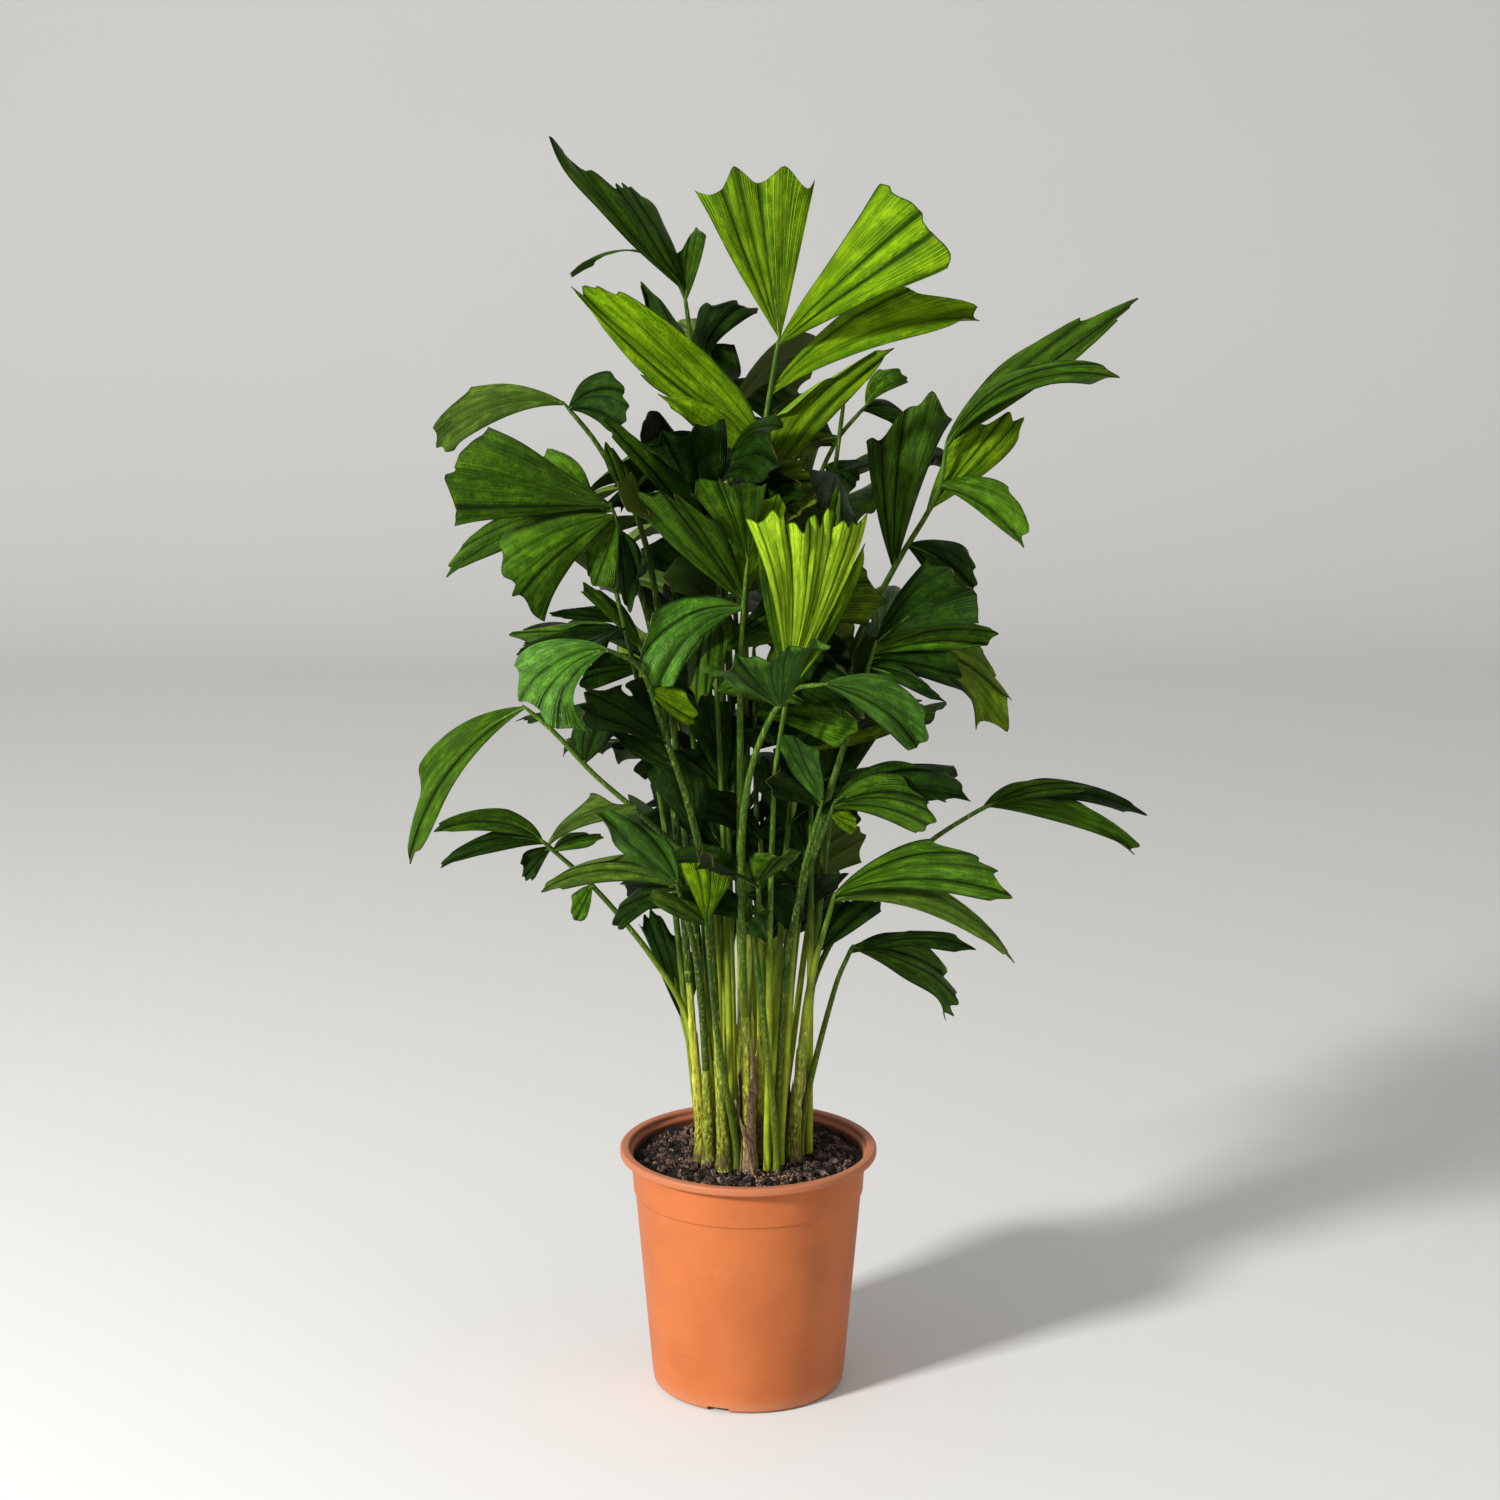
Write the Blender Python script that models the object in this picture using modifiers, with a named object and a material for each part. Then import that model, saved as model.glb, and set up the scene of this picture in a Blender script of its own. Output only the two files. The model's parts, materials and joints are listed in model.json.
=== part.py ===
"""Potted fishtail palm: a clump of slim canes in a nursery pot, with arching fronds of jagged leaflets.

Metres, +Z up. The origin is the middle of the pot's flat underside, +X is to the viewer's right and
+Y points away from the viewer. The crown is laid out as seen from the front: a place in the plan is
given in centimetres across, up and back, and lies on the line of sight through (across, up).
"""

import math
import random
from typing import NamedTuple

import bmesh
import bpy
import numpy
from mathutils import Matrix, Vector
from mathutils.bvhtree import BVHTree
from mathutils.geometry import interpolate_bezier

CM = 0.01
MM = 0.001
GAP = 0.3 * MM
SHARP_POT = 35
SHARP_CANE = 50
SHARP_LEAF = 40
UP = Vector((0.0, 0.0, 1.0))
EYE = Vector((0.0, -2.84, 1.256))

# Pot
POT_HEIGHT = 0.232
RIM_RADIUS = 0.120
RIM_INNER = 0.111
LIP_HEIGHT = 0.008
COLLAR_TOP_RADIUS = 0.1095
COLLAR_FOOT_RADIUS = 0.1075
COLLAR_FOOT = 0.190
BODY_TOP_RADIUS = 0.1058
BODY_FOOT_RADIUS = 0.0912
FOOT_RADIUS = 0.086
FOOT_RING_WIDTH = 0.008
BOSS_RADIUS = 0.022
WALL = 0.0022
FLOOR_UNDER = 0.006
FLOOR_TOP = 0.009
EDGE = 0.0015
POT_STEPS = 28
SLOT_COUNT = 4
SLOT_WIDTH = 0.021
SLOT_HEIGHT = 0.0052
SLOT_TURN = math.radians(-108.4)
DRAIN_COUNT = 6
DRAIN_RADIUS = 0.006
DRAIN_CIRCLE = 0.052

# Soil
SOIL_TOP = 0.2225
SOIL_EDGE = 0.2205
SOIL_FLAT_RADIUS = 0.068

# Stems
CLUMP_CENTRE = (0.4 * CM, -0.2 * CM)
CLUMP_ACROSS = 5.6 * CM
CLUMP_BACK = 4.9 * CM
SEATS = 100
START_HEIGHT = 2.2 * CM
CANE_FOOT_RADIUS = 5.8 * MM
CANE_TIP_RADIUS = 4.4 * MM
CANE_FLARE = 1.15
STALK_FOOT_RADIUS = 3.6 * MM
STALK_HEAD_RADIUS = 2.0 * MM
STALK_STEPS = 8
STEP_CROWDING = 1.35
STEM_ROOM = 0.9 * MM
ROOM_STEP = 3 * MM
STEM_SHIFTS = (0.0, 1.2 * CM, -1.2 * CM, 2.4 * CM, -2.4 * CM, 3.6 * CM, -3.6 * CM)
SEAT_PULL = 0.28
FAN_DEPTH = 0.22
SIDE_CARE = 2.2
BELLY_REACH = 0.45
BELLY_HEIGHT = 0.6

# Leaflets
ROOT_HALF = 1.2 * MM
ROOT_COVER = 3 * MM
LEAF_THICKNESS = 1.7 * MM
LEAF_THINNEST = 0.012
LEAF_ROOM = 0.5 * MM
OUTER_START = 0.3
FOLD = math.tan(math.radians(13))
SIZES = (1.0, 0.92, 0.82)
LONG_BEND = 60.0
LEAST_BEND = 2.0
STEEPEST = 0.15
DEPTH_SHIFTS = (0, -2, 2, -4, 4, -6, 6, -9, 9, -12, 12)
DEPTH_LEAN = (-0.60, 0.30)
TWIST = (-14, 14)
TURN = (-16, 16)
SKYWARD = 0.35


class Kind(NamedTuple):
    """How a leaflet widens, where its longest ray lies, and how its end is cut back and pinched.

    The plan gives the tip of the ray at `aim`, from one edge (-1) to the other (1).
    """

    bulge: float
    peak: float
    cut: float
    pinch: float
    aim: float
    columns: int


KINDS = {
    "paddle": Kind(bulge=1.2, peak=0.3, cut=0.10, pinch=0.0, aim=0.0, columns=4),
    "fan": Kind(bulge=1.15, peak=0.5, cut=0.24, pinch=0.0, aim=0.0, columns=4),
    "wedge": Kind(bulge=1.7, peak=0.5, cut=0.40, pinch=0.15, aim=0.5, columns=3),
    "strap": Kind(bulge=2.6, peak=0.34, cut=0.50, pinch=0.45, aim=0.34, columns=2),
    "tail": Kind(bulge=1.9, peak=1.0, cut=0.55, pinch=0.2, aim=1.0, columns=3),
    "broad": Kind(bulge=1.2, peak=0.3, cut=0.28, pinch=0.05, aim=0.0, columns=2),
    "narrow": Kind(bulge=2.2, peak=0.3, cut=0.45, pinch=0.3, aim=0.0, columns=2),
}


class Leaf(NamedTuple):
    """A leaflet in the plan: cm below the stalk's head, its tip across and up, width and bend.

    `turn` rolls it about its rib, in degrees, and `back` moves its tip away from the viewer, in cm.
    """

    below: float
    across: float
    up: float
    wide: float
    droop: float
    kind: str
    tone: str
    turn: float = 0.0
    back: float = 0.0


class Frond(NamedTuple):
    """A frond in the plan: its head, the places its stalk passes, and the cane's height under it."""

    head: tuple
    via: tuple
    cane: float
    leaves: tuple


FRONT = {
    "top": Frond((2.8, 98.8, 0), ((-0.2, 76.0), (1.2, 88.8)), 20, (
        Leaf(0.3, 0.4, 113.6, 10.6, 8, "paddle", "bright"),
        Leaf(1.0, 16.0, 109.4, 9.4, 12, "paddle", "bright"),
        Leaf(5.5, 21.0, 100.1, 5.5, 60, "wedge", "bright"),
        Leaf(9.8, -15.6, 103.5, 6.6, 10, "strap", "bright"),
        Leaf(11.5, -7.9, 93.9, 4.2, 10, "strap", "bright"),
        Leaf(15.5, 12.8, 97.1, 5.0, 45, "strap", "bright"),
    )),
    "back_left_high": Frond((-5.7, 102.9, 8), ((-3.0, 84.0), (-4.3, 92.9)), 18, (
        Leaf(0.3, -18.6, 116.4, 6.2, 12, "tail", "mid"),
        Leaf(0.8, -15.9, 103.7, 2.0, 120, "strap", "mid", 60),
        Leaf(1.2, -4.2, 108.2, 3.0, 6, "wedge", "mid"),
        Leaf(8.0, 0.8, 101.6, 4.5, 50, "wedge", "dark"),
        Leaf(8.6, -9.6, 103.7, 2.6, 8, "strap", "dark"),
        Leaf(12.0, -9.6, 96.2, 3.8, 12, "wedge", "bright"),
    )),
    "left_arch": Frond((-16.5, 92.8, -2), ((-8.8, 78.5), (-13.4, 88.9)), 16, (
        Leaf(0.3, -27.9, 87.6, 4.2, 80, "wedge", "pale"),
        Leaf(0.9, -10.8, 90.7, 5.8, 70, "wedge", "dark"),
        Leaf(10.5, -12.9, 89.4, 2.2, 8, "strap", "mid"),
    )),
    "left_fans": Frond((-12.3, 83.7, -10), ((-8.2, 69.0),), 14, (
        Leaf(0.3, -26.2, 86.7, 9.0, 15, "fan", "mid"),
        Leaf(0.7, -27.6, 76.7, 3.6, 65, "strap", "mid"),
        Leaf(1.2, -21.8, 76.2, 8.0, 30, "fan", "mid"),
        Leaf(1.8, -13.2, 75.6, 3.8, 20, "wedge", "mid"),
        Leaf(2.6, -10.6, 73.6, 2.8, 20, "strap", "dark"),
    )),
    "left_mid_back": Frond((-11.1, 73.1, 5), ((-6.0, 62.0),), 0, (
        Leaf(0.3, -18.1, 73.6, 1.9, 15, "strap", "dark"),
        Leaf(1.2, -21.2, 69.9, 2.6, 25, "strap", "dark"),
        Leaf(2.2, -21.5, 71.4, 2.3, 35, "strap", "mid"),
        Leaf(3.0, -15.1, 76.4, 2.2, 10, "wedge", "mid"),
        Leaf(5.0, -15.5, 67.0, 3.4, 30, "wedge", "dark"),
    )),
    "left_big_droop": Frond((-13.0, 70.5, -17), ((-4.2, 51.0), (-7.5, 61.9), (-9.6, 68.4)), 15, (
        Leaf(0.3, -19.8, 64.6, 9.4, 70, "fan", "glossy"),
        Leaf(6.0, -4.6, 63.5, 3.0, 12, "wedge", "bright"),
        Leaf(11.5, -16.1, 65.4, 5.4, 20, "wedge", "dark"),
        Leaf(14.0, -12.6, 63.0, 2.6, 10, "strap", "dark"),
        Leaf(20.5, -8.9, 61.0, 5.6, 10, "wedge", "dark"),
    )),
    "left_low_droop": Frond((-20.5, 65.2, -9), ((-4.2, 49.6), (-11.7, 56.2), (-16.8, 61.9)), 0, (
        Leaf(0.3, -30.9, 49.9, 4.8, 55, "wedge", "mid"),
        Leaf(7.7, -14.8, 64.2, 4.2, 5, "wedge", "dark"),
    )),
    "left_low_spray": Frond((-19.1, 52.7, -8), ((-5.4, 34.6), (-8.4, 40.7), (-14.2, 48.1)), 0, (
        Leaf(0.3, -28.8, 53.3, 2.8, 75, "strap", "mid"),
        Leaf(0.7, -28.5, 50.0, 2.0, 60, "strap", "dark"),
        Leaf(1.1, -9.6, 55.2, 3.2, 60, "wedge", "pale"),
        Leaf(1.5, -20.5, 48.6, 2.4, 50, "wedge", "dark"),
        Leaf(1.9, -13.1, 52.9, 2.2, 15, "strap", "mid"),
        Leaf(7.3, -15.8, 44.8, 2.6, 12, "wedge", "mid"),
    )),
    "left_low_leaf": Frond((-6.6, 48.8, -14), ((-4.6, 40.0),), 12, (
        Leaf(0.3, -13.8, 55.6, 4.2, 15, "strap", "glossy"),
        Leaf(0.8, -19.1, 47.6, 3.2, 60, "strap", "pale"),
        Leaf(1.4, -12.6, 44.0, 2.8, 40, "wedge", "dark"),
    )),
    "left_hanging": Frond((-6.2, 35.8, 3), ((-4.6, 29.0),), 0, (
        Leaf(0.3, -7.2, 46.2, 5.0, 6, "wedge", "dark"),
    )),
    "front_low": Frond((-3.9, 45.2, -14), ((-3.0, 35.0),), 0, (
        Leaf(0.3, -4.0, 50.2, 4.8, 8, "fan", "bright"),
        Leaf(0.8, -9.2, 47.7, 2.7, 20, "strap", "pale"),
    )),
    "front_flat": Frond((0.9, 48.8, -12), ((1.2, 38.0),), 16, (
        Leaf(0.3, 4.5, 51.6, 4.8, 10, "wedge", "mid", 40),
        Leaf(0.8, -4.6, 50.1, 4.4, 10, "wedge", "dark", 45),
    )),
    "right_high": Frond((17.7, 89.4, 0), ((9.3, 69.4), (13.0, 77.6), (16.6, 83.6)), 18, (
        Leaf(0.3, 34.8, 101.9, 4.4, 25, "strap", "mid"),
        Leaf(0.8, 33.1, 94.8, 3.2, 75, "strap", "mid"),
        Leaf(4.2, 25.1, 79.4, 4.4, 62, "wedge", "mid", 30),
        Leaf(6.6, 24.5, 91.6, 5.0, 10, "wedge", "bright"),
        Leaf(10.3, 19.9, 74.2, 6.2, 40, "wedge", "dark"),
        Leaf(12.8, 14.6, 92.9, 7.4, 6, "fan", "mid"),
    )),
    "back_right_high": Frond((10.7, 92.7, 10), ((5.4, 84.5),), 0, (
        Leaf(0.3, 14.2, 95.0, 2.6, 60, "wedge", "mid"),
        Leaf(0.9, 14.4, 90.1, 3.2, 50, "wedge", "dark"),
        Leaf(5.0, 3.2, 91.6, 3.4, 10, "strap", "dark"),
        Leaf(7.0, 8.6, 84.0, 5.5, 20, "wedge", "dark"),
    )),
    "right_mid": Frond((11.6, 71.2, -8), ((4.8, 46.9), (8.4, 60.3)), 15, (
        Leaf(0.3, 19.6, 76.3, 7.0, 20, "fan", "dark"),
        Leaf(0.8, 23.1, 62.4, 5.4, 90, "wedge", "olive"),
        Leaf(1.3, 22.6, 71.2, 4.6, 50, "strap", "mid"),
        Leaf(1.8, 19.7, 68.0, 4.2, 30, "wedge", "dark"),
        Leaf(2.6, 18.0, 65.3, 2.0, 20, "strap", "dark"),
    )),
    "centre_right": Frond((7.3, 67.2, -18), ((-0.4, 55.4), (2.2, 64.6), (4.6, 66.9)), 18, (
        Leaf(0.3, 15.6, 60.9, 5.2, 60, "wedge", "glossy"),
        Leaf(5.4, 1.6, 70.0, 10.8, 10, "fan", "glossy"),
    )),
    "centre_fan": Frond((0.0, 78.8, -13), ((-0.7, 70.6), (-0.4, 74.6)), 20, (
        Leaf(0.3, -2.0, 85.9, 6.4, 6, "fan", "mid"),
        Leaf(3.6, 2.8, 84.6, 4.2, 6, "wedge", "bright"),
        Leaf(4.2, -9.7, 84.9, 5.2, 8, "wedge", "mid"),
        Leaf(4.9, -8.2, 66.4, 5.6, 95, "wedge", "glossy"),
    )),
    "bright_fan": Frond((3.8, 67.8, -12), ((2.4, 58.0),), 0, (
        Leaf(0.3, 6.0, 83.0, 9.8, 6, "paddle", "bright", 0, -3),
        Leaf(0.9, 1.2, 82.4, 3.4, 6, "wedge", "mid", 0, 5),
        Leaf(1.4, 11.0, 80.0, 2.8, 8, "strap", "bright", 0, 3),
        Leaf(1.9, 8.3, 86.2, 3.0, 6, "strap", "bright", 0, 6),
    )),
    "centre_left_dark": Frond((-4.3, 82.2, -3), ((-2.6, 72.0),), 15, (
        Leaf(0.3, -6.3, 90.6, 9.0, 6, "fan", "dark"),
        Leaf(1.2, -12.5, 91.3, 3.2, 8, "strap", "mid"),
        Leaf(6.0, -9.5, 79.5, 4.6, 30, "wedge", "dark"),
    )),
    "right_low_mid": Frond((8.0, 56.4, -13), ((4.0, 44.0),), 0, (
        Leaf(0.3, 21.0, 56.4, 4.4, 75, "strap", "dark"),
        Leaf(0.9, 17.1, 53.5, 5.0, 65, "wedge", "mid"),
        Leaf(1.5, 9.9, 53.4, 2.8, 10, "wedge", "bright"),
    )),
    "right_far": Frond((22.6, 56.2, 0), ((6.6, 41.1), (12.6, 48.5), (17.6, 53.2)), 0, (
        Leaf(0.3, 37.0, 54.8, 2.4, 45, "strap", "dark"),
        Leaf(0.8, 36.2, 51.2, 2.7, 50, "strap", "mid"),
        Leaf(1.3, 31.7, 57.3, 2.2, 40, "strap", "mid"),
    )),
    "right_low": Frond((8.0, 47.6, -9), ((5.6, 38.0),), 12, (
        Leaf(0.3, 24.6, 47.2, 5.4, 55, "wedge", "mid"),
        Leaf(0.9, 24.7, 40.6, 3.4, 80, "strap", "pale"),
        Leaf(6.5, 12.0, 47.0, 3.8, 10, "wedge", "dark"),
    )),
    "right_lowest": Frond((9.7, 42.6, -6), ((5.6, 28.5), (8.2, 39.0)), 0, (
        Leaf(0.3, 19.8, 35.9, 6.0, 45, "wedge", "mid"),
        Leaf(0.9, 21.4, 42.3, 2.2, 35, "strap", "dark"),
    )),
    "centre_dark": Frond((-1.9, 57.5, -5), ((-1.6, 46.0),), 0, (
        Leaf(0.3, -2.6, 66.0, 8.0, 8, "fan", "dark"),
        Leaf(0.9, -8.4, 60.8, 3.8, 20, "wedge", "dark"),
        Leaf(7.0, -7.6, 57.4, 5.0, 12, "wedge", "dark"),
    )),
    "centre_right_dark": Frond((5.5, 51.5, -1), ((3.4, 42.0),), 0, (
        Leaf(0.3, 7.2, 63.2, 9.0, 8, "fan", "dark"),
        Leaf(0.9, 1.0, 60.4, 5.0, 10, "wedge", "dark"),
        Leaf(1.5, -2.2, 52.0, 4.6, 30, "wedge", "dark"),
    )),
    "centre_small": Frond((6.8, 56.3, -12), ((4.6, 47.0),), 0, (
        Leaf(0.3, 2.7, 62.5, 3.8, 20, "wedge", "glossy"),
        Leaf(0.7, 1.6, 58.2, 4.8, 25, "wedge", "dark"),
        Leaf(1.1, 10.2, 54.2, 2.8, 40, "wedge", "dark"),
    )),
}

# Fronds made by rule: a ring from the right side round the back to the left, and the crown's middle


class Ring(NamedTuple):
    """Fronds set round the clump, from a first heading through a sweep, between two heights."""

    count: int
    first: float
    sweep: float
    lowest: float
    highest: float
    reach: float
    belly: float
    leaves: int
    upright: float


RINGS = {
    "back": Ring(count=12, first=-28.0, sweep=236.0, lowest=50.0, highest=97.0,
                 reach=9.0, belly=7.0, leaves=5, upright=1.0),
    "core": Ring(count=8, first=20.0, sweep=1100.0, lowest=46.0, highest=91.0,
                 reach=3.0, belly=2.5, leaves=7, upright=0.35),
}
RING_KINDS = ("broad", "narrow", "broad", "strap")
RING_WIDTHS = {"broad": 0.58, "narrow": 0.44, "strap": 0.30}
RING_TONES = ("mid", "dark", "dark", "mid", "olive")
RING_LENGTHS = (11.0, 16.0)
RING_FIRST = 0.3
RING_SPACING = 3.4
RING_OUTWARD = 0.7
FIRST_SWING = 16.0
NEXT_SWING = 22.0
TRY_SWING = 9.0
RING_TRIES = 12
RING_RISE = (-25, 45)
RING_DROOP = (20, 65)
RING_SEED = 41
FEWEST_LEAVES = 3
CORE_CENTRE = (0.6, 69.0)
CORE_HALF = (11.0, 27.0)
HIDDEN_SHARE = 0.8
HIDING_SHARE = 0.3

TONES = {
    "stalk": (0.085, 0.130, 0.018),
    "bright": (0.210, 0.380, 0.016),
    "glossy": (0.090, 0.230, 0.020),
    "mid": (0.040, 0.140, 0.012),
    "olive": (0.130, 0.190, 0.030),
    "pale": (0.130, 0.240, 0.060),
    "dark": (0.010, 0.045, 0.008),
}


def clear_scene():
    """Remove whatever objects the scene holds."""
    for item in list(bpy.data.objects):
        bpy.data.objects.remove(item, do_unlink=True)


def new_collection(name):
    """Make a collection in the scene."""
    collection = bpy.data.collections.new(name)
    bpy.context.scene.collection.children.link(collection)
    return collection


def make_material(name, colour, roughness):
    """Make a plain finish."""
    material = bpy.data.materials.new(name)
    material.use_nodes = True
    shader = material.node_tree.nodes["Principled BSDF"]
    shader.inputs["Base Color"].default_value = (*colour, 1.0)
    shader.inputs["Roughness"].default_value = roughness
    shader.inputs["Metallic"].default_value = 0.0
    return material


def new_object(name, mesh, collection, materials):
    """Put a mesh in the scene as a named piece."""
    for material in materials:
        mesh.materials.append(material)
    piece = bpy.data.objects.new(name, mesh)
    collection.objects.link(piece)
    return piece


def finish_round(piece, sharp_degrees):
    """Shade a piece smooth, but for its sharp edges."""
    piece.data.shade_smooth()
    piece.data.set_sharp_from_angle(angle=math.radians(sharp_degrees))


def apply_modifiers(piece):
    """Keep a piece's evaluated shape and drop its modifiers."""
    evaluated = piece.evaluated_get(bpy.context.evaluated_depsgraph_get())
    shaped = bpy.data.meshes.new_from_object(evaluated)
    old = piece.data
    piece.modifiers.clear()
    piece.data = shaped
    bpy.data.meshes.remove(old)


# Pot and soil

def wall_inside(height):
    """The radius of the pot's inner wall at a height."""
    if height > COLLAR_FOOT:
        share = (height - COLLAR_FOOT) / (POT_HEIGHT - LIP_HEIGHT - COLLAR_FOOT)
        return COLLAR_FOOT_RADIUS + (COLLAR_TOP_RADIUS - COLLAR_FOOT_RADIUS) * share - WALL
    return BODY_FOOT_RADIUS + (BODY_TOP_RADIUS - BODY_FOOT_RADIUS) * height / COLLAR_FOOT - WALL


def pot_profile():
    """Half of the pot's section: up the inside, over the rim, down the outside and to the middle."""
    lip_under = POT_HEIGHT - LIP_HEIGHT
    ring_inner = FOOT_RADIUS - FOOT_RING_WIDTH
    return [
        (0.0, FLOOR_TOP),
        (wall_inside(FLOOR_TOP) - 3 * EDGE, FLOOR_TOP),
        (wall_inside(FLOOR_TOP + 3 * EDGE), FLOOR_TOP + 3 * EDGE),
        (wall_inside(COLLAR_FOOT), COLLAR_FOOT - EDGE),
        (wall_inside(COLLAR_FOOT + 2 * EDGE), COLLAR_FOOT + 2 * EDGE),
        (wall_inside(lip_under), lip_under),
        (RIM_INNER, POT_HEIGHT - 3 * EDGE),
        (RIM_INNER, POT_HEIGHT - EDGE),
        (RIM_INNER + EDGE, POT_HEIGHT),
        (RIM_RADIUS - EDGE, POT_HEIGHT),
        (RIM_RADIUS, POT_HEIGHT - EDGE),
        (RIM_RADIUS, lip_under + EDGE),
        (RIM_RADIUS - EDGE, lip_under),
        (COLLAR_TOP_RADIUS, lip_under),
        (COLLAR_FOOT_RADIUS, COLLAR_FOOT),
        (BODY_TOP_RADIUS, COLLAR_FOOT - EDGE),
        (BODY_FOOT_RADIUS, 10 * EDGE),
        (BODY_FOOT_RADIUS - EDGE, 2 * EDGE),
        (FOOT_RADIUS, 0.0),
        (ring_inner, 0.0),
        (ring_inner - EDGE, FLOOR_UNDER),
        (BOSS_RADIUS + EDGE, FLOOR_UNDER),
        (BOSS_RADIUS, 0.0),
        (0.0, 0.0),
    ]


def soil_profile():
    """Half of the soil's section: a level top that falls at the wall, and the pot's inside below."""
    floor = FLOOR_TOP + GAP
    return [
        (0.0, SOIL_TOP),
        (SOIL_FLAT_RADIUS, SOIL_TOP),
        ((SOIL_FLAT_RADIUS + RIM_INNER) / 2, (SOIL_TOP + SOIL_EDGE) / 2),
        (wall_inside(SOIL_EDGE) - 2 * GAP, SOIL_EDGE),
        (wall_inside(COLLAR_FOOT) - 2 * GAP, COLLAR_FOOT - 2 * EDGE),
        (wall_inside(FLOOR_TOP + 4 * EDGE) - 2 * GAP, FLOOR_TOP + 4 * EDGE),
        (wall_inside(FLOOR_TOP) - 4 * EDGE, floor),
        (0.0, floor),
    ]


def turned(name, profile, collection, material):
    """Turn a profile about the upright axis."""
    bm = bmesh.new()
    points = [bm.verts.new((radius, 0.0, height)) for radius, height in profile]
    for start, end in zip(points, points[1:]):
        bm.edges.new((start, end))
    mesh = bpy.data.meshes.new(name)
    bm.to_mesh(mesh)
    bm.free()
    piece = new_object(name, mesh, collection, [material])
    screw = piece.modifiers.new("turn", "SCREW")
    screw.steps = POT_STEPS
    screw.render_steps = POT_STEPS
    screw.use_merge_vertices = True
    screw.merge_threshold = 0.00005
    return piece


def make_slot_cutter(index, collection):
    """A box that cuts one drain slot through the foot ring."""
    angle = SLOT_TURN + index * math.tau / SLOT_COUNT
    reach = FOOT_RADIUS - FOOT_RING_WIDTH / 2
    bpy.ops.mesh.primitive_cube_add(size=1.0)
    cutter = bpy.context.active_object
    cutter.name = f"slot_cutter_{index + 1}"
    cutter.scale = (4 * FOOT_RING_WIDTH, SLOT_WIDTH, 2 * SLOT_HEIGHT)
    cutter.location = (reach * math.cos(angle), reach * math.sin(angle), 0.0)
    cutter.rotation_euler = (0.0, 0.0, angle)
    keep_cutter(cutter, collection)
    return cutter


def make_drain_cutter(index, collection):
    """A cylinder that cuts one drain hole through the floor."""
    angle = (index + 0.5) * math.tau / DRAIN_COUNT
    place = (DRAIN_CIRCLE * math.cos(angle), DRAIN_CIRCLE * math.sin(angle), FLOOR_TOP)
    bpy.ops.mesh.primitive_cylinder_add(vertices=6, radius=DRAIN_RADIUS, depth=FLOOR_TOP, location=place)
    cutter = bpy.context.active_object
    cutter.name = f"drain_cutter_{index + 1}"
    keep_cutter(cutter, collection)
    return cutter


def keep_cutter(piece, collection):
    """Hide a cutter and keep it with the others."""
    for owner in list(piece.users_collection):
        owner.objects.unlink(piece)
    collection.objects.link(piece)
    piece.hide_render = True
    piece.display_type = "WIRE"


def make_pot(collection, cutters, material):
    """The pot: collar, tapered wall, foot ring with its slots, and a floor with drain holes."""
    pot = turned("pot", pot_profile(), collection, material)
    for index in range(SLOT_COUNT):
        make_slot_cutter(index, cutters)
    for index in range(DRAIN_COUNT):
        make_drain_cutter(index, cutters)
    cut = pot.modifiers.new("drainage", "BOOLEAN")
    cut.operation = "DIFFERENCE"
    cut.operand_type = "COLLECTION"
    cut.collection = cutters
    cut.solver = "EXACT"
    apply_modifiers(pot)
    finish_round(pot, SHARP_POT)
    return pot


def make_soil(collection, material):
    """The soil that fills the pot."""
    soil = turned("soil", soil_profile(), collection, material)
    apply_modifiers(soil)
    finish_round(soil, SHARP_POT)
    return soil


# Stems

def seen(across, up, back):
    """The place that lies (across, up) centimetres as seen from the front, and this far back."""
    upright = Vector((across * CM, 0.0, up * CM))
    return upright + (upright - EYE) * (back * CM / -EYE.y)


def seats():
    """Places on the soil where a stem can stand, in a spiral that fills the clump evenly."""
    golden = math.pi * (3 - math.sqrt(5))
    places = []
    for index in range(SEATS):
        reach = math.sqrt((index + 0.5) / SEATS)
        x = CLUMP_CENTRE[0] + CLUMP_ACROSS * reach * math.cos(index * golden)
        y = CLUMP_CENTRE[1] + CLUMP_BACK * reach * math.sin(index * golden)
        places.append(Vector((x, y, SOIL_TOP + GAP)))
    return places


def smooth_line(knots, resolution=16):
    """Close points on a smooth curve through the knots."""
    slopes = []
    for index in range(len(knots)):
        before = knots[max(index - 1, 0)]
        after = knots[min(index + 1, len(knots) - 1)]
        slopes.append((after - before).normalized())
    line = []
    for index in range(len(knots) - 1):
        start, end = knots[index], knots[index + 1]
        pull = (end - start).length / 3
        span = interpolate_bezier(
            start, start + slopes[index] * pull, end - slopes[index + 1] * pull, end, resolution
        )
        line.extend(span if index == 0 else span[1:])
    return line


def point_at(line, distance):
    """The point this far along a line, and the line's direction there."""
    for start, end in zip(line, line[1:]):
        step = (end - start).length
        if distance <= step:
            return start.lerp(end, distance / step), (end - start).normalized()
        distance -= step
    return line[-1].copy(), (line[-1] - line[-2]).normalized()


def line_length(line):
    """The length of a line."""
    return sum((end - start).length for start, end in zip(line, line[1:]))


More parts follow.
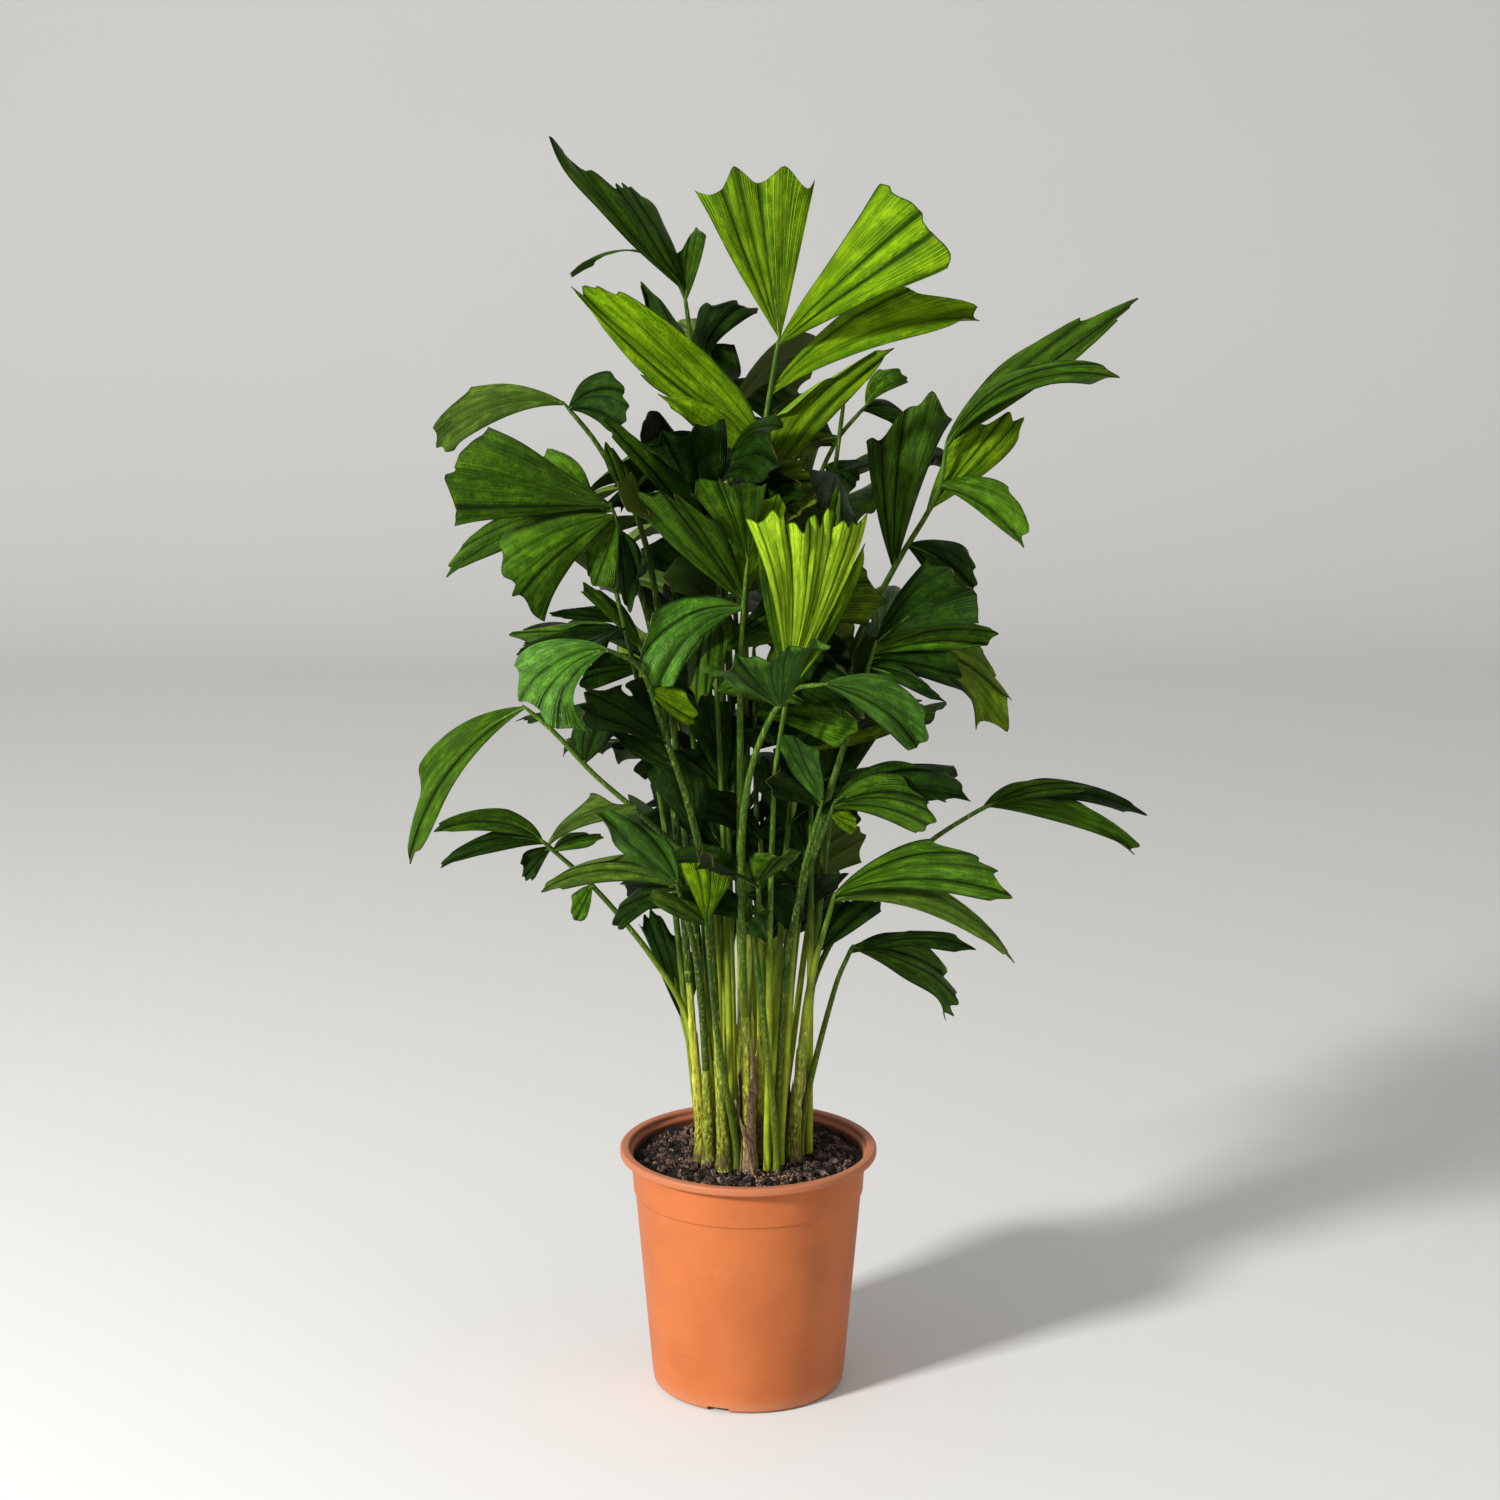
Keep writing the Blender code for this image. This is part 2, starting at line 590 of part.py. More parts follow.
def stem_line(seat, head, via, shift):
    """A stem's points: straight up from its seat, past the planned places, closer together at the head."""
    start = seat + UP * START_HEIGHT
    knots = [start]
    for across, up in via:
        share = (up * CM - start.z) / (head.z - start.z)
        back = start.y + (head.y - start.y) * share + shift
        knots.append(seen(across, up, back / CM))
    if not via:
        middle = start.lerp(head, BELLY_REACH)
        middle.z = start.z + (head.z - start.z) * BELLY_HEIGHT
        knots.append(middle + Vector((0.0, shift, 0.0)))
    knots.append(head)
    curve = smooth_line(knots)
    length = line_length(curve)
    points = [seat]
    for step in range(STALK_STEPS):
        share = 1 - (1 - step / (STALK_STEPS - 1)) ** STEP_CROWDING
        points.append(point_at(curve, share * length)[0])
    return points


def stem_radii(points, foot_radius):
    """Radii that taper evenly from the foot to the head."""
    length = line_length(points)
    radii = []
    done = 0.0
    for index, point in enumerate(points):
        if index:
            done += (point - points[index - 1]).length
        radii.append(foot_radius + (STALK_HEAD_RADIUS - foot_radius) * done / length)
    return radii


class Stems:
    """The stems that already stand, as straight runs with a radius."""

    def __init__(self):
        self.starts = numpy.zeros((0, 3))
        self.ends = numpy.zeros((0, 3))
        self.radii = numpy.zeros(0)

    def add(self, points, radii):
        """Add a stem's runs."""
        line = numpy.array(points)
        self.starts = numpy.vstack([self.starts, line[:-1]])
        self.ends = numpy.vstack([self.ends, line[1:]])
        self.radii = numpy.append(self.radii, numpy.maximum(radii[:-1], radii[1:]))

    def has_room(self, points, radii, needed):
        """Whether a new stem keeps this much room, surface to surface, from those that stand."""
        if not len(self.radii):
            return True
        runs = self.ends - self.starts
        squares = numpy.maximum((runs * runs).sum(axis=1), MM * MM)
        line = numpy.array(points)
        for start, end, radius in zip(line, line[1:], radii):
            shares = numpy.linspace(0.0, 1.0, 2 + int(numpy.linalg.norm(end - start) / ROOM_STEP))
            spots = start + shares[:, None] * (end - start)
            offsets = spots[:, None, :] - self.starts
            along = numpy.clip((offsets * runs).sum(axis=2) / squares, 0.0, 1.0)
            apart = numpy.linalg.norm(offsets - along[:, :, None] * runs, axis=2)
            if (apart - self.radii).min() < radius + needed:
                return False
        return True


class Stem(NamedTuple):
    """A stem: its points, its radii, and how many of its points belong to the cane."""

    points: list
    radii: list
    cane_points: int


def foot_aim(head, via):
    """Where a stem would best stand: on a line that fans out from a point under the pot."""
    aim = Vector((*CLUMP_CENTRE, SOIL_TOP)) + Vector((head.x, head.y, 0.0)) * SEAT_PULL
    if via:
        across, up = via[0]
        aim.x = across * CM * (SOIL_TOP + FAN_DEPTH) / (up * CM + FAN_DEPTH)
    return aim


def place_stem(head, via, cane, free_seats, stems):
    """Stand a stem on the nearest free seat from which it is clear of the others."""
    aim = foot_aim(head, via)
    foot_radius = CANE_FOOT_RADIUS if cane else STALK_FOOT_RADIUS
    nearest = sorted(free_seats, key=lambda seat: math.hypot(SIDE_CARE * (seat.x - aim.x), seat.y - aim.y))
    for needed in (STEM_ROOM, GAP):
        for seat in nearest:
            for shift in STEM_SHIFTS:
                points = stem_line(seat, head, via, shift)
                radii = stem_radii(points, foot_radius)
                if cane:
                    radii[0] *= CANE_FLARE
                if stems.has_room(points, radii, needed):
                    free_seats.remove(seat)
                    stems.add(points, radii)
                    return split_stem(points, radii, cane)
    return None


def split_stem(points, radii, cane):
    """Mark where the cane ends: in the run that passes its height above the soil."""
    if not cane:
        return Stem(points, radii, 0)
    for index, point in enumerate(points):
        if point.z - SOIL_TOP > cane * CM:
            return Stem(points, radii, index)
    return Stem(points, radii, len(points) - 2)


def tube_mesh(name, points, radii, bevel_resolution):
    """A closed tube through the points."""
    curve = bpy.data.curves.new(name, "CURVE")
    curve.dimensions = "3D"
    curve.bevel_depth = 1.0
    curve.bevel_resolution = bevel_resolution
    curve.use_fill_caps = True
    spline = curve.splines.new("POLY")
    spline.points.add(len(points) - 1)
    for knot, point, radius in zip(spline.points, points, radii):
        knot.co = (*point, 1.0)
        knot.radius = radius
    guide = bpy.data.objects.new(name, curve)
    bpy.context.scene.collection.objects.link(guide)
    evaluated = guide.evaluated_get(bpy.context.evaluated_depsgraph_get())
    mesh = bpy.data.meshes.new_from_object(evaluated)
    bpy.data.objects.remove(guide)
    bpy.data.curves.remove(curve)
    bm = bmesh.new()
    bm.from_mesh(mesh)
    bmesh.ops.remove_doubles(bm, verts=bm.verts[:], dist=0.01 * MM)
    bm.to_mesh(mesh)
    bm.free()
    return mesh


def cane_run(stem):
    """The cane's points and radii: flared at the soil, up to just under the frond's stalk."""
    last = stem.cane_points
    below, above = stem.points[last - 1], stem.points[last]
    cut = (below + above) / 2
    down = (below - above).normalized()
    points = stem.points[:last] + [cut + down * (GAP / 2)]
    shares = numpy.linspace(0.0, 1.0, len(points))
    radii = [CANE_FOOT_RADIUS + (CANE_TIP_RADIUS - CANE_FOOT_RADIUS) * share for share in shares]
    radii[0] *= CANE_FLARE
    return points, radii


def stalk_run(stem):
    """The frond's stalk: from the soil, or from just over its cane."""
    last = stem.cane_points
    if not last:
        return stem.points, stem.radii
    below, above = stem.points[last - 1], stem.points[last]
    cut = (below + above) / 2
    up = (above - below).normalized()
    radius = min(STALK_FOOT_RADIUS, (stem.radii[last - 1] + stem.radii[last]) / 2)
    points = [cut + up * (GAP / 2)] + stem.points[last:]
    return points, [radius] + [min(radius, size) for size in stem.radii[last:]]


def shortened(points, radii, distance):
    """A tube's points and radii up to this distance along it."""
    kept = [points[0]]
    for point in points[1:]:
        if line_length(kept + [point]) >= distance:
            break
        kept.append(point)
    end, _ = point_at(points, distance)
    return kept + [end], radii[:len(kept) + 1]


def trimmed_stalk(frond):
    """A frond's stalk, ended at the root of its highest leaflet."""
    points, radii = stalk_run(frond.stem)
    highest = min((blade.below for blade in frond.blades), default=0.0)
    return shortened(points, radii, line_length(points) - highest + ROOT_COVER)


# Leaflets

class Blade:
    """A leaflet: a rib that bends down from its root to its tip, and a blade that widens along it."""

    def __init__(self, root, tip, wide, droop, kind, facing, twist, tone, below):
        chord = tip - root
        self.below = below
        self.root = root
        self.kind = KINDS[kind]
        self.tone = tone
        self.half = wide / 2
        self.bend = math.radians(max(droop, LEAST_BEND)) / 2
        self.along = chord.normalized()
        self.length = chord.length * self.bend / math.sin(self.bend)
        fall = -UP + self.along * self.along.z
        if fall.length < STEEPEST:
            fall = -facing
        self.fall = (fall - self.along * fall.dot(self.along)).normalized()
        self.hinge = self.along.cross(self.fall)
        level = facing - self.along * facing.dot(self.along)
        self.face = level.normalized()
        self.side = self.along.cross(self.face)
        self.lower = 1.0 if self.side.z < 0 else -1.0
        self.twist = math.radians(twist)
        self.thickness = max(LEAF_THICKNESS, LEAF_THINNEST * self.length)
        self.rows = 3 if droop > LONG_BEND else 2

    def ray(self, s):
        """The share of the length that the blade reaches at s, from one edge (-1) to the other (1)."""
        peak = self.kind.peak * self.lower
        return 1 - self.kind.cut * (abs(s - peak) / (1 + abs(peak))) ** 1.2

    def half_width(self, t, grow):
        """Half of the width at a share t of the length."""
        spread = (1 - (1 - t) ** self.kind.bulge) * (1 - self.kind.pinch * t ** 3)
        return ROOT_HALF + grow + (self.half - ROOT_HALF) * spread

    def bent(self, reach, t, y, rise):
        """The point this far along the bent rib, y to its side and raised off the blade."""
        turn = self.bend * (2 * reach / self.length - 1)
        radius = self.length / (2 * self.bend)
        spine = self.root + self.along * (radius * (math.sin(turn) + math.sin(self.bend)))
        spine += self.fall * (radius * (math.cos(self.bend) - math.cos(turn)))
        frame = Matrix.Rotation(turn, 3, self.hinge) @ Matrix.Rotation(self.twist * t, 3, self.along)
        return spine + frame @ (self.side * y + self.face * rise)

    def place(self, t, s, grow=0.0):
        """The point of the blade's middle surface at (t, s)."""
        reach = t * (self.ray(s) * self.length + grow)
        y = s * self.half_width(t, grow)
        return self.bent(reach, t, y, -abs(y) * FOLD * t)

    def mesh(self, start=0.0, grow=0.0):
        """The leaflet as a thin closed shell, from a share `start` of its length to its tip."""
        bm = bmesh.new()
        bmesh.ops.create_grid(bm, x_segments=self.kind.columns, y_segments=self.rows, size=1.0)
        for vert in bm.verts:
            s, t = vert.co.x, start + (1 - start) * (vert.co.y + 1) / 2
            vert.co = self.place(t, s, grow)
        bm.normal_update()
        thickness = self.thickness + 2 * grow
        for vert in bm.verts:
            vert.co += vert.normal * (thickness / 2)
        bmesh.ops.solidify(bm, geom=bm.faces[:], thickness=thickness)
        return bm


def aimed_blade(root, tip, wide, droop, kind, facing, twist, tone, below):
    """A leaflet whose aimed ray ends at the tip."""
    target = tip
    for _ in range(3):
        blade = Blade(root, target, wide, droop, kind, facing, twist, tone, below)
        miss = blade.place(1.0, blade.kind.aim * blade.lower) - tip
        target = target - miss
    return blade


class Placed(NamedTuple):
    """A piece that stands: whose it is, its box, its surface, and its surface away from its root."""

    owner: str
    low: Vector
    high: Vector
    whole: BVHTree
    outer: BVHTree


def box_of(bm):
    """The lowest and highest corners of a mesh."""
    low = Vector([min(vert.co[axis] for vert in bm.verts) for axis in range(3)])
    high = Vector([max(vert.co[axis] for vert in bm.verts) for axis in range(3)])
    return low, high


def boxes_apart(low, high, other):
    """Whether a box is clear of a placed piece's box."""
    return any(high[axis] < other.low[axis] or low[axis] > other.high[axis] for axis in range(3))


def placed_tube(owner, mesh):
    """A stalk or cane among the placed pieces."""
    bm = bmesh.new()
    bm.from_mesh(mesh)
    bpy.data.meshes.remove(mesh)
    low, high = box_of(bm)
    tree = BVHTree.FromBMesh(bm)
    bm.free()
    return Placed(owner, low, high, tree, tree)


def placed_blade(owner, blade):
    """A leaflet among the placed pieces."""
    whole = blade.mesh()
    outer = blade.mesh(OUTER_START)
    low, high = box_of(whole)
    piece = Placed(owner, low, high, BVHTree.FromBMesh(whole), BVHTree.FromBMesh(outer))
    whole.free()
    outer.free()
    return piece


def is_clear(blade, owner, placed):
    """Whether a leaflet keeps clear of every placed piece, and past its root also of its own frond."""
    whole = blade.mesh(0.0, LEAF_ROOM)
    outer = blade.mesh(OUTER_START, LEAF_ROOM)
    low, high = box_of(whole)
    whole_tree = BVHTree.FromBMesh(whole)
    outer_tree = BVHTree.FromBMesh(outer)
    whole.free()
    outer.free()
    for other in placed:
        if boxes_apart(low, high, other):
            continue
        if other.owner == owner:
            if outer_tree.overlap(other.outer):
                return False
        elif whole_tree.overlap(other.whole):
            return False
    return True


def add_leaflet(frond, choices, placed):
    """Give a frond the first of the choices that is clear. If none is, the leaflet is left out."""
    for blade in choices:
        if is_clear(blade, frond.place, placed):
            placed.append(placed_blade(frond.place, blade))
            frond.blades.append(blade)
            return


def front_blades(leaf, line, chance):
    """The ways a planned leaflet may lie: its tip at other depths on the same line of sight, or shorter."""
    below = leaf.below * CM
    root, _ = point_at(line[::-1], below)
    flat = seen(leaf.across, leaf.up, root.y / CM)
    lean = leaf.back + chance.uniform(*DEPTH_LEAN) * (flat - root).length / CM
    twist = chance.uniform(*TWIST)
    turn = math.radians(leaf.turn + chance.uniform(*TURN))
    for size in SIZES:
        for shift in DEPTH_SHIFTS:
            tip = seen(leaf.across, leaf.up, root.y / CM + lean + shift)
            tip = root.lerp(tip, size)
            toward = (EYE - tip).normalized() + UP * SKYWARD
            facing = Matrix.Rotation(turn, 3, (tip - root).normalized()) @ toward
            wide = leaf.wide * CM * size
            yield aimed_blade(root, tip, wide, leaf.droop, leaf.kind, facing, twist, leaf.tone, below)


class Grower(NamedTuple):
    """A frond made by rule: its head, the way it points, and its own chance."""

    head: Vector
    heading: float
    chance: random.Random
    ring: Ring


def ring_frond(ring, index):
    """The head and heading of one frond of a ring."""
    chance = random.Random(RING_SEED + 100 * ring.count + index)
    heading = math.radians(ring.first + ring.sweep * (index + 0.5) / ring.count)
    level = ((index * 5) % ring.count) / (ring.count - 1)
    height = ring.lowest + (ring.highest - ring.lowest) * level
    reach = ring.reach + ring.belly * math.sin(math.pi * level) + chance.uniform(-1.5, 1.5)
    head = Vector((reach * 0.8 * math.cos(heading), reach * 1.15 * math.sin(heading), height)) * CM
    return Grower(head, heading, chance, ring)


def ring_fronds():
    """Every frond made by rule, by name."""
    growers = {}
    for name, ring in RINGS.items():
        for index in range(ring.count):
            growers[f"{name}_{index + 1}"] = ring_frond(ring, index)
    return growers


def ring_blades(line, grower, number):
    """The ways a leaflet of a ring's frond may lie: fanned out to both sides of its heading."""
    chance = grower.chance
    heading = grower.heading
    side = 1 if number % 2 else -1
    pair = (number + 1) // 2
    below = (RING_FIRST + RING_SPACING * pair) * CM
    root, _ = point_at(line[::-1], below)
    kind = RING_KINDS[pair % len(RING_KINDS)]
    length = chance.uniform(*RING_LENGTHS) * CM
    wide = length * RING_WIDTHS[kind]
    tone = chance.choice(RING_TONES)
    twist = chance.uniform(*TWIST)
    outward = Vector((math.cos(heading), math.sin(heading), 0.0))
    facing = UP * grower.ring.upright + outward * RING_OUTWARD
    for size in SIZES:
        for attempt in range(RING_TRIES):
            swing = FIRST_SWING + NEXT_SWING * pair if number else 0.0
            swing += TRY_SWING * attempt * (-1) ** attempt
            turn = heading + side * math.radians(swing)
            rise = math.radians(chance.uniform(*RING_RISE))
            way = Vector((math.cos(turn) * math.cos(rise), math.sin(turn) * math.cos(rise), math.sin(rise)))
            tip = root + way * length * size
            droop = chance.uniform(*RING_DROOP)
            yield aimed_blade(root, tip, wide * size, droop, kind, facing, twist, tone, below)


def in_core(point):
    """Whether a point is seen inside the dense middle of the crown."""
    flat = EYE + (point - EYE) * (-EYE.y / (point.y - EYE.y))
    across = (flat.x / CM - CORE_CENTRE[0]) / CORE_HALF[0]
    up = (flat.z / CM - CORE_CENTRE[1]) / CORE_HALF[1]
    return across ** 2 + up ** 2 < 1


def joined_tree(shapes):
    """One surface to look along sight lines at, from several meshes."""
    points = []
    faces = []
    for bm in shapes:
        first = len(points)
        points.extend(vert.co.copy() for vert in bm.verts)
        faces.extend([first + vert.index for vert in face.verts] for face in bm.faces)
        bm.free()
    return BVHTree.FromPolygons(points, faces)


def fills_gap(blade, front):
    """Whether a leaflet lies behind the front ones or in the dense middle, and hides few of them."""
    covered = 0
    hiding = 0
    spots = [blade.place(t, s) for t in (0.35, 0.7, 1.0) for s in (-1.0, -0.4, 0.4, 1.0)]
    for spot in spots:
        sight = (EYE - spot).normalized()
        behind = front.ray_cast(spot + sight * MM, sight)[0] is not None
        covered += behind or in_core(spot)
        hiding += not behind and front.ray_cast(spot - sight * MM, -sight)[0] is not None
    return covered >= HIDDEN_SHARE * len(spots) and hiding <= HIDING_SHARE * len(spots)


# Growing the plant

class Grown(NamedTuple):
    """A frond as it grew: its name, its stem and its leaflets."""

    place: str
    stem: Stem
    blades: list


def grow_stems(growers):
    """Stand every stem, the planned ones first, and of those the ones nearest the viewer first."""
    free_seats = seats()
    stems = Stems()
    grown = dict.fromkeys(FRONT)
    for place in sorted(FRONT, key=lambda place: FRONT[place].head[2]):
        frond = FRONT[place]
        grown[place] = place_stem(seen(*frond.head), frond.via, frond.cane, free_seats, stems)
    for place, grower in growers.items():
        grown[place] = place_stem(grower.head, (), 0, free_seats, stems)
    return {place: stem for place, stem in grown.items() if stem}


def stalk_mesh(place, points, radii):
    """A frond's stalk: six-sided on the planned fronds, four-sided on the others."""
    return tube_mesh(f"stalk_{place}", points, radii, 1 if place in FRONT else 0)


def cane_mesh(place, stem):
    """The cane under a frond, cut flat at the soil."""
    return tube_mesh(f"cane_{place}", *cane_run(stem), 2)


def grow_stalks(stems, placed):
    """Stand the stalks and canes, and return a frond without leaflets for each stem."""
    fronds = []
    for place, stem in stems.items():
        placed.append(placed_tube(place, stalk_mesh(place, *stalk_run(stem))))
        if stem.cane_points:
            placed.append(placed_tube(f"cane_{place}", cane_mesh(place, stem)))
        fronds.append(Grown(place, stem, []))
    return fronds


def grow_plant():
    """Grow the stems, then the planned leaflets, then those made by rule, and return the fronds."""
    growers = ring_fronds()
    placed = []
    fronds = grow_stalks(grow_stems(growers), placed)
    planned = [frond for frond in fronds if frond.place in FRONT]
    for number, frond in enumerate(planned):
        line, _ = stalk_run(frond.stem)
        chance = random.Random(number)
        for leaf in FRONT[frond.place].leaves:
            add_leaflet(frond, front_blades(leaf, line, chance), placed)
    front = joined_tree(blade.mesh() for frond in planned for blade in frond.blades)
    for frond in fronds:
        if frond.place in growers:
            line, _ = stalk_run(frond.stem)
            grower = growers[frond.place]
            for number in range(grower.ring.leaves):
                choices = ring_blades(line, grower, number)
                fitting = (blade for blade in choices if fills_gap(blade, front))
                add_leaflet(frond, fitting, placed)
    return [frond for frond in fronds if frond.place in FRONT or len(frond.blades) >= FEWEST_LEAVES]


def is_closed(mesh):
    """Whether a mesh is one closed body."""
    bm = bmesh.new()
    bm.from_mesh(mesh)
    closed = bool(bm.verts) and all(edge.is_manifold for edge in bm.edges)
    if closed:
        reached = {bm.verts[:][0]}
        waiting = list(reached)
        while waiting:
            vert = waiting.pop()
            for edge in vert.link_edges:
                other = edge.other_vert(vert)
                if other not in reached:
                    reached.add(other)
                    waiting.append(other)
        closed = len(reached) == len(bm.verts)
    bm.free()
    return closed


def fuse(frond, collection, materials):
    """Join a frond's stalk and leaflets into one solid."""
    name = f"frond_{frond.place}"
    tones = list(TONES)
    piece = new_object(name, stalk_mesh(frond.place, *trimmed_stalk(frond)), collection, materials)
    parts = new_collection("leaflets")
    for number, blade in enumerate(frond.blades):
        bm = blade.mesh()
        for face in bm.faces:
            face.material_index = tones.index(blade.tone)
        mesh = bpy.data.meshes.new(f"leaflet_{number + 1}")
        bm.to_mesh(mesh)
        bm.free()
        new_object(mesh.name, mesh, parts, materials)
    for solver in ("EXACT", "MANIFOLD"):
        join = piece.modifiers.new("join", "BOOLEAN")
        join.operation = "UNION"
        join.operand_type = "COLLECTION"
        join.collection = parts
        join.solver = solver
        evaluated = piece.evaluated_get(bpy.context.evaluated_depsgraph_get())
        shaped = bpy.data.meshes.new_from_object(evaluated)
        piece.modifiers.clear()
        if is_closed(shaped):
            break
    piece.data = shaped
    for leaflet in list(parts.objects):
        bpy.data.objects.remove(leaflet)
    bpy.data.collections.remove(parts)
    finish_round(piece, SHARP_LEAF)
    return piece


def make_cane(frond, collection, material):
    """Put the cane under a frond in the scene."""
    mesh = cane_mesh(frond.place, frond.stem)
    piece = new_object(f"cane_{frond.place}", mesh, collection, [material])
    finish_round(piece, SHARP_CANE)
    return piece


def main():
    """Build the potted palm."""
    clear_scene()
    palm = new_collection("potted_fishtail_palm")
    cutters = new_collection("cutters")
    leaf_materials = [make_material(f"{tone}_green", colour, 0.45) for tone, colour in TONES.items()]
    make_pot(palm, cutters, make_material("terracotta_plastic", (0.62, 0.17, 0.07), 0.6))
    make_soil(palm, make_material("potting_soil", (0.030, 0.020, 0.014), 0.95))
    cane_material = make_material("cane_green", (0.190, 0.230, 0.030), 0.5)
    for frond in grow_plant():
        if frond.stem.cane_points:
            make_cane(frond, palm, cane_material)
        fuse(frond, palm, leaf_materials)


main()
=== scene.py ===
"""Potted fishtail palm: a clump of slim canes in a nursery pot, with arching fronds of jagged leaflets.

Metres, +Z up. The origin is the middle of the pot's flat underside, +X is to the viewer's right and
+Y points away from the viewer. The crown is laid out as seen from the front: a place in the plan is
given in centimetres across, up and back, and lies on the line of sight through (across, up). The
stems and leaflets find their places by the same rule as the solids that they stand for.
"""

import json
import math
import random
from typing import NamedTuple

import bmesh
import bpy
import numpy
from mathutils import Matrix, Vector, noise
from mathutils.bvhtree import BVHTree
from mathutils.geometry import interpolate_bezier

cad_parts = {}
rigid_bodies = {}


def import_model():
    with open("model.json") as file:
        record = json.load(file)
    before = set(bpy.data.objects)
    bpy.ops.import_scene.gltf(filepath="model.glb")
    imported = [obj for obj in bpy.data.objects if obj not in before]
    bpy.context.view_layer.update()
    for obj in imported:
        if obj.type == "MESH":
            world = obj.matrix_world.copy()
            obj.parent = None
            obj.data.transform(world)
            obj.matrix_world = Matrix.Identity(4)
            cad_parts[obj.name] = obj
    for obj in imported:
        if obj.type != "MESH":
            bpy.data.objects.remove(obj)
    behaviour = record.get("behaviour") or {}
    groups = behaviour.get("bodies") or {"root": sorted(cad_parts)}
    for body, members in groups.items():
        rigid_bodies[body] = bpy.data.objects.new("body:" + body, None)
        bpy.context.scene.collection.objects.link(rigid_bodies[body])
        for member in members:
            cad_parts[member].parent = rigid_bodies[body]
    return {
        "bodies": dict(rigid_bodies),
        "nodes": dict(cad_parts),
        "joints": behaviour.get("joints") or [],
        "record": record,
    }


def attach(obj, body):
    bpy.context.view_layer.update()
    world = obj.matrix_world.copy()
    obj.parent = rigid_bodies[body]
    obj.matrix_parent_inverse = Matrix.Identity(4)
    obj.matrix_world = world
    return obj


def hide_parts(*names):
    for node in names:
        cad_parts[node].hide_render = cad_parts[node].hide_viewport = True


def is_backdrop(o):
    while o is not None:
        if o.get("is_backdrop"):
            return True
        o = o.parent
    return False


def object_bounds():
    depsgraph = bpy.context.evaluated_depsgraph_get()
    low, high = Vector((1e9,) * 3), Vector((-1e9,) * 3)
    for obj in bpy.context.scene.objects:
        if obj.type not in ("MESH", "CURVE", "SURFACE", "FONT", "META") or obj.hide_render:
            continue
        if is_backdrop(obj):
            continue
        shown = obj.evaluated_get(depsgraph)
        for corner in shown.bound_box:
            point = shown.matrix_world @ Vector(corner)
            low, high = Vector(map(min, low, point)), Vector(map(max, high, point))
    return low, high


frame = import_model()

CAD_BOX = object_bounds()

CM = 0.01
MM = 0.001
GAP = 0.3 * MM
SHARP_POT = 35
UP = Vector((0.0, 0.0, 1.0))
EYE = Vector((0.0, -2.84, 1.256))

# Pot
POT_HEIGHT = 0.232
RIM_RADIUS = 0.120
RIM_INNER = 0.111
LIP_HEIGHT = 0.008
COLLAR_TOP_RADIUS = 0.1095
COLLAR_FOOT_RADIUS = 0.1075
COLLAR_FOOT = 0.190
BODY_TOP_RADIUS = 0.1058
BODY_FOOT_RADIUS = 0.0912
FOOT_RADIUS = 0.086
FOOT_RING_WIDTH = 0.008
BOSS_RADIUS = 0.022
WALL = 0.0022
FLOOR_UNDER = 0.006
FLOOR_TOP = 0.009
EDGE = 0.0015
SLOT_COUNT = 4
SLOT_WIDTH = 0.021
SLOT_HEIGHT = 0.0052
SLOT_TURN = math.radians(-108.4)
DRAIN_COUNT = 6
DRAIN_RADIUS = 0.006
DRAIN_CIRCLE = 0.052

# Soil
SOIL_TOP = 0.2225
SOIL_EDGE = 0.2205
SOIL_FLAT_RADIUS = 0.068

# Stems
CLUMP_CENTRE = (0.4 * CM, -0.2 * CM)
CLUMP_ACROSS = 5.6 * CM
CLUMP_BACK = 4.9 * CM
SEATS = 100
START_HEIGHT = 2.2 * CM
CANE_FOOT_RADIUS = 5.8 * MM
CANE_TIP_RADIUS = 4.4 * MM
CANE_FLARE = 1.15
STALK_FOOT_RADIUS = 3.6 * MM
STALK_HEAD_RADIUS = 2.0 * MM
STALK_STEPS = 8
STEP_CROWDING = 1.35
STEM_ROOM = 0.9 * MM
ROOM_STEP = 3 * MM
STEM_SHIFTS = (0.0, 1.2 * CM, -1.2 * CM, 2.4 * CM, -2.4 * CM, 3.6 * CM, -3.6 * CM)
SEAT_PULL = 0.28
FAN_DEPTH = 0.22
SIDE_CARE = 2.2
BELLY_REACH = 0.45
BELLY_HEIGHT = 0.6

# Leaflets
ROOT_HALF = 1.2 * MM
ROOT_COVER = 3 * MM
LEAF_THICKNESS = 1.7 * MM
LEAF_THINNEST = 0.012
LEAF_ROOM = 0.5 * MM
OUTER_START = 0.3
FOLD = math.tan(math.radians(13))
SIZES = (1.0, 0.92, 0.82)
LONG_BEND = 60.0
LEAST_BEND = 2.0
STEEPEST = 0.15
DEPTH_SHIFTS = (0, -2, 2, -4, 4, -6, 6, -9, 9, -12, 12)
DEPTH_LEAN = (-0.60, 0.30)
TWIST = (-14, 14)
TURN = (-16, 16)
SKYWARD = 0.35


class Kind(NamedTuple):
    """How a leaflet widens, where its longest ray lies, and how its end is cut back and pinched.

    The plan gives the tip of the ray at `aim`, from one edge (-1) to the other (1).
    """

    bulge: float
    peak: float
    cut: float
    pinch: float
    aim: float
    columns: int


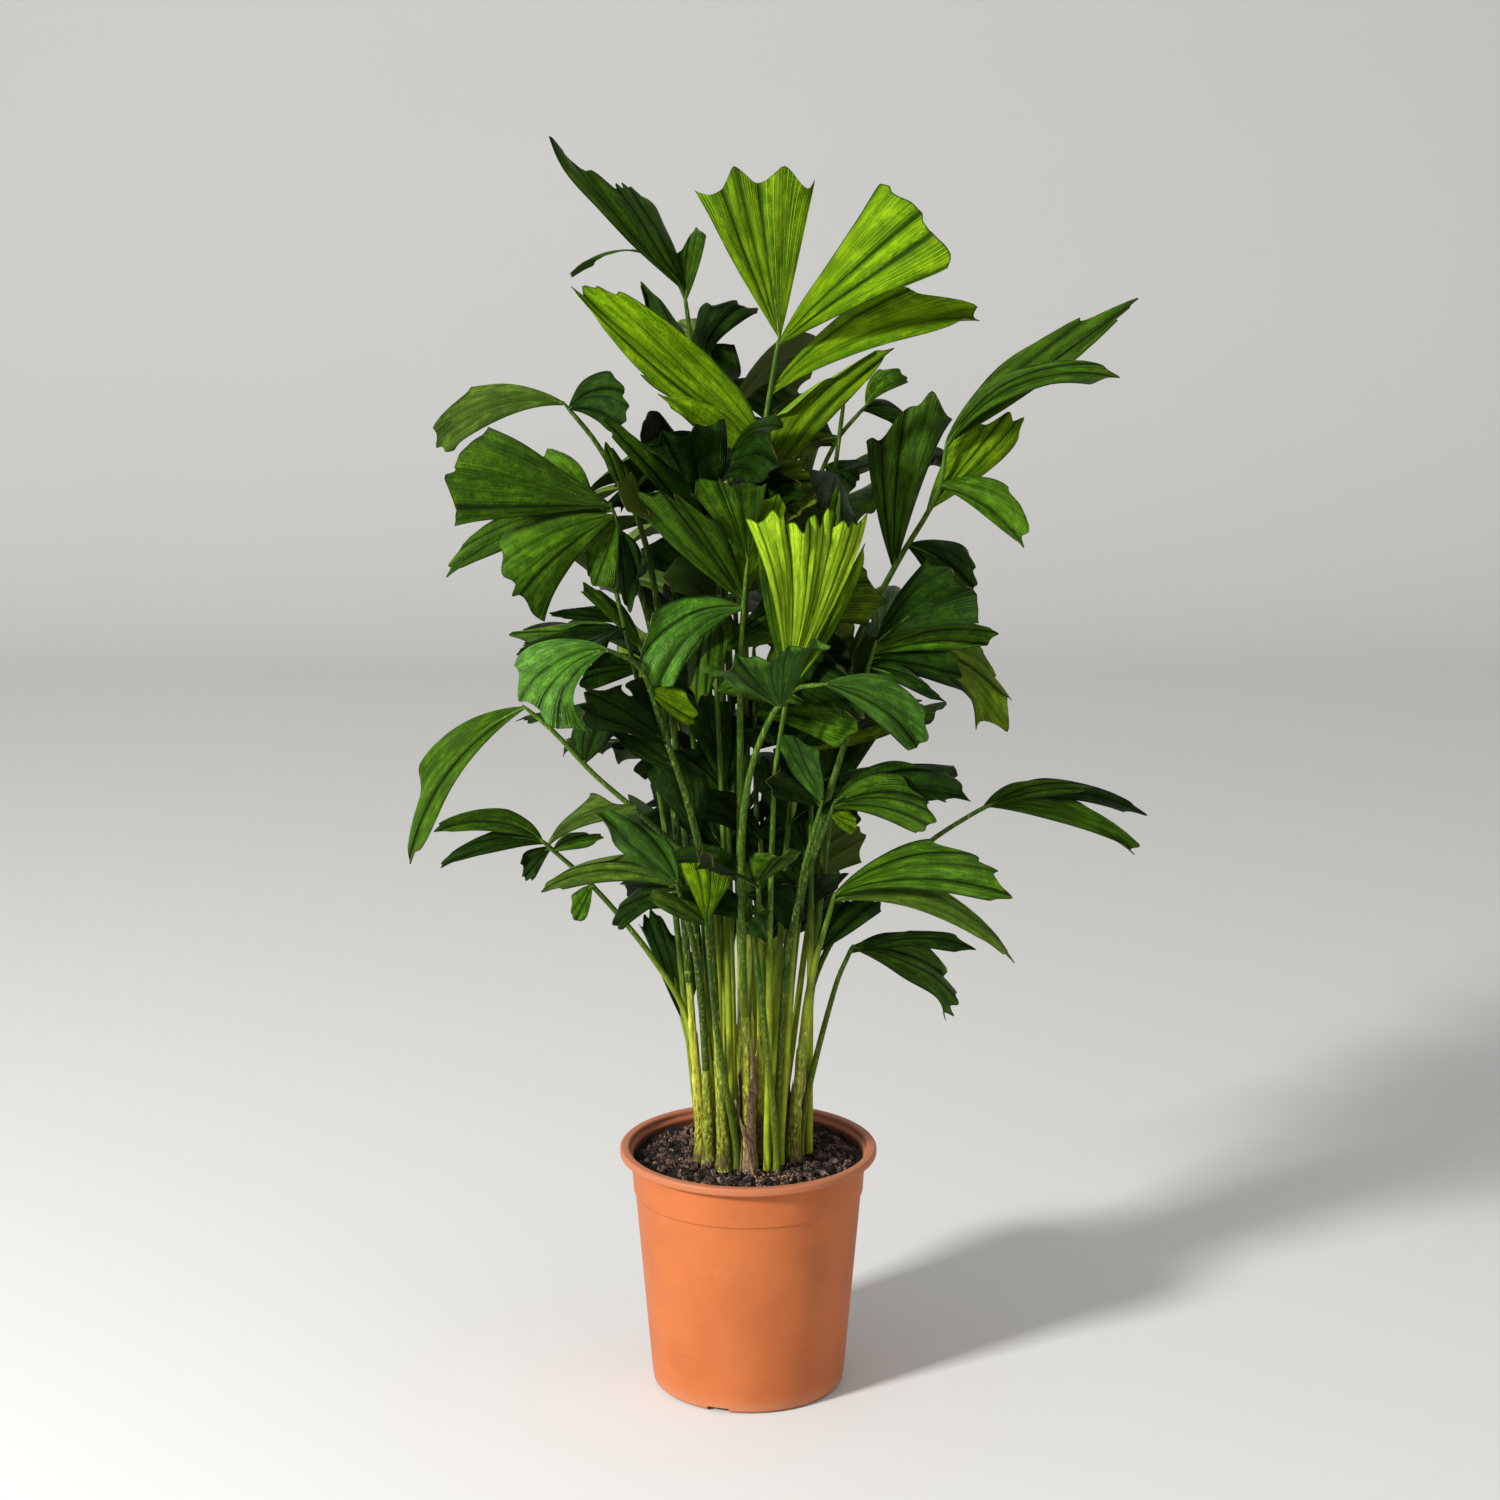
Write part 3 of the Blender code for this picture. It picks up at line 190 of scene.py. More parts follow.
KINDS = {
    "paddle": Kind(bulge=1.2, peak=0.3, cut=0.10, pinch=0.0, aim=0.0, columns=4),
    "fan": Kind(bulge=1.15, peak=0.5, cut=0.24, pinch=0.0, aim=0.0, columns=4),
    "wedge": Kind(bulge=1.7, peak=0.5, cut=0.40, pinch=0.15, aim=0.5, columns=3),
    "strap": Kind(bulge=2.6, peak=0.34, cut=0.50, pinch=0.45, aim=0.34, columns=2),
    "tail": Kind(bulge=1.9, peak=1.0, cut=0.55, pinch=0.2, aim=1.0, columns=3),
    "broad": Kind(bulge=1.2, peak=0.3, cut=0.28, pinch=0.05, aim=0.0, columns=2),
    "narrow": Kind(bulge=2.2, peak=0.3, cut=0.45, pinch=0.3, aim=0.0, columns=2),
}


class Leaf(NamedTuple):
    """A leaflet in the plan: cm below the stalk's head, its tip across and up, width and bend.

    `turn` rolls it about its rib, in degrees, and `back` moves its tip away from the viewer, in cm.
    """

    below: float
    across: float
    up: float
    wide: float
    droop: float
    kind: str
    tone: str
    turn: float = 0.0
    back: float = 0.0


class Frond(NamedTuple):
    """A frond in the plan: its head, the places its stalk passes, and the cane's height under it."""

    head: tuple
    via: tuple
    cane: float
    leaves: tuple


FRONT = {
    "top": Frond((2.8, 98.8, 0), ((-0.2, 76.0), (1.2, 88.8)), 20, (
        Leaf(0.3, 0.4, 113.6, 10.6, 8, "paddle", "bright"),
        Leaf(1.0, 16.0, 109.4, 9.4, 12, "paddle", "bright"),
        Leaf(5.5, 21.0, 100.1, 5.5, 60, "wedge", "bright"),
        Leaf(9.8, -15.6, 103.5, 6.6, 10, "strap", "bright"),
        Leaf(11.5, -7.9, 93.9, 4.2, 10, "strap", "bright"),
        Leaf(15.5, 12.8, 97.1, 5.0, 45, "strap", "bright"),
    )),
    "back_left_high": Frond((-5.7, 102.9, 8), ((-3.0, 84.0), (-4.3, 92.9)), 18, (
        Leaf(0.3, -18.6, 116.4, 6.2, 12, "tail", "mid"),
        Leaf(0.8, -15.9, 103.7, 2.0, 120, "strap", "mid", 60),
        Leaf(1.2, -4.2, 108.2, 3.0, 6, "wedge", "mid"),
        Leaf(8.0, 0.8, 101.6, 4.5, 50, "wedge", "dark"),
        Leaf(8.6, -9.6, 103.7, 2.6, 8, "strap", "dark"),
        Leaf(12.0, -9.6, 96.2, 3.8, 12, "wedge", "bright"),
    )),
    "left_arch": Frond((-16.5, 92.8, -2), ((-8.8, 78.5), (-13.4, 88.9)), 16, (
        Leaf(0.3, -27.9, 87.6, 4.2, 80, "wedge", "pale"),
        Leaf(0.9, -10.8, 90.7, 5.8, 70, "wedge", "dark"),
        Leaf(10.5, -12.9, 89.4, 2.2, 8, "strap", "mid"),
    )),
    "left_fans": Frond((-12.3, 83.7, -10), ((-8.2, 69.0),), 14, (
        Leaf(0.3, -26.2, 86.7, 9.0, 15, "fan", "mid"),
        Leaf(0.7, -27.6, 76.7, 3.6, 65, "strap", "mid"),
        Leaf(1.2, -21.8, 76.2, 8.0, 30, "fan", "mid"),
        Leaf(1.8, -13.2, 75.6, 3.8, 20, "wedge", "mid"),
        Leaf(2.6, -10.6, 73.6, 2.8, 20, "strap", "dark"),
    )),
    "left_mid_back": Frond((-11.1, 73.1, 5), ((-6.0, 62.0),), 0, (
        Leaf(0.3, -18.1, 73.6, 1.9, 15, "strap", "dark"),
        Leaf(1.2, -21.2, 69.9, 2.6, 25, "strap", "dark"),
        Leaf(2.2, -21.5, 71.4, 2.3, 35, "strap", "mid"),
        Leaf(3.0, -15.1, 76.4, 2.2, 10, "wedge", "mid"),
        Leaf(5.0, -15.5, 67.0, 3.4, 30, "wedge", "dark"),
    )),
    "left_big_droop": Frond((-13.0, 70.5, -17), ((-4.2, 51.0), (-7.5, 61.9), (-9.6, 68.4)), 15, (
        Leaf(0.3, -19.8, 64.6, 9.4, 70, "fan", "glossy"),
        Leaf(6.0, -4.6, 63.5, 3.0, 12, "wedge", "bright"),
        Leaf(11.5, -16.1, 65.4, 5.4, 20, "wedge", "dark"),
        Leaf(14.0, -12.6, 63.0, 2.6, 10, "strap", "dark"),
        Leaf(20.5, -8.9, 61.0, 5.6, 10, "wedge", "dark"),
    )),
    "left_low_droop": Frond((-20.5, 65.2, -9), ((-4.2, 49.6), (-11.7, 56.2), (-16.8, 61.9)), 0, (
        Leaf(0.3, -30.9, 49.9, 4.8, 55, "wedge", "mid"),
        Leaf(7.7, -14.8, 64.2, 4.2, 5, "wedge", "dark"),
    )),
    "left_low_spray": Frond((-19.1, 52.7, -8), ((-5.4, 34.6), (-8.4, 40.7), (-14.2, 48.1)), 0, (
        Leaf(0.3, -28.8, 53.3, 2.8, 75, "strap", "mid"),
        Leaf(0.7, -28.5, 50.0, 2.0, 60, "strap", "dark"),
        Leaf(1.1, -9.6, 55.2, 3.2, 60, "wedge", "pale"),
        Leaf(1.5, -20.5, 48.6, 2.4, 50, "wedge", "dark"),
        Leaf(1.9, -13.1, 52.9, 2.2, 15, "strap", "mid"),
        Leaf(7.3, -15.8, 44.8, 2.6, 12, "wedge", "mid"),
    )),
    "left_low_leaf": Frond((-6.6, 48.8, -14), ((-4.6, 40.0),), 12, (
        Leaf(0.3, -13.8, 55.6, 4.2, 15, "strap", "glossy"),
        Leaf(0.8, -19.1, 47.6, 3.2, 60, "strap", "pale"),
        Leaf(1.4, -12.6, 44.0, 2.8, 40, "wedge", "dark"),
    )),
    "left_hanging": Frond((-6.2, 35.8, 3), ((-4.6, 29.0),), 0, (
        Leaf(0.3, -7.2, 46.2, 5.0, 6, "wedge", "dark"),
    )),
    "front_low": Frond((-3.9, 45.2, -14), ((-3.0, 35.0),), 0, (
        Leaf(0.3, -4.0, 50.2, 4.8, 8, "fan", "bright"),
        Leaf(0.8, -9.2, 47.7, 2.7, 20, "strap", "pale"),
    )),
    "front_flat": Frond((0.9, 48.8, -12), ((1.2, 38.0),), 16, (
        Leaf(0.3, 4.5, 51.6, 4.8, 10, "wedge", "mid", 40),
        Leaf(0.8, -4.6, 50.1, 4.4, 10, "wedge", "dark", 45),
    )),
    "right_high": Frond((17.7, 89.4, 0), ((9.3, 69.4), (13.0, 77.6), (16.6, 83.6)), 18, (
        Leaf(0.3, 34.8, 101.9, 4.4, 25, "strap", "mid"),
        Leaf(0.8, 33.1, 94.8, 3.2, 75, "strap", "mid"),
        Leaf(4.2, 25.1, 79.4, 4.4, 62, "wedge", "mid", 30),
        Leaf(6.6, 24.5, 91.6, 5.0, 10, "wedge", "bright"),
        Leaf(10.3, 19.9, 74.2, 6.2, 40, "wedge", "dark"),
        Leaf(12.8, 14.6, 92.9, 7.4, 6, "fan", "mid"),
    )),
    "back_right_high": Frond((10.7, 92.7, 10), ((5.4, 84.5),), 0, (
        Leaf(0.3, 14.2, 95.0, 2.6, 60, "wedge", "mid"),
        Leaf(0.9, 14.4, 90.1, 3.2, 50, "wedge", "dark"),
        Leaf(5.0, 3.2, 91.6, 3.4, 10, "strap", "dark"),
        Leaf(7.0, 8.6, 84.0, 5.5, 20, "wedge", "dark"),
    )),
    "right_mid": Frond((11.6, 71.2, -8), ((4.8, 46.9), (8.4, 60.3)), 15, (
        Leaf(0.3, 19.6, 76.3, 7.0, 20, "fan", "dark"),
        Leaf(0.8, 23.1, 62.4, 5.4, 90, "wedge", "olive"),
        Leaf(1.3, 22.6, 71.2, 4.6, 50, "strap", "mid"),
        Leaf(1.8, 19.7, 68.0, 4.2, 30, "wedge", "dark"),
        Leaf(2.6, 18.0, 65.3, 2.0, 20, "strap", "dark"),
    )),
    "centre_right": Frond((7.3, 67.2, -18), ((-0.4, 55.4), (2.2, 64.6), (4.6, 66.9)), 18, (
        Leaf(0.3, 15.6, 60.9, 5.2, 60, "wedge", "glossy"),
        Leaf(5.4, 1.6, 70.0, 10.8, 10, "fan", "glossy"),
    )),
    "centre_fan": Frond((0.0, 78.8, -13), ((-0.7, 70.6), (-0.4, 74.6)), 20, (
        Leaf(0.3, -2.0, 85.9, 6.4, 6, "fan", "mid"),
        Leaf(3.6, 2.8, 84.6, 4.2, 6, "wedge", "bright"),
        Leaf(4.2, -9.7, 84.9, 5.2, 8, "wedge", "mid"),
        Leaf(4.9, -8.2, 66.4, 5.6, 95, "wedge", "glossy"),
    )),
    "bright_fan": Frond((3.8, 67.8, -12), ((2.4, 58.0),), 0, (
        Leaf(0.3, 6.0, 83.0, 9.8, 6, "paddle", "bright", 0, -3),
        Leaf(0.9, 1.2, 82.4, 3.4, 6, "wedge", "mid", 0, 5),
        Leaf(1.4, 11.0, 80.0, 2.8, 8, "strap", "bright", 0, 3),
        Leaf(1.9, 8.3, 86.2, 3.0, 6, "strap", "bright", 0, 6),
    )),
    "centre_left_dark": Frond((-4.3, 82.2, -3), ((-2.6, 72.0),), 15, (
        Leaf(0.3, -6.3, 90.6, 9.0, 6, "fan", "dark"),
        Leaf(1.2, -12.5, 91.3, 3.2, 8, "strap", "mid"),
        Leaf(6.0, -9.5, 79.5, 4.6, 30, "wedge", "dark"),
    )),
    "right_low_mid": Frond((8.0, 56.4, -13), ((4.0, 44.0),), 0, (
        Leaf(0.3, 21.0, 56.4, 4.4, 75, "strap", "dark"),
        Leaf(0.9, 17.1, 53.5, 5.0, 65, "wedge", "mid"),
        Leaf(1.5, 9.9, 53.4, 2.8, 10, "wedge", "bright"),
    )),
    "right_far": Frond((22.6, 56.2, 0), ((6.6, 41.1), (12.6, 48.5), (17.6, 53.2)), 0, (
        Leaf(0.3, 37.0, 54.8, 2.4, 45, "strap", "dark"),
        Leaf(0.8, 36.2, 51.2, 2.7, 50, "strap", "mid"),
        Leaf(1.3, 31.7, 57.3, 2.2, 40, "strap", "mid"),
    )),
    "right_low": Frond((8.0, 47.6, -9), ((5.6, 38.0),), 12, (
        Leaf(0.3, 24.6, 47.2, 5.4, 55, "wedge", "mid"),
        Leaf(0.9, 24.7, 40.6, 3.4, 80, "strap", "pale"),
        Leaf(6.5, 12.0, 47.0, 3.8, 10, "wedge", "dark"),
    )),
    "right_lowest": Frond((9.7, 42.6, -6), ((5.6, 28.5), (8.2, 39.0)), 0, (
        Leaf(0.3, 19.8, 35.9, 6.0, 45, "wedge", "mid"),
        Leaf(0.9, 21.4, 42.3, 2.2, 35, "strap", "dark"),
    )),
    "centre_dark": Frond((-1.9, 57.5, -5), ((-1.6, 46.0),), 0, (
        Leaf(0.3, -2.6, 66.0, 8.0, 8, "fan", "dark"),
        Leaf(0.9, -8.4, 60.8, 3.8, 20, "wedge", "dark"),
        Leaf(7.0, -7.6, 57.4, 5.0, 12, "wedge", "dark"),
    )),
    "centre_right_dark": Frond((5.5, 51.5, -1), ((3.4, 42.0),), 0, (
        Leaf(0.3, 7.2, 63.2, 9.0, 8, "fan", "dark"),
        Leaf(0.9, 1.0, 60.4, 5.0, 10, "wedge", "dark"),
        Leaf(1.5, -2.2, 52.0, 4.6, 30, "wedge", "dark"),
    )),
    "centre_small": Frond((6.8, 56.3, -12), ((4.6, 47.0),), 0, (
        Leaf(0.3, 2.7, 62.5, 3.8, 20, "wedge", "glossy"),
        Leaf(0.7, 1.6, 58.2, 4.8, 25, "wedge", "dark"),
        Leaf(1.1, 10.2, 54.2, 2.8, 40, "wedge", "dark"),
    )),
}

# Fronds made by rule: a ring from the right side round the back to the left, and the crown's middle


class Ring(NamedTuple):
    """Fronds set round the clump, from a first heading through a sweep, between two heights."""

    count: int
    first: float
    sweep: float
    lowest: float
    highest: float
    reach: float
    belly: float
    leaves: int
    upright: float
    lengths: tuple = (11.0, 16.0)
    spacing: float = 3.4
    seed: int = 41
    # Tones dealt to the leaflets; the dark tone is a deep green that also paints the shade at the back of the crown
    tones: tuple = ("mid", "dark", "dark", "mid", "olive")


RINGS = {
    "back": Ring(count=12, first=-28.0, sweep=236.0, lowest=50.0, highest=97.0,
                 reach=9.0, belly=7.0, leaves=5, upright=1.0),
    "core": Ring(count=8, first=20.0, sweep=1100.0, lowest=46.0, highest=91.0,
                 reach=3.0, belly=2.5, leaves=7, upright=0.35),
}
# The inner rings take only the dark tone, whose colour paints the shade in the crown's middle
INNER_RINGS = {
    "veil": Ring(count=24, first=188.0, sweep=884.0, lowest=44.0, highest=72.0, reach=5.0, belly=2.0,
                 leaves=9, upright=0.45, lengths=(8.0, 14.0), spacing=2.4, seed=53, tones=("dark",)),
    "inner": Ring(count=30, first=10.0, sweep=2300.0, lowest=40.0, highest=90.0, reach=3.5, belly=3.5,
                  leaves=10, upright=0.35, lengths=(7.0, 13.0), spacing=2.6, seed=77, tones=("dark",)),
}
RING_KINDS = ("broad", "narrow", "broad", "strap")
RING_WIDTHS = {"broad": 0.58, "narrow": 0.44, "strap": 0.30}
RING_FIRST = 0.3
RING_OUTWARD = 0.7
FIRST_SWING = 16.0
NEXT_SWING = 22.0
TRY_SWING = 9.0
RING_TRIES = 12
RING_RISE = (-25, 45)
RING_DROOP = (20, 65)
FEWEST_LEAVES = 3
CORE_CENTRE = (0.6, 69.0)
CORE_HALF = (11.0, 27.0)
HIDDEN_SHARE = 0.8
HIDING_SHARE = 0.3


# Fine leaflets
SHARP_LEAF = 45
STRIP_WIDTHS = {
    "paddle": 23 * MM, "fan": 19 * MM, "wedge": 14 * MM, "strap": 13 * MM, "tail": 15 * MM,
    "broad": 18 * MM, "narrow": 15 * MM,
}
SOFT_PLEAT = 0.12
DEEP_PLEAT = 0.12
PLEATED = {("bright_fan", 0): 7.5 * MM, ("centre_right", 1): 11 * MM, ("centre_fan", 0): 10 * MM}
FEWEST_STRIPS = 3
PLEAT_COLUMNS = 8
LEAF_ROWS = 18
ROW_CROWDING = 1.25
LEAF_FILM = 0.7 * MM
PLEAT_SWELL = (0.5, 1.3)
SOFT_FOLD = 0.2
FOLD_SHARE = (0.1, 2.3)
RIB_UNEVEN = 0.36
TOOTH_UNEVEN = 0.06
END_FLAT = 0.16
END_FALL = {
    "paddle": 1.6, "fan": 1.5, "wedge": 1.6, "strap": 1.9, "tail": 0.65, "broad": 1.6, "narrow": 1.7,
}
BITE_COLUMNS = {
    "paddle": (8, 18), "fan": (7, 16), "wedge": (5, 11), "strap": (4, 9), "tail": (4, 7),
    "broad": (6, 12), "narrow": (5, 9),
}
SHALLOW_BITE = (0.01, 0.06)
DEEP_BITE = (0.03, 0.12)
DEEP_SHARE = 0.35
STEP_START = (0.3, 0.7)
STEP_HOLD = 0.55
SMALL_BITE = (2, 5)
FINE_BITE = (0.003, 0.014)
BITE_ROUND = (0.9, 1.7)
BITE_LEAN = (0.5, 1.9)
BITE_RISE = 5
SOFT_PASSES = 1
CORNER_COLUMNS = 5
CORNER_CUT = (0.01, 0.07)
RIDGE_LIFT = 0.09
LOBE_LIFT = 0.13
LOBE_START = 0.45
WAVE_RISE = (0.06, 0.36)
WAVES = (0.7, 1.7)
SWAY = 0.035
UNEVEN_RISE = 0.18
PETIOLE_STEPS = 6
PETIOLE_SHARE = 0.4
PETIOLE_SINK = 0.5 * MM
PETIOLE_RADIUS = 1.5 * MM
RIB_RADIUS = 0.4 * MM
PETIOLE_SIDES = 8
LEAF_SEED = 300
PIECE_LIMIT = 150000

# Fine stalks, canes and dry sheaths
SHARP_CANE = 60
STEM_SIDES = 12
STALK_SMOOTH = 6
STALK_SEED = 5
CANE_SMOOTH = 24
CANE_SIDES = 28
CANE_RING = 2.5 * MM
CANE_TAPER = 12 * MM
CANE_SEED = 900
FIRST_MOUTH = (28 * MM, 60 * MM)
NEXT_MOUTH = (45 * MM, 80 * MM)
SHEATH_STEP = 0.8 * MM
SHEATH_EDGE = 1.6 * MM
SHEATH_TILT = 6 * MM
MOUTH_LIP = 0.35 * MM
FLARE_REACH = 9 * MM
BASE_SWELL = 2.6 * MM
BASE_REACH = 34 * MM
KNOT_LENGTH = 16 * MM
KNOT_RISE = 0.10
RIDGES = 7
RIDGE_RISE = 0.025
DRY_SEED = 12
DRY_SHARE = 0.6
DRY_START = (0.0, 35 * MM)
DRY_HEIGHT = (28 * MM, 60 * MM)
DRY_SPREAD = (2.2, 4.4)
DRY_TEAR = (0.0, 0.55)
DRY_ROWS = 12
DRY_COLUMNS = 16
DRY_ROOM = 0.9 * MM
DRY_FLARE = 3.5 * MM
DRY_FILM = 0.5 * MM
DEAD_SPOT = (-0.1 * CM, -5.6 * CM)
DEAD_HEIGHT = 150 * MM
DEAD_SPREAD = 6.2
DEAD_STALK = ((0.6 * CM, -6.0 * CM, 21.9 * CM), (-1.2 * CM, -5.3 * CM, 29.4 * CM))
DEAD_RADIUS = 1.2 * MM

# Fine pot and soil
FINE_STEPS = 160
CORNER_STEPS = 4
CORNER_REACH = 1.3 * MM
DRAIN_SIDES = 32
SOIL_RINGS = 46
SOIL_SPOKES = 120
SOIL_BASE = 0.195
SOIL_SINK = 0.8 * MM
LUMP_RISE = 5.0 * MM
GROUND_STEPS = 60
LUMP_KINDS = 7
LUMP_UNEVEN = (0.55, 1.25)
CRUMB_SIZE = (3.5 * MM, 11.0 * MM)
CHIP_SIZE = (6 * MM, 12 * MM)
GRIT_SIZE = (1.8 * MM, 4.4 * MM)
CRUMB_DENSITY = 36000
CHIP_DENSITY = 16000
GRIT_DENSITY = 130000
GRIT_CENTRE = (2.6 * CM, -6.4 * CM)
GRIT_REACH = 3.6 * CM
GRIT_ELSEWHERE = 0.04
SOIL_SEED = 7

# Colours
DRY_TIP = (0.075, 0.045, 0.016)
LEAF_GLOSS = (0.72, 1.0, 0.45)
STALK_LOW = (0.310, 0.380, 0.020)
STALK_GREEN = (0.040, 0.100, 0.006)
STALK_DARK = (0.009, 0.032, 0.003)
STALK_BROWN = (0.026, 0.034, 0.008)
STALK_PALE = (0.240, 0.300, 0.040)
STALK_TURN = (0.34, 0.52)
CANE_YELLOW = (0.400, 0.390, 0.024)
CANE_GREEN = (0.085, 0.165, 0.008)
CANE_STREAK = (0.640, 0.630, 0.090)
CANE_DARK = (0.022, 0.044, 0.004)
CANE_SPECK = (0.050, 0.034, 0.008)
CANE_FOOT_BROWN = (0.055, 0.032, 0.010)
DRY_BROWN = (0.130, 0.070, 0.030)
DRY_DARK = (0.050, 0.028, 0.014)
DRY_TAN = (0.320, 0.230, 0.130)
# Near-black soil: the soil's own dark colour, taken so dark that on the soil bed it also paints the shade in the gaps
# between the crumbs
SOIL_BLACK = (0.005, 0.0035, 0.0025)
SOIL_BROWN = (0.085, 0.044, 0.030)
# Pale flecks painted as highlights on the crumbs and chips
CRUMB_HIGHLIGHT = (0.660, 0.500, 0.420)
CHIP_BROWN = (0.200, 0.105, 0.064)
GRIT_TAN = (0.42, 0.28, 0.13)
GRIT_GOLD = (0.30, 0.17, 0.055)
POT_ORANGE = (0.450, 0.128, 0.038)
POT_DEEP = (0.400, 0.108, 0.032)
POT_SCUFF = (0.54, 0.21, 0.085)
POT_RIM = (0.37, 0.135, 0.068)
POT_DUST = (0.50, 0.30, 0.20)
# Painted shade on the pot's inner wall above the soil
POT_INNER_SHADE = (0.14, 0.038, 0.017)
PAPER = (0.60, 0.60, 0.595)

# Camera and light, as the crown was laid out for the camera
CAMERA_PLACE = (0.0016, -2.84, 1.2556)
CAMERA_PITCH = math.radians(12.8)
CAMERA_LENS = 76.8
CAMERA_SENSOR = 36.0
LIGHT_TARGET = (0.0, 0.0, 0.6)
LIGHTS = {
    "key": ((-2.9, -2.4, 2.2), 0.55, 285, (1.0, 0.99, 0.965)),
    "fill": ((2.6, -1.8, 1.2), 2.4, 11, (1.0, 0.93, 0.80)),
}
ROOM_COLOUR = (1.0, 0.99, 0.97)
ROOM_LIGHT = 0.62
STAGE_FRONT = 6.0
STAGE_BACK = 3.4
STAGE_CURVE = 1.2
STAGE_HEIGHT = 5.0
STAGE_HALF = 8.0
STAGE_STEPS = 12


class Green(NamedTuple):
    """A leaf's colours: between its ribs, in streaks, at its ribs (the painted shade in its creases, and its dark
    margin) and below, and its gloss.
    """

    face: tuple
    patch: tuple
    rib: tuple
    under: tuple
    roughness: float
    gloss: float


GREENS = {
    "bright": Green((0.130, 0.225, 0.002), (0.026, 0.082, 0.001), (0.004, 0.022, 0.001), (0.105, 0.205, 0.004),
                    0.52, 0.08),
    # A lighter copy of the bright tone for deeply pleated fans: it paints the light shining through them and offsets
    # the shade of their own pleats
    "vivid": Green((0.290, 0.420, 0.016), (0.060, 0.165, 0.003), (0.008, 0.045, 0.001), (0.180, 0.300, 0.010),
                   0.52, 0.08),
    "glossy": Green((0.052, 0.158, 0.006), (0.006, 0.036, 0.002), (0.002, 0.011, 0.001), (0.040, 0.090, 0.008),
                    0.34, 0.36),
    "mid": Green((0.046, 0.112, 0.0020), (0.007, 0.027, 0.0010), (0.002, 0.007, 0.001), (0.034, 0.076, 0.004),
                 0.44, 0.14),
    "olive": Green((0.095, 0.150, 0.004), (0.018, 0.043, 0.002), (0.005, 0.015, 0.001), (0.058, 0.090, 0.006),
                   0.48, 0.14),
    "pale": Green((0.064, 0.116, 0.008), (0.013, 0.035, 0.003), (0.004, 0.013, 0.002), (0.055, 0.095, 0.012),
                  0.46, 0.14),
    # The dark tone: a deep green, darker still so that it also paints the shade inside the crown
    "dark": Green((0.010, 0.034, 0.0010), (0.002, 0.008, 0.0006), (0.001, 0.004, 0.0006), (0.008, 0.022, 0.002),
                  0.42, 0.10),
}


def new_object(name, mesh, finishes):
    """Put a mesh in the scene as a named piece."""
    for finish in finishes:
        mesh.materials.append(finish)
    piece = bpy.data.objects.new(name, mesh)
    bpy.context.scene.collection.objects.link(piece)
    return piece


def finish_round(piece, sharp_degrees):
    """Shade a piece smooth, but for its sharp edges."""
    piece.data.shade_smooth()
    piece.data.set_sharp_from_angle(angle=math.radians(sharp_degrees))


def apply_modifiers(piece):
    """Keep a piece's evaluated shape and drop its modifiers."""
    evaluated = piece.evaluated_get(bpy.context.evaluated_depsgraph_get())
    shaped = bpy.data.meshes.new_from_object(evaluated)
    old = piece.data
    piece.modifiers.clear()
    piece.data = shaped
    bpy.data.meshes.remove(old)


# Stems

def seen(across, up, back):
    """The place that lies (across, up) centimetres as seen from the front, and this far back."""
    upright = Vector((across * CM, 0.0, up * CM))
    return upright + (upright - EYE) * (back * CM / -EYE.y)


def seats():
    """Places on the soil where a stem can stand, in a spiral that fills the clump evenly."""
    golden = math.pi * (3 - math.sqrt(5))
    places = []
    for index in range(SEATS):
        reach = math.sqrt((index + 0.5) / SEATS)
        x = CLUMP_CENTRE[0] + CLUMP_ACROSS * reach * math.cos(index * golden)
        y = CLUMP_CENTRE[1] + CLUMP_BACK * reach * math.sin(index * golden)
        places.append(Vector((x, y, SOIL_TOP + GAP)))
    return places


def smooth_line(knots, resolution=16):
    """Close points on a smooth curve through the knots."""
    slopes = []
    for index in range(len(knots)):
        before = knots[max(index - 1, 0)]
        after = knots[min(index + 1, len(knots) - 1)]
        slopes.append((after - before).normalized())
    line = []
    for index in range(len(knots) - 1):
        start, end = knots[index], knots[index + 1]
        pull = (end - start).length / 3
        span = interpolate_bezier(
            start, start + slopes[index] * pull, end - slopes[index + 1] * pull, end, resolution
        )
        line.extend(span if index == 0 else span[1:])
    return line


def point_at(line, distance):
    """The point this far along a line, and the line's direction there."""
    for start, end in zip(line, line[1:]):
        step = (end - start).length
        if distance <= step:
            return start.lerp(end, distance / step), (end - start).normalized()
        distance -= step
    return line[-1].copy(), (line[-1] - line[-2]).normalized()


def line_length(line):
    """The length of a line."""
    return sum((end - start).length for start, end in zip(line, line[1:]))


def stem_line(seat, head, via, shift):
    """A stem's points: straight up from its seat, past the planned places, closer together at the head."""
    start = seat + UP * START_HEIGHT
    knots = [start]
    for across, up in via:
        share = (up * CM - start.z) / (head.z - start.z)
        back = start.y + (head.y - start.y) * share + shift
        knots.append(seen(across, up, back / CM))
    if not via:
        middle = start.lerp(head, BELLY_REACH)
        middle.z = start.z + (head.z - start.z) * BELLY_HEIGHT
        knots.append(middle + Vector((0.0, shift, 0.0)))
    knots.append(head)
    curve = smooth_line(knots)
    length = line_length(curve)
    points = [seat]
    for step in range(STALK_STEPS):
        share = 1 - (1 - step / (STALK_STEPS - 1)) ** STEP_CROWDING
        points.append(point_at(curve, share * length)[0])
    return points


def stem_radii(points, foot_radius):
    """Radii that taper evenly from the foot to the head."""
    length = line_length(points)
    radii = []
    done = 0.0
    for index, point in enumerate(points):
        if index:
            done += (point - points[index - 1]).length
        radii.append(foot_radius + (STALK_HEAD_RADIUS - foot_radius) * done / length)
    return radii


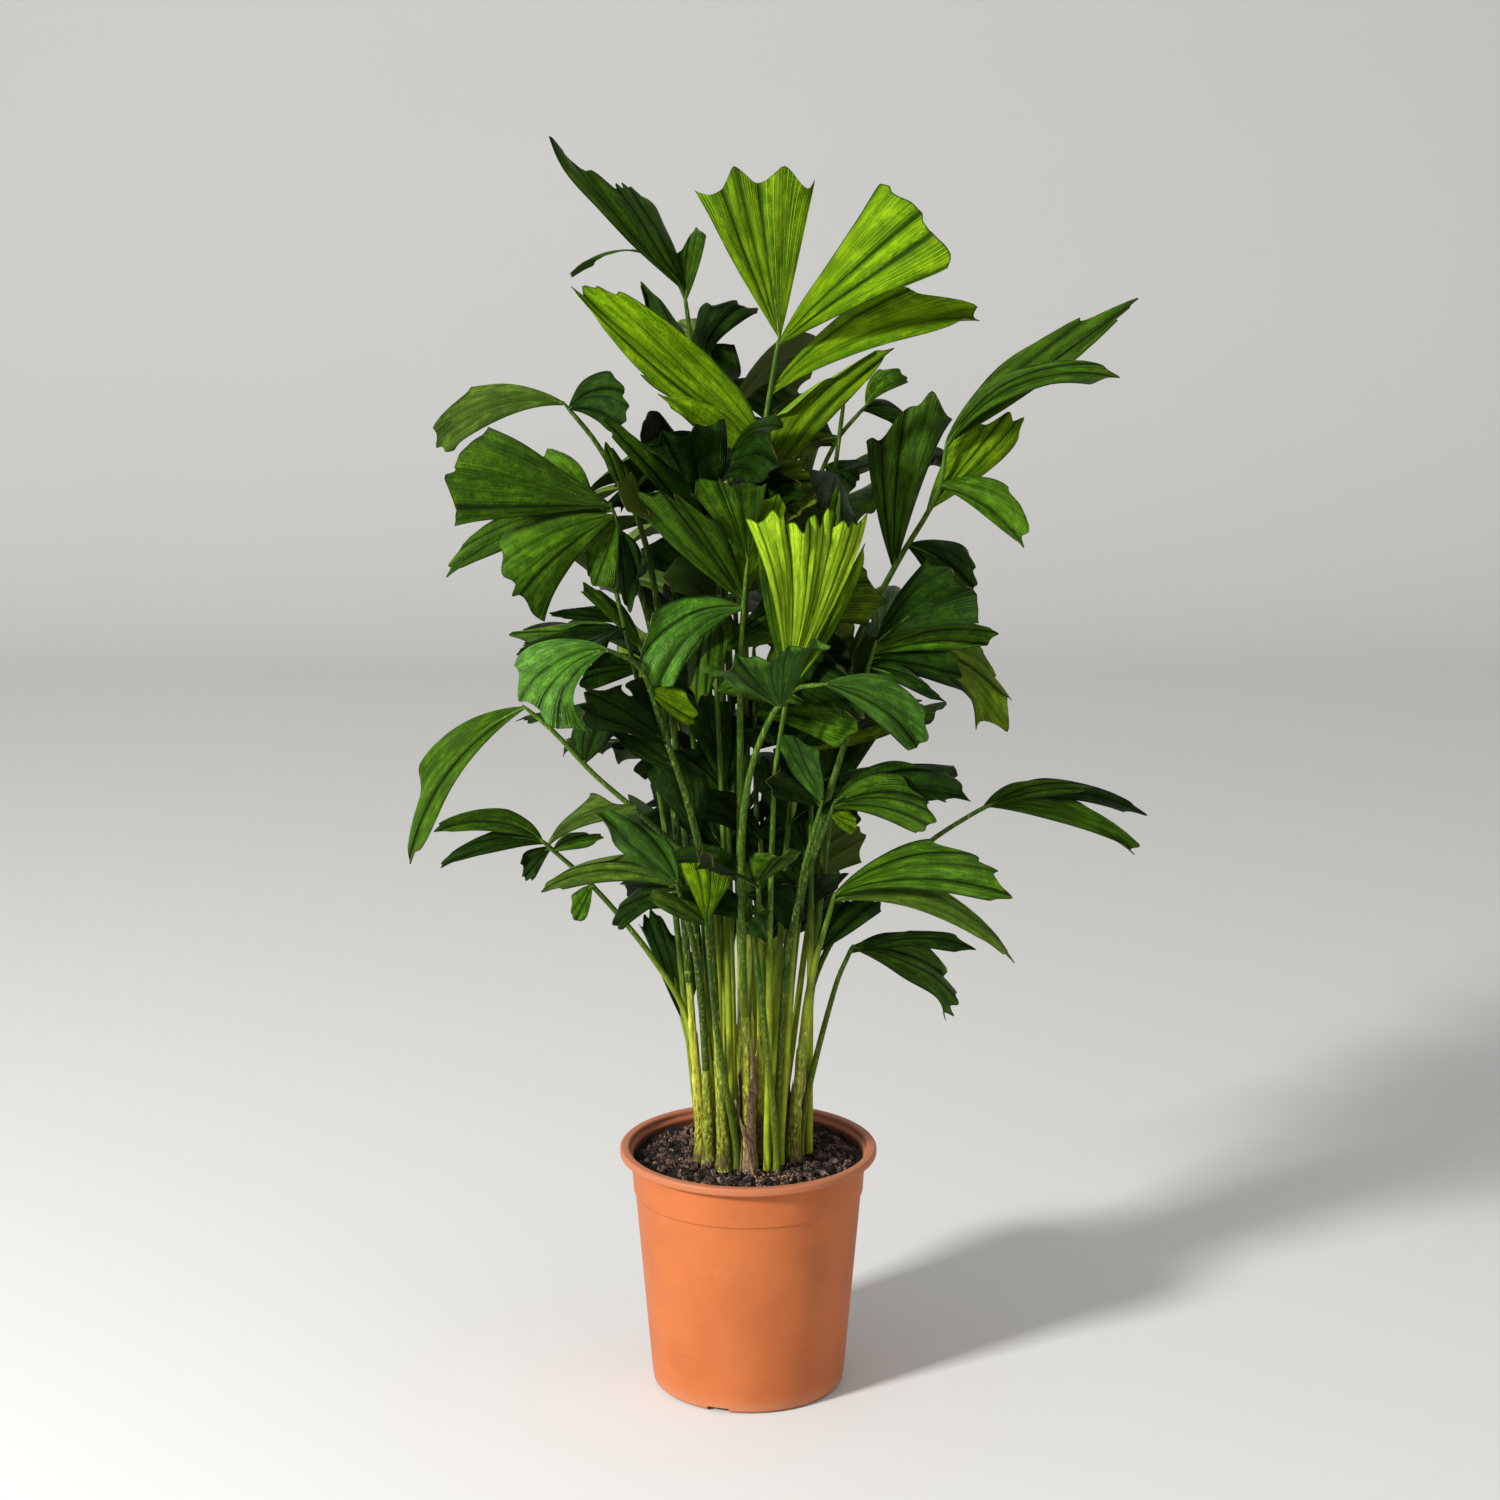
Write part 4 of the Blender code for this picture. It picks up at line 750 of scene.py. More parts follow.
class Stems:
    """The stems that already stand, as straight runs with a radius."""

    def __init__(self):
        self.starts = numpy.zeros((0, 3))
        self.ends = numpy.zeros((0, 3))
        self.radii = numpy.zeros(0)

    def add(self, points, radii):
        """Add a stem's runs."""
        line = numpy.array(points)
        self.starts = numpy.vstack([self.starts, line[:-1]])
        self.ends = numpy.vstack([self.ends, line[1:]])
        self.radii = numpy.append(self.radii, numpy.maximum(radii[:-1], radii[1:]))

    def has_room(self, points, radii, needed):
        """Whether a new stem keeps this much room, surface to surface, from those that stand."""
        if not len(self.radii):
            return True
        runs = self.ends - self.starts
        squares = numpy.maximum((runs * runs).sum(axis=1), MM * MM)
        line = numpy.array(points)
        for start, end, radius in zip(line, line[1:], radii):
            shares = numpy.linspace(0.0, 1.0, 2 + int(numpy.linalg.norm(end - start) / ROOM_STEP))
            spots = start + shares[:, None] * (end - start)
            offsets = spots[:, None, :] - self.starts
            along = numpy.clip((offsets * runs).sum(axis=2) / squares, 0.0, 1.0)
            apart = numpy.linalg.norm(offsets - along[:, :, None] * runs, axis=2)
            if (apart - self.radii).min() < radius + needed:
                return False
        return True


class Stem(NamedTuple):
    """A stem: its points, its radii, and how many of its points belong to the cane."""

    points: list
    radii: list
    cane_points: int


def foot_aim(head, via):
    """Where a stem would best stand: on a line that fans out from a point under the pot."""
    aim = Vector((*CLUMP_CENTRE, SOIL_TOP)) + Vector((head.x, head.y, 0.0)) * SEAT_PULL
    if via:
        across, up = via[0]
        aim.x = across * CM * (SOIL_TOP + FAN_DEPTH) / (up * CM + FAN_DEPTH)
    return aim


def place_stem(head, via, cane, free_seats, stems):
    """Stand a stem on the nearest free seat from which it is clear of the others."""
    aim = foot_aim(head, via)
    foot_radius = CANE_FOOT_RADIUS if cane else STALK_FOOT_RADIUS
    nearest = sorted(free_seats, key=lambda seat: math.hypot(SIDE_CARE * (seat.x - aim.x), seat.y - aim.y))
    for needed in (STEM_ROOM, GAP):
        for seat in nearest:
            for shift in STEM_SHIFTS:
                points = stem_line(seat, head, via, shift)
                radii = stem_radii(points, foot_radius)
                if cane:
                    radii[0] *= CANE_FLARE
                if stems.has_room(points, radii, needed):
                    free_seats.remove(seat)
                    stems.add(points, radii)
                    return split_stem(points, radii, cane)
    return None


def split_stem(points, radii, cane):
    """Mark where the cane ends: in the run that passes its height above the soil."""
    if not cane:
        return Stem(points, radii, 0)
    for index, point in enumerate(points):
        if point.z - SOIL_TOP > cane * CM:
            return Stem(points, radii, index)
    return Stem(points, radii, len(points) - 2)


def tube_mesh(name, points, radii, bevel_resolution):
    """A closed tube through the points."""
    curve = bpy.data.curves.new(name, "CURVE")
    curve.dimensions = "3D"
    curve.bevel_depth = 1.0
    curve.bevel_resolution = bevel_resolution
    curve.use_fill_caps = True
    spline = curve.splines.new("POLY")
    spline.points.add(len(points) - 1)
    for knot, point, radius in zip(spline.points, points, radii):
        knot.co = (*point, 1.0)
        knot.radius = radius
    guide = bpy.data.objects.new(name, curve)
    bpy.context.scene.collection.objects.link(guide)
    evaluated = guide.evaluated_get(bpy.context.evaluated_depsgraph_get())
    mesh = bpy.data.meshes.new_from_object(evaluated)
    bpy.data.objects.remove(guide)
    bpy.data.curves.remove(curve)
    bm = bmesh.new()
    bm.from_mesh(mesh)
    bmesh.ops.remove_doubles(bm, verts=bm.verts[:], dist=0.01 * MM)
    bm.to_mesh(mesh)
    bm.free()
    return mesh


def cane_run(stem):
    """The cane's points and radii: flared at the soil, up to just under the frond's stalk."""
    last = stem.cane_points
    below, above = stem.points[last - 1], stem.points[last]
    cut = (below + above) / 2
    down = (below - above).normalized()
    points = stem.points[:last] + [cut + down * (GAP / 2)]
    shares = numpy.linspace(0.0, 1.0, len(points))
    radii = [CANE_FOOT_RADIUS + (CANE_TIP_RADIUS - CANE_FOOT_RADIUS) * share for share in shares]
    radii[0] *= CANE_FLARE
    return points, radii


def stalk_run(stem):
    """The frond's stalk: from the soil, or from just over its cane."""
    last = stem.cane_points
    if not last:
        return stem.points, stem.radii
    below, above = stem.points[last - 1], stem.points[last]
    cut = (below + above) / 2
    up = (above - below).normalized()
    radius = min(STALK_FOOT_RADIUS, (stem.radii[last - 1] + stem.radii[last]) / 2)
    points = [cut + up * (GAP / 2)] + stem.points[last:]
    return points, [radius] + [min(radius, size) for size in stem.radii[last:]]


def shortened(points, radii, distance):
    """A tube's points and radii up to this distance along it."""
    kept = [points[0]]
    for point in points[1:]:
        if line_length(kept + [point]) >= distance:
            break
        kept.append(point)
    end, _ = point_at(points, distance)
    return kept + [end], radii[:len(kept) + 1]


def trimmed_stalk(frond):
    """A frond's stalk, ended at the root of its highest leaflet."""
    points, radii = stalk_run(frond.stem)
    highest = min((blade.below for blade in frond.blades), default=0.0)
    return shortened(points, radii, line_length(points) - highest + ROOT_COVER)


# Leaflets

class Blade:
    """A leaflet: a rib that bends down from its root to its tip, and a blade that widens along it."""

    def __init__(self, root, tip, wide, droop, kind, facing, twist, tone, below):
        chord = tip - root
        self.below = below
        self.root = root
        self.kind = KINDS[kind]
        self.kind_name = kind
        self.tone = tone
        self.half = wide / 2
        self.bend = math.radians(max(droop, LEAST_BEND)) / 2
        self.along = chord.normalized()
        self.length = chord.length * self.bend / math.sin(self.bend)
        fall = -UP + self.along * self.along.z
        if fall.length < STEEPEST:
            fall = -facing
        self.fall = (fall - self.along * fall.dot(self.along)).normalized()
        self.hinge = self.along.cross(self.fall)
        level = facing - self.along * facing.dot(self.along)
        self.face = level.normalized()
        self.side = self.along.cross(self.face)
        self.lower = 1.0 if self.side.z < 0 else -1.0
        self.twist = math.radians(twist)
        self.thickness = max(LEAF_THICKNESS, LEAF_THINNEST * self.length)
        self.rows = 3 if droop > LONG_BEND else 2

    def ray(self, s):
        """The share of the length that the blade reaches at s, from one edge (-1) to the other (1)."""
        peak = self.kind.peak * self.lower
        return 1 - self.kind.cut * (abs(s - peak) / (1 + abs(peak))) ** 1.2

    def half_width(self, t, grow):
        """Half of the width at a share t of the length."""
        spread = (1 - (1 - t) ** self.kind.bulge) * (1 - self.kind.pinch * t ** 3)
        return ROOT_HALF + grow + (self.half - ROOT_HALF) * spread

    def bent(self, reach, t, y, rise):
        """The point this far along the bent rib, y to its side and raised off the blade."""
        turn = self.bend * (2 * reach / self.length - 1)
        radius = self.length / (2 * self.bend)
        spine = self.root + self.along * (radius * (math.sin(turn) + math.sin(self.bend)))
        spine += self.fall * (radius * (math.cos(self.bend) - math.cos(turn)))
        frame = Matrix.Rotation(turn, 3, self.hinge) @ Matrix.Rotation(self.twist * t, 3, self.along)
        return spine + frame @ (self.side * y + self.face * rise)

    def place(self, t, s, grow=0.0):
        """The point of the blade's middle surface at (t, s)."""
        reach = t * (self.ray(s) * self.length + grow)
        y = s * self.half_width(t, grow)
        return self.bent(reach, t, y, -abs(y) * FOLD * t)

    def mesh(self, start=0.0, grow=0.0):
        """The leaflet as a thin closed shell, from a share `start` of its length to its tip."""
        bm = bmesh.new()
        bmesh.ops.create_grid(bm, x_segments=self.kind.columns, y_segments=self.rows, size=1.0)
        for vert in bm.verts:
            s, t = vert.co.x, start + (1 - start) * (vert.co.y + 1) / 2
            vert.co = self.place(t, s, grow)
        bm.normal_update()
        thickness = self.thickness + 2 * grow
        for vert in bm.verts:
            vert.co += vert.normal * (thickness / 2)
        bmesh.ops.solidify(bm, geom=bm.faces[:], thickness=thickness)
        return bm


def aimed_blade(root, tip, wide, droop, kind, facing, twist, tone, below):
    """A leaflet whose aimed ray ends at the tip."""
    target = tip
    for _ in range(3):
        blade = Blade(root, target, wide, droop, kind, facing, twist, tone, below)
        miss = blade.place(1.0, blade.kind.aim * blade.lower) - tip
        target = target - miss
    return blade


class Placed(NamedTuple):
    """A piece that stands: whose it is, its box, its surface, and its surface away from its root."""

    owner: str
    low: Vector
    high: Vector
    whole: BVHTree
    outer: BVHTree


def box_of(bm):
    """The lowest and highest corners of a mesh."""
    low = Vector([min(vert.co[axis] for vert in bm.verts) for axis in range(3)])
    high = Vector([max(vert.co[axis] for vert in bm.verts) for axis in range(3)])
    return low, high


def boxes_apart(low, high, other):
    """Whether a box is clear of a placed piece's box."""
    return any(high[axis] < other.low[axis] or low[axis] > other.high[axis] for axis in range(3))


def placed_tube(owner, mesh):
    """A stalk or cane among the placed pieces."""
    bm = bmesh.new()
    bm.from_mesh(mesh)
    bpy.data.meshes.remove(mesh)
    low, high = box_of(bm)
    tree = BVHTree.FromBMesh(bm)
    bm.free()
    return Placed(owner, low, high, tree, tree)


def placed_blade(owner, blade):
    """A leaflet among the placed pieces."""
    whole = blade.mesh()
    outer = blade.mesh(OUTER_START)
    low, high = box_of(whole)
    piece = Placed(owner, low, high, BVHTree.FromBMesh(whole), BVHTree.FromBMesh(outer))
    whole.free()
    outer.free()
    return piece


def is_clear(blade, owner, placed):
    """Whether a leaflet keeps clear of every placed piece, and past its root also of its own frond."""
    whole = blade.mesh(0.0, LEAF_ROOM)
    outer = blade.mesh(OUTER_START, LEAF_ROOM)
    low, high = box_of(whole)
    whole_tree = BVHTree.FromBMesh(whole)
    outer_tree = BVHTree.FromBMesh(outer)
    whole.free()
    outer.free()
    for other in placed:
        if boxes_apart(low, high, other):
            continue
        if other.owner == owner:
            if outer_tree.overlap(other.outer):
                return False
        elif whole_tree.overlap(other.whole):
            return False
    return True


def add_leaflet(frond, choices, placed):
    """Give a frond the first of the choices that is clear. If none is, the leaflet is left out."""
    for blade in choices:
        if is_clear(blade, frond.place, placed):
            placed.append(placed_blade(frond.place, blade))
            frond.blades.append(blade)
            return


def front_blades(leaf, line, chance):
    """The ways a planned leaflet may lie: its tip at other depths on the same line of sight, or shorter."""
    below = leaf.below * CM
    root, _ = point_at(line[::-1], below)
    flat = seen(leaf.across, leaf.up, root.y / CM)
    lean = leaf.back + chance.uniform(*DEPTH_LEAN) * (flat - root).length / CM
    twist = chance.uniform(*TWIST)
    turn = math.radians(leaf.turn + chance.uniform(*TURN))
    for size in SIZES:
        for shift in DEPTH_SHIFTS:
            tip = seen(leaf.across, leaf.up, root.y / CM + lean + shift)
            tip = root.lerp(tip, size)
            toward = (EYE - tip).normalized() + UP * SKYWARD
            facing = Matrix.Rotation(turn, 3, (tip - root).normalized()) @ toward
            wide = leaf.wide * CM * size
            yield aimed_blade(root, tip, wide, leaf.droop, leaf.kind, facing, twist, leaf.tone, below)


class Grower(NamedTuple):
    """A frond made by rule: its head, the way it points, and its own chance."""

    head: Vector
    heading: float
    chance: random.Random
    ring: Ring


def ring_frond(ring, index):
    """The head and heading of one frond of a ring."""
    chance = random.Random(ring.seed + 100 * ring.count + index)
    heading = math.radians(ring.first + ring.sweep * (index + 0.5) / ring.count)
    level = ((index * 5) % ring.count) / (ring.count - 1)
    height = ring.lowest + (ring.highest - ring.lowest) * level
    reach = ring.reach + ring.belly * math.sin(math.pi * level) + chance.uniform(-1.5, 1.5)
    head = Vector((reach * 0.8 * math.cos(heading), reach * 1.15 * math.sin(heading), height)) * CM
    return Grower(head, heading, chance, ring)


def ring_fronds(rings):
    """Every frond made by rule, by name."""
    growers = {}
    for name, ring in rings.items():
        for index in range(ring.count):
            growers[f"{name}_{index + 1}"] = ring_frond(ring, index)
    return growers


def ring_blades(line, grower, number):
    """The ways a leaflet of a ring's frond may lie: fanned out to both sides of its heading."""
    chance = grower.chance
    heading = grower.heading
    side = 1 if number % 2 else -1
    pair = (number + 1) // 2
    below = (RING_FIRST + grower.ring.spacing * pair) * CM
    root, _ = point_at(line[::-1], below)
    kind = RING_KINDS[pair % len(RING_KINDS)]
    length = chance.uniform(*grower.ring.lengths) * CM
    wide = length * RING_WIDTHS[kind]
    tone = chance.choice(grower.ring.tones)
    twist = chance.uniform(*TWIST)
    outward = Vector((math.cos(heading), math.sin(heading), 0.0))
    facing = UP * grower.ring.upright + outward * RING_OUTWARD
    for size in SIZES:
        for attempt in range(RING_TRIES):
            swing = FIRST_SWING + NEXT_SWING * pair if number else 0.0
            swing += TRY_SWING * attempt * (-1) ** attempt
            turn = heading + side * math.radians(swing)
            rise = math.radians(chance.uniform(*RING_RISE))
            way = Vector((math.cos(turn) * math.cos(rise), math.sin(turn) * math.cos(rise), math.sin(rise)))
            tip = root + way * length * size
            droop = chance.uniform(*RING_DROOP)
            yield aimed_blade(root, tip, wide * size, droop, kind, facing, twist, tone, below)


def in_core(point):
    """Whether a point is seen inside the dense middle of the crown."""
    flat = EYE + (point - EYE) * (-EYE.y / (point.y - EYE.y))
    across = (flat.x / CM - CORE_CENTRE[0]) / CORE_HALF[0]
    up = (flat.z / CM - CORE_CENTRE[1]) / CORE_HALF[1]
    return across ** 2 + up ** 2 < 1


def joined_tree(shapes):
    """One surface to look along sight lines at, from several meshes."""
    points = []
    faces = []
    for bm in shapes:
        first = len(points)
        points.extend(vert.co.copy() for vert in bm.verts)
        faces.extend([first + vert.index for vert in face.verts] for face in bm.faces)
        bm.free()
    return BVHTree.FromPolygons(points, faces)


def fills_gap(blade, front):
    """Whether a leaflet lies behind the front ones or in the dense middle, and hides few of them."""
    covered = 0
    hiding = 0
    spots = [blade.place(t, s) for t in (0.35, 0.7, 1.0) for s in (-1.0, -0.4, 0.4, 1.0)]
    for spot in spots:
        sight = (EYE - spot).normalized()
        behind = front.ray_cast(spot + sight * MM, sight)[0] is not None
        covered += behind or in_core(spot)
        hiding += not behind and front.ray_cast(spot - sight * MM, -sight)[0] is not None
    return covered >= HIDDEN_SHARE * len(spots) and hiding <= HIDING_SHARE * len(spots)


# Growing the plant

class Grown(NamedTuple):
    """A frond as it grew: its name, its stem and its leaflets."""

    place: str
    stem: Stem
    blades: list


def grow_stems(growers, free_seats, stems):
    """Stand every stem, the planned ones first, and of those the ones nearest the viewer first."""
    grown = dict.fromkeys(FRONT)
    for place in sorted(FRONT, key=lambda place: FRONT[place].head[2]):
        frond = FRONT[place]
        grown[place] = place_stem(seen(*frond.head), frond.via, frond.cane, free_seats, stems)
    for place, grower in growers.items():
        grown[place] = place_stem(grower.head, (), 0, free_seats, stems)
    return {place: stem for place, stem in grown.items() if stem}


def stalk_mesh(place, points, radii):
    """A frond's stalk: six-sided on the planned fronds, four-sided on the others."""
    return tube_mesh(f"stalk_{place}", points, radii, 1 if place in FRONT else 0)


def cane_mesh(place, stem):
    """The cane under a frond, cut flat at the soil."""
    return tube_mesh(f"cane_{place}", *cane_run(stem), 2)


def grow_stalks(stems, placed):
    """Stand the stalks and canes, and return a frond without leaflets for each stem."""
    fronds = []
    for place, stem in stems.items():
        placed.append(placed_tube(place, stalk_mesh(place, *stalk_run(stem))))
        if stem.cane_points:
            placed.append(placed_tube(f"cane_{place}", cane_mesh(place, stem)))
        fronds.append(Grown(place, stem, []))
    return fronds


def fill_fronds(fronds, growers, front, placed):
    """Give the fronds made by rule their leaflets, where they close the crown and hide few others."""
    for frond in fronds:
        if frond.place in growers:
            line, _ = stalk_run(frond.stem)
            grower = growers[frond.place]
            for number in range(grower.ring.leaves):
                choices = ring_blades(line, grower, number)
                fitting = (blade for blade in choices if fills_gap(blade, front))
                add_leaflet(frond, fitting, placed)


def grow_inner(free_seats, stems, front, placed):
    """Fill the crown's middle with small fronds in the dark tone, which paints the shade there, on whatever seats are
    still free.
    """
    growers = ring_fronds(INNER_RINGS)
    grown = {}
    for place, grower in growers.items():
        stem = place_stem(grower.head, (), 0, free_seats, stems)
        if stem:
            grown[place] = stem
    fronds = grow_stalks(grown, placed)
    fill_fronds(fronds, growers, front, placed)
    return [frond for frond in fronds if frond.blades]


def grow_plant():
    """Grow the stems, then the planned leaflets, then those made by rule, and return the fronds."""
    growers = ring_fronds(RINGS)
    free_seats = seats()
    stems = Stems()
    placed = []
    fronds = grow_stalks(grow_stems(growers, free_seats, stems), placed)
    planned = [frond for frond in fronds if frond.place in FRONT]
    for number, frond in enumerate(planned):
        line, _ = stalk_run(frond.stem)
        chance = random.Random(number)
        for leaf in FRONT[frond.place].leaves:
            add_leaflet(frond, front_blades(leaf, line, chance), placed)
    front = joined_tree(blade.mesh() for frond in planned for blade in frond.blades)
    fill_fronds(fronds, growers, front, placed)
    fronds = [frond for frond in fronds if frond.place in FRONT or len(frond.blades) >= FEWEST_LEAVES]
    return fronds + grow_inner(free_seats, stems, front, placed)


# Gathering shapes into pieces

class Pile:
    """Points, faces and marks of many like shapes, gathered for one piece."""

    def __init__(self):
        self.points = []
        self.faces = []
        self.finishes = []
        self.marks = []
        self.shades = []

    def add(self, points, faces, finishes, marks, shade):
        """Add a shape: its finish numbers go by face, its marks by point, and it has one shade."""
        first = len(self.points)
        self.points.extend(points)
        self.faces.extend([first + index for index in face] for face in faces)
        self.finishes.extend(finishes)
        self.marks.extend(marks)
        self.shades.extend([shade] * len(points))

    def piece(self, name, finishes, sharp_degrees):
        """Make one mesh piece of everything gathered."""
        mesh = bpy.data.meshes.new(name)
        mesh.from_pydata(self.points, [], self.faces)
        corners = numpy.empty(len(mesh.loops), dtype=numpy.int32)
        mesh.loops.foreach_get("vertex_index", corners)
        layer = mesh.uv_layers.new(name="marks")
        layer.data.foreach_set("uv", numpy.array(self.marks, dtype=numpy.float32)[corners].ravel())
        shade = mesh.attributes.new("shade", "FLOAT", "POINT")
        shade.data.foreach_set("value", self.shades)
        mesh.polygons.foreach_set("material_index", self.finishes)
        mesh.update()
        piece = new_object(name, mesh, finishes)
        finish_round(piece, sharp_degrees)
        return piece


def across_and_ahead(line):
    """Two directions square to a line at each of its points, carried along it without turning."""
    ahead = (line[1] - line[0]).normalized()
    across = ahead.orthogonal().normalized()
    frames = []
    for index in range(len(line)):
        ahead = (line[min(index + 1, len(line) - 1)] - line[max(index - 1, 0)]).normalized()
        across = (across - ahead * across.dot(ahead)).normalized()
        frames.append((across, ahead.cross(across)))
    return frames


def add_tube(pile, line, radius_at, sides, shade):
    """Add a closed tube along a line. Its radius follows the place along it and the way round it."""
    frames = across_and_ahead(line)
    points = []
    marks = []
    done = 0.0
    for index, (point, (right, out)) in enumerate(zip(line, frames)):
        if index:
            done += (point - line[index - 1]).length
        for side in range(sides):
            angle = side * math.tau / sides
            way = right * math.cos(angle) + out * math.sin(angle)
            points.append(point + way * radius_at(index, done, angle))
            marks.append((side / sides, done))
    faces = []
    for index in range(len(line) - 1):
        for side in range(sides):
            after = (side + 1) % sides
            low, high = index * sides, (index + 1) * sides
            faces.append((low + side, low + after, high + after, high + side))
    last = (len(line) - 1) * sides
    points.extend([line[0], line[-1]])
    marks.extend([(0.0, 0.0), (0.0, done)])
    foot, head = len(points) - 2, len(points) - 1
    for side in range(sides):
        after = (side + 1) % sides
        faces.append((foot, after, side))
        faces.append((head, last + side, last + after))
    pile.add(points, faces, [0] * len(faces), marks, shade)


def add_shell(pile, grid, marks, thickness, shade):
    """Add a thin closed shell over a grid of points: finish 0 on its face, finish 1 on its back."""
    rows, columns = grid.shape[:2]
    normal = numpy.cross(numpy.gradient(grid, axis=1), numpy.gradient(grid, axis=0))
    normal /= numpy.maximum(numpy.linalg.norm(normal, axis=2, keepdims=True), 1e-12)
    upper = (grid + normal * (thickness / 2)).reshape(-1, 3)
    lower = (grid - normal * (thickness / 2)).reshape(-1, 3)
    back = rows * columns
    faces = []
    finishes = []
    for row in range(rows - 1):
        for column in range(columns - 1):
            corner = row * columns + column
            quad = (corner, corner + 1, corner + columns + 1, corner + columns)
            faces.append(quad)
            faces.append(tuple(back + index for index in reversed(quad)))
            finishes.extend((0, 1))
    rim = [column for column in range(columns)]
    rim += [row * columns + columns - 1 for row in range(1, rows)]
    rim += [(rows - 1) * columns + column for column in range(columns - 2, -1, -1)]
    rim += [row * columns for row in range(rows - 2, 0, -1)]
    for index, spot in enumerate(rim):
        after = rim[(index + 1) % len(rim)]
        faces.append((after, spot, back + spot, back + after))
        finishes.append(0)
    pile.add(numpy.vstack([upper, lower]).tolist(), faces, finishes, marks + marks, shade)


# Fine leaflets

class Outline(NamedTuple):
    """How a leaflet is ribbed and torn: where its ribs lie across it, and what is cut off each column."""

    ribs: list
    lifts: list
    ridges: list
    swells: list
    cuts: list
    fold: float
    sway: float
    wave_rises: tuple
    waves: float
    phases: tuple
    seed: float


def bitten(stops, teeth, depths, chance):
    """What is cut off each column: little at a tooth, and a hollow between each two."""
    cuts = [0.0] * (stops[-1] + 1)
    for index, (start, stop) in enumerate(zip(stops, stops[1:])):
        lean = chance.uniform(*BITE_LEAN)
        sharpness = chance.uniform(*BITE_ROUND)
        depth = depths[0] + (depths[1] - depths[0]) * chance.random() ** 2
        for column in range(start, stop + 1):
            share = (column - start) / (stop - start)
            hollow = math.sin(math.pi * share ** lean) ** sharpness if 0 < share < 1 else 0.0
            cuts[column] = teeth[index] + (teeth[index + 1] - teeth[index]) * share + depth * hollow
    return cuts


def bite_stops(last, widths, chance):
    """The columns where teeth stand, uneven steps apart, from the first column to the last."""
    stops = [0]
    while last - stops[-1] > widths[1]:
        stops.append(stops[-1] + chance.randint(*widths))
    return stops + [last]


def fine_ray(blade, s):
    """The share of the length that the fine leaflet reaches at s: as the plain one, with its own end."""
    peak = blade.kind.peak * blade.lower
    apart = max(0.0, abs(s - peak) - END_FLAT)
    return 1 - blade.kind.cut * (apart / (1 + abs(peak) - END_FLAT)) ** END_FALL[blade.kind_name]


def stepped(blade, places, stops, chance):
    """What is cut off each column so that the end holds back behind a tooth, then steps out along a vein."""
    cuts = [0.0] * len(places)
    for start, stop in zip(stops, stops[1:]):
        begin = chance.uniform(*STEP_START)
        near, far = fine_ray(blade, places[start]), fine_ray(blade, places[stop])
        for column in range(start, stop):
            share = (column - start) / (stop - start)
            ahead = share if near < far else 1 - share
            held = min(near, far) + abs(near - far) * eased((ahead - begin) / (1 - begin))
            cuts[column] = STEP_HOLD * max(0.0, 1 - held / fine_ray(blade, places[column]))
    return cuts


def softened(cuts, chance):
    """The same cuts with their cusps rounded off and the two corners cut back."""
    for _ in range(SOFT_PASSES):
        inner = [(before + 2 * here + after) / 4 for before, here, after in zip(cuts, cuts[1:], cuts[2:])]
        cuts = [cuts[0]] + inner + [cuts[-1]]
    corners = (chance.uniform(*CORNER_CUT), chance.uniform(*CORNER_CUT))
    for step in range(CORNER_COLUMNS):
        share = (1 - step / CORNER_COLUMNS) ** 2
        cuts[step] += corners[0] * share
        cuts[-1 - step] += corners[1] * share
    return cuts


def torn_outline(blade, strip_width, pleat, chance):
    """Ribs spread unevenly over a leaflet, and a ragged end whose longest tooth is at its longest ray."""
    strips = max(FEWEST_STRIPS, round(2 * blade.half / strip_width))
    ribs = [-1.0]
    for index in range(1, strips):
        ribs.append(-1 + 2 * (index + chance.uniform(-RIB_UNEVEN, RIB_UNEVEN)) / strips)
    ribs.append(1.0)
    last = strips * PLEAT_COLUMNS
    places = numpy.interp(numpy.arange(last + 1) / PLEAT_COLUMNS, range(strips + 1), ribs)
    stops = bite_stops(last, BITE_COLUMNS[blade.kind_name], chance)
    teeth = [chance.uniform(0.0, TOOTH_UNEVEN) for _ in stops]
    peak = blade.kind.peak * blade.lower
    teeth[min(range(len(stops)), key=lambda index: abs(places[stops[index]] - peak))] = 0.0
    large = bitten(stops, teeth, DEEP_BITE if chance.random() < DEEP_SHARE else SHALLOW_BITE, chance)
    finer = bite_stops(last, SMALL_BITE, chance)
    small = bitten(finer, [0.0] * len(finer), FINE_BITE, chance)
    return Outline(
        ribs=ribs,
        lifts=[chance.uniform(-LOBE_LIFT, LOBE_LIFT) for _ in ribs],
        ridges=[chance.uniform(-RIDGE_LIFT, RIDGE_LIFT) for _ in ribs],
        swells=[pleat * chance.uniform(*PLEAT_SWELL) for _ in range(strips)],
        cuts=softened([sum(parts) for parts in zip(stepped(blade, places, stops, chance), large, small)], chance),
        fold=chance.uniform(*FOLD_SHARE),
        sway=chance.uniform(-SWAY, SWAY),
        wave_rises=(chance.uniform(*WAVE_RISE), chance.uniform(*WAVE_RISE)),
        waves=chance.uniform(*WAVES),
        phases=(chance.random(), chance.random()),
        seed=chance.uniform(0.0, 100.0),
    )


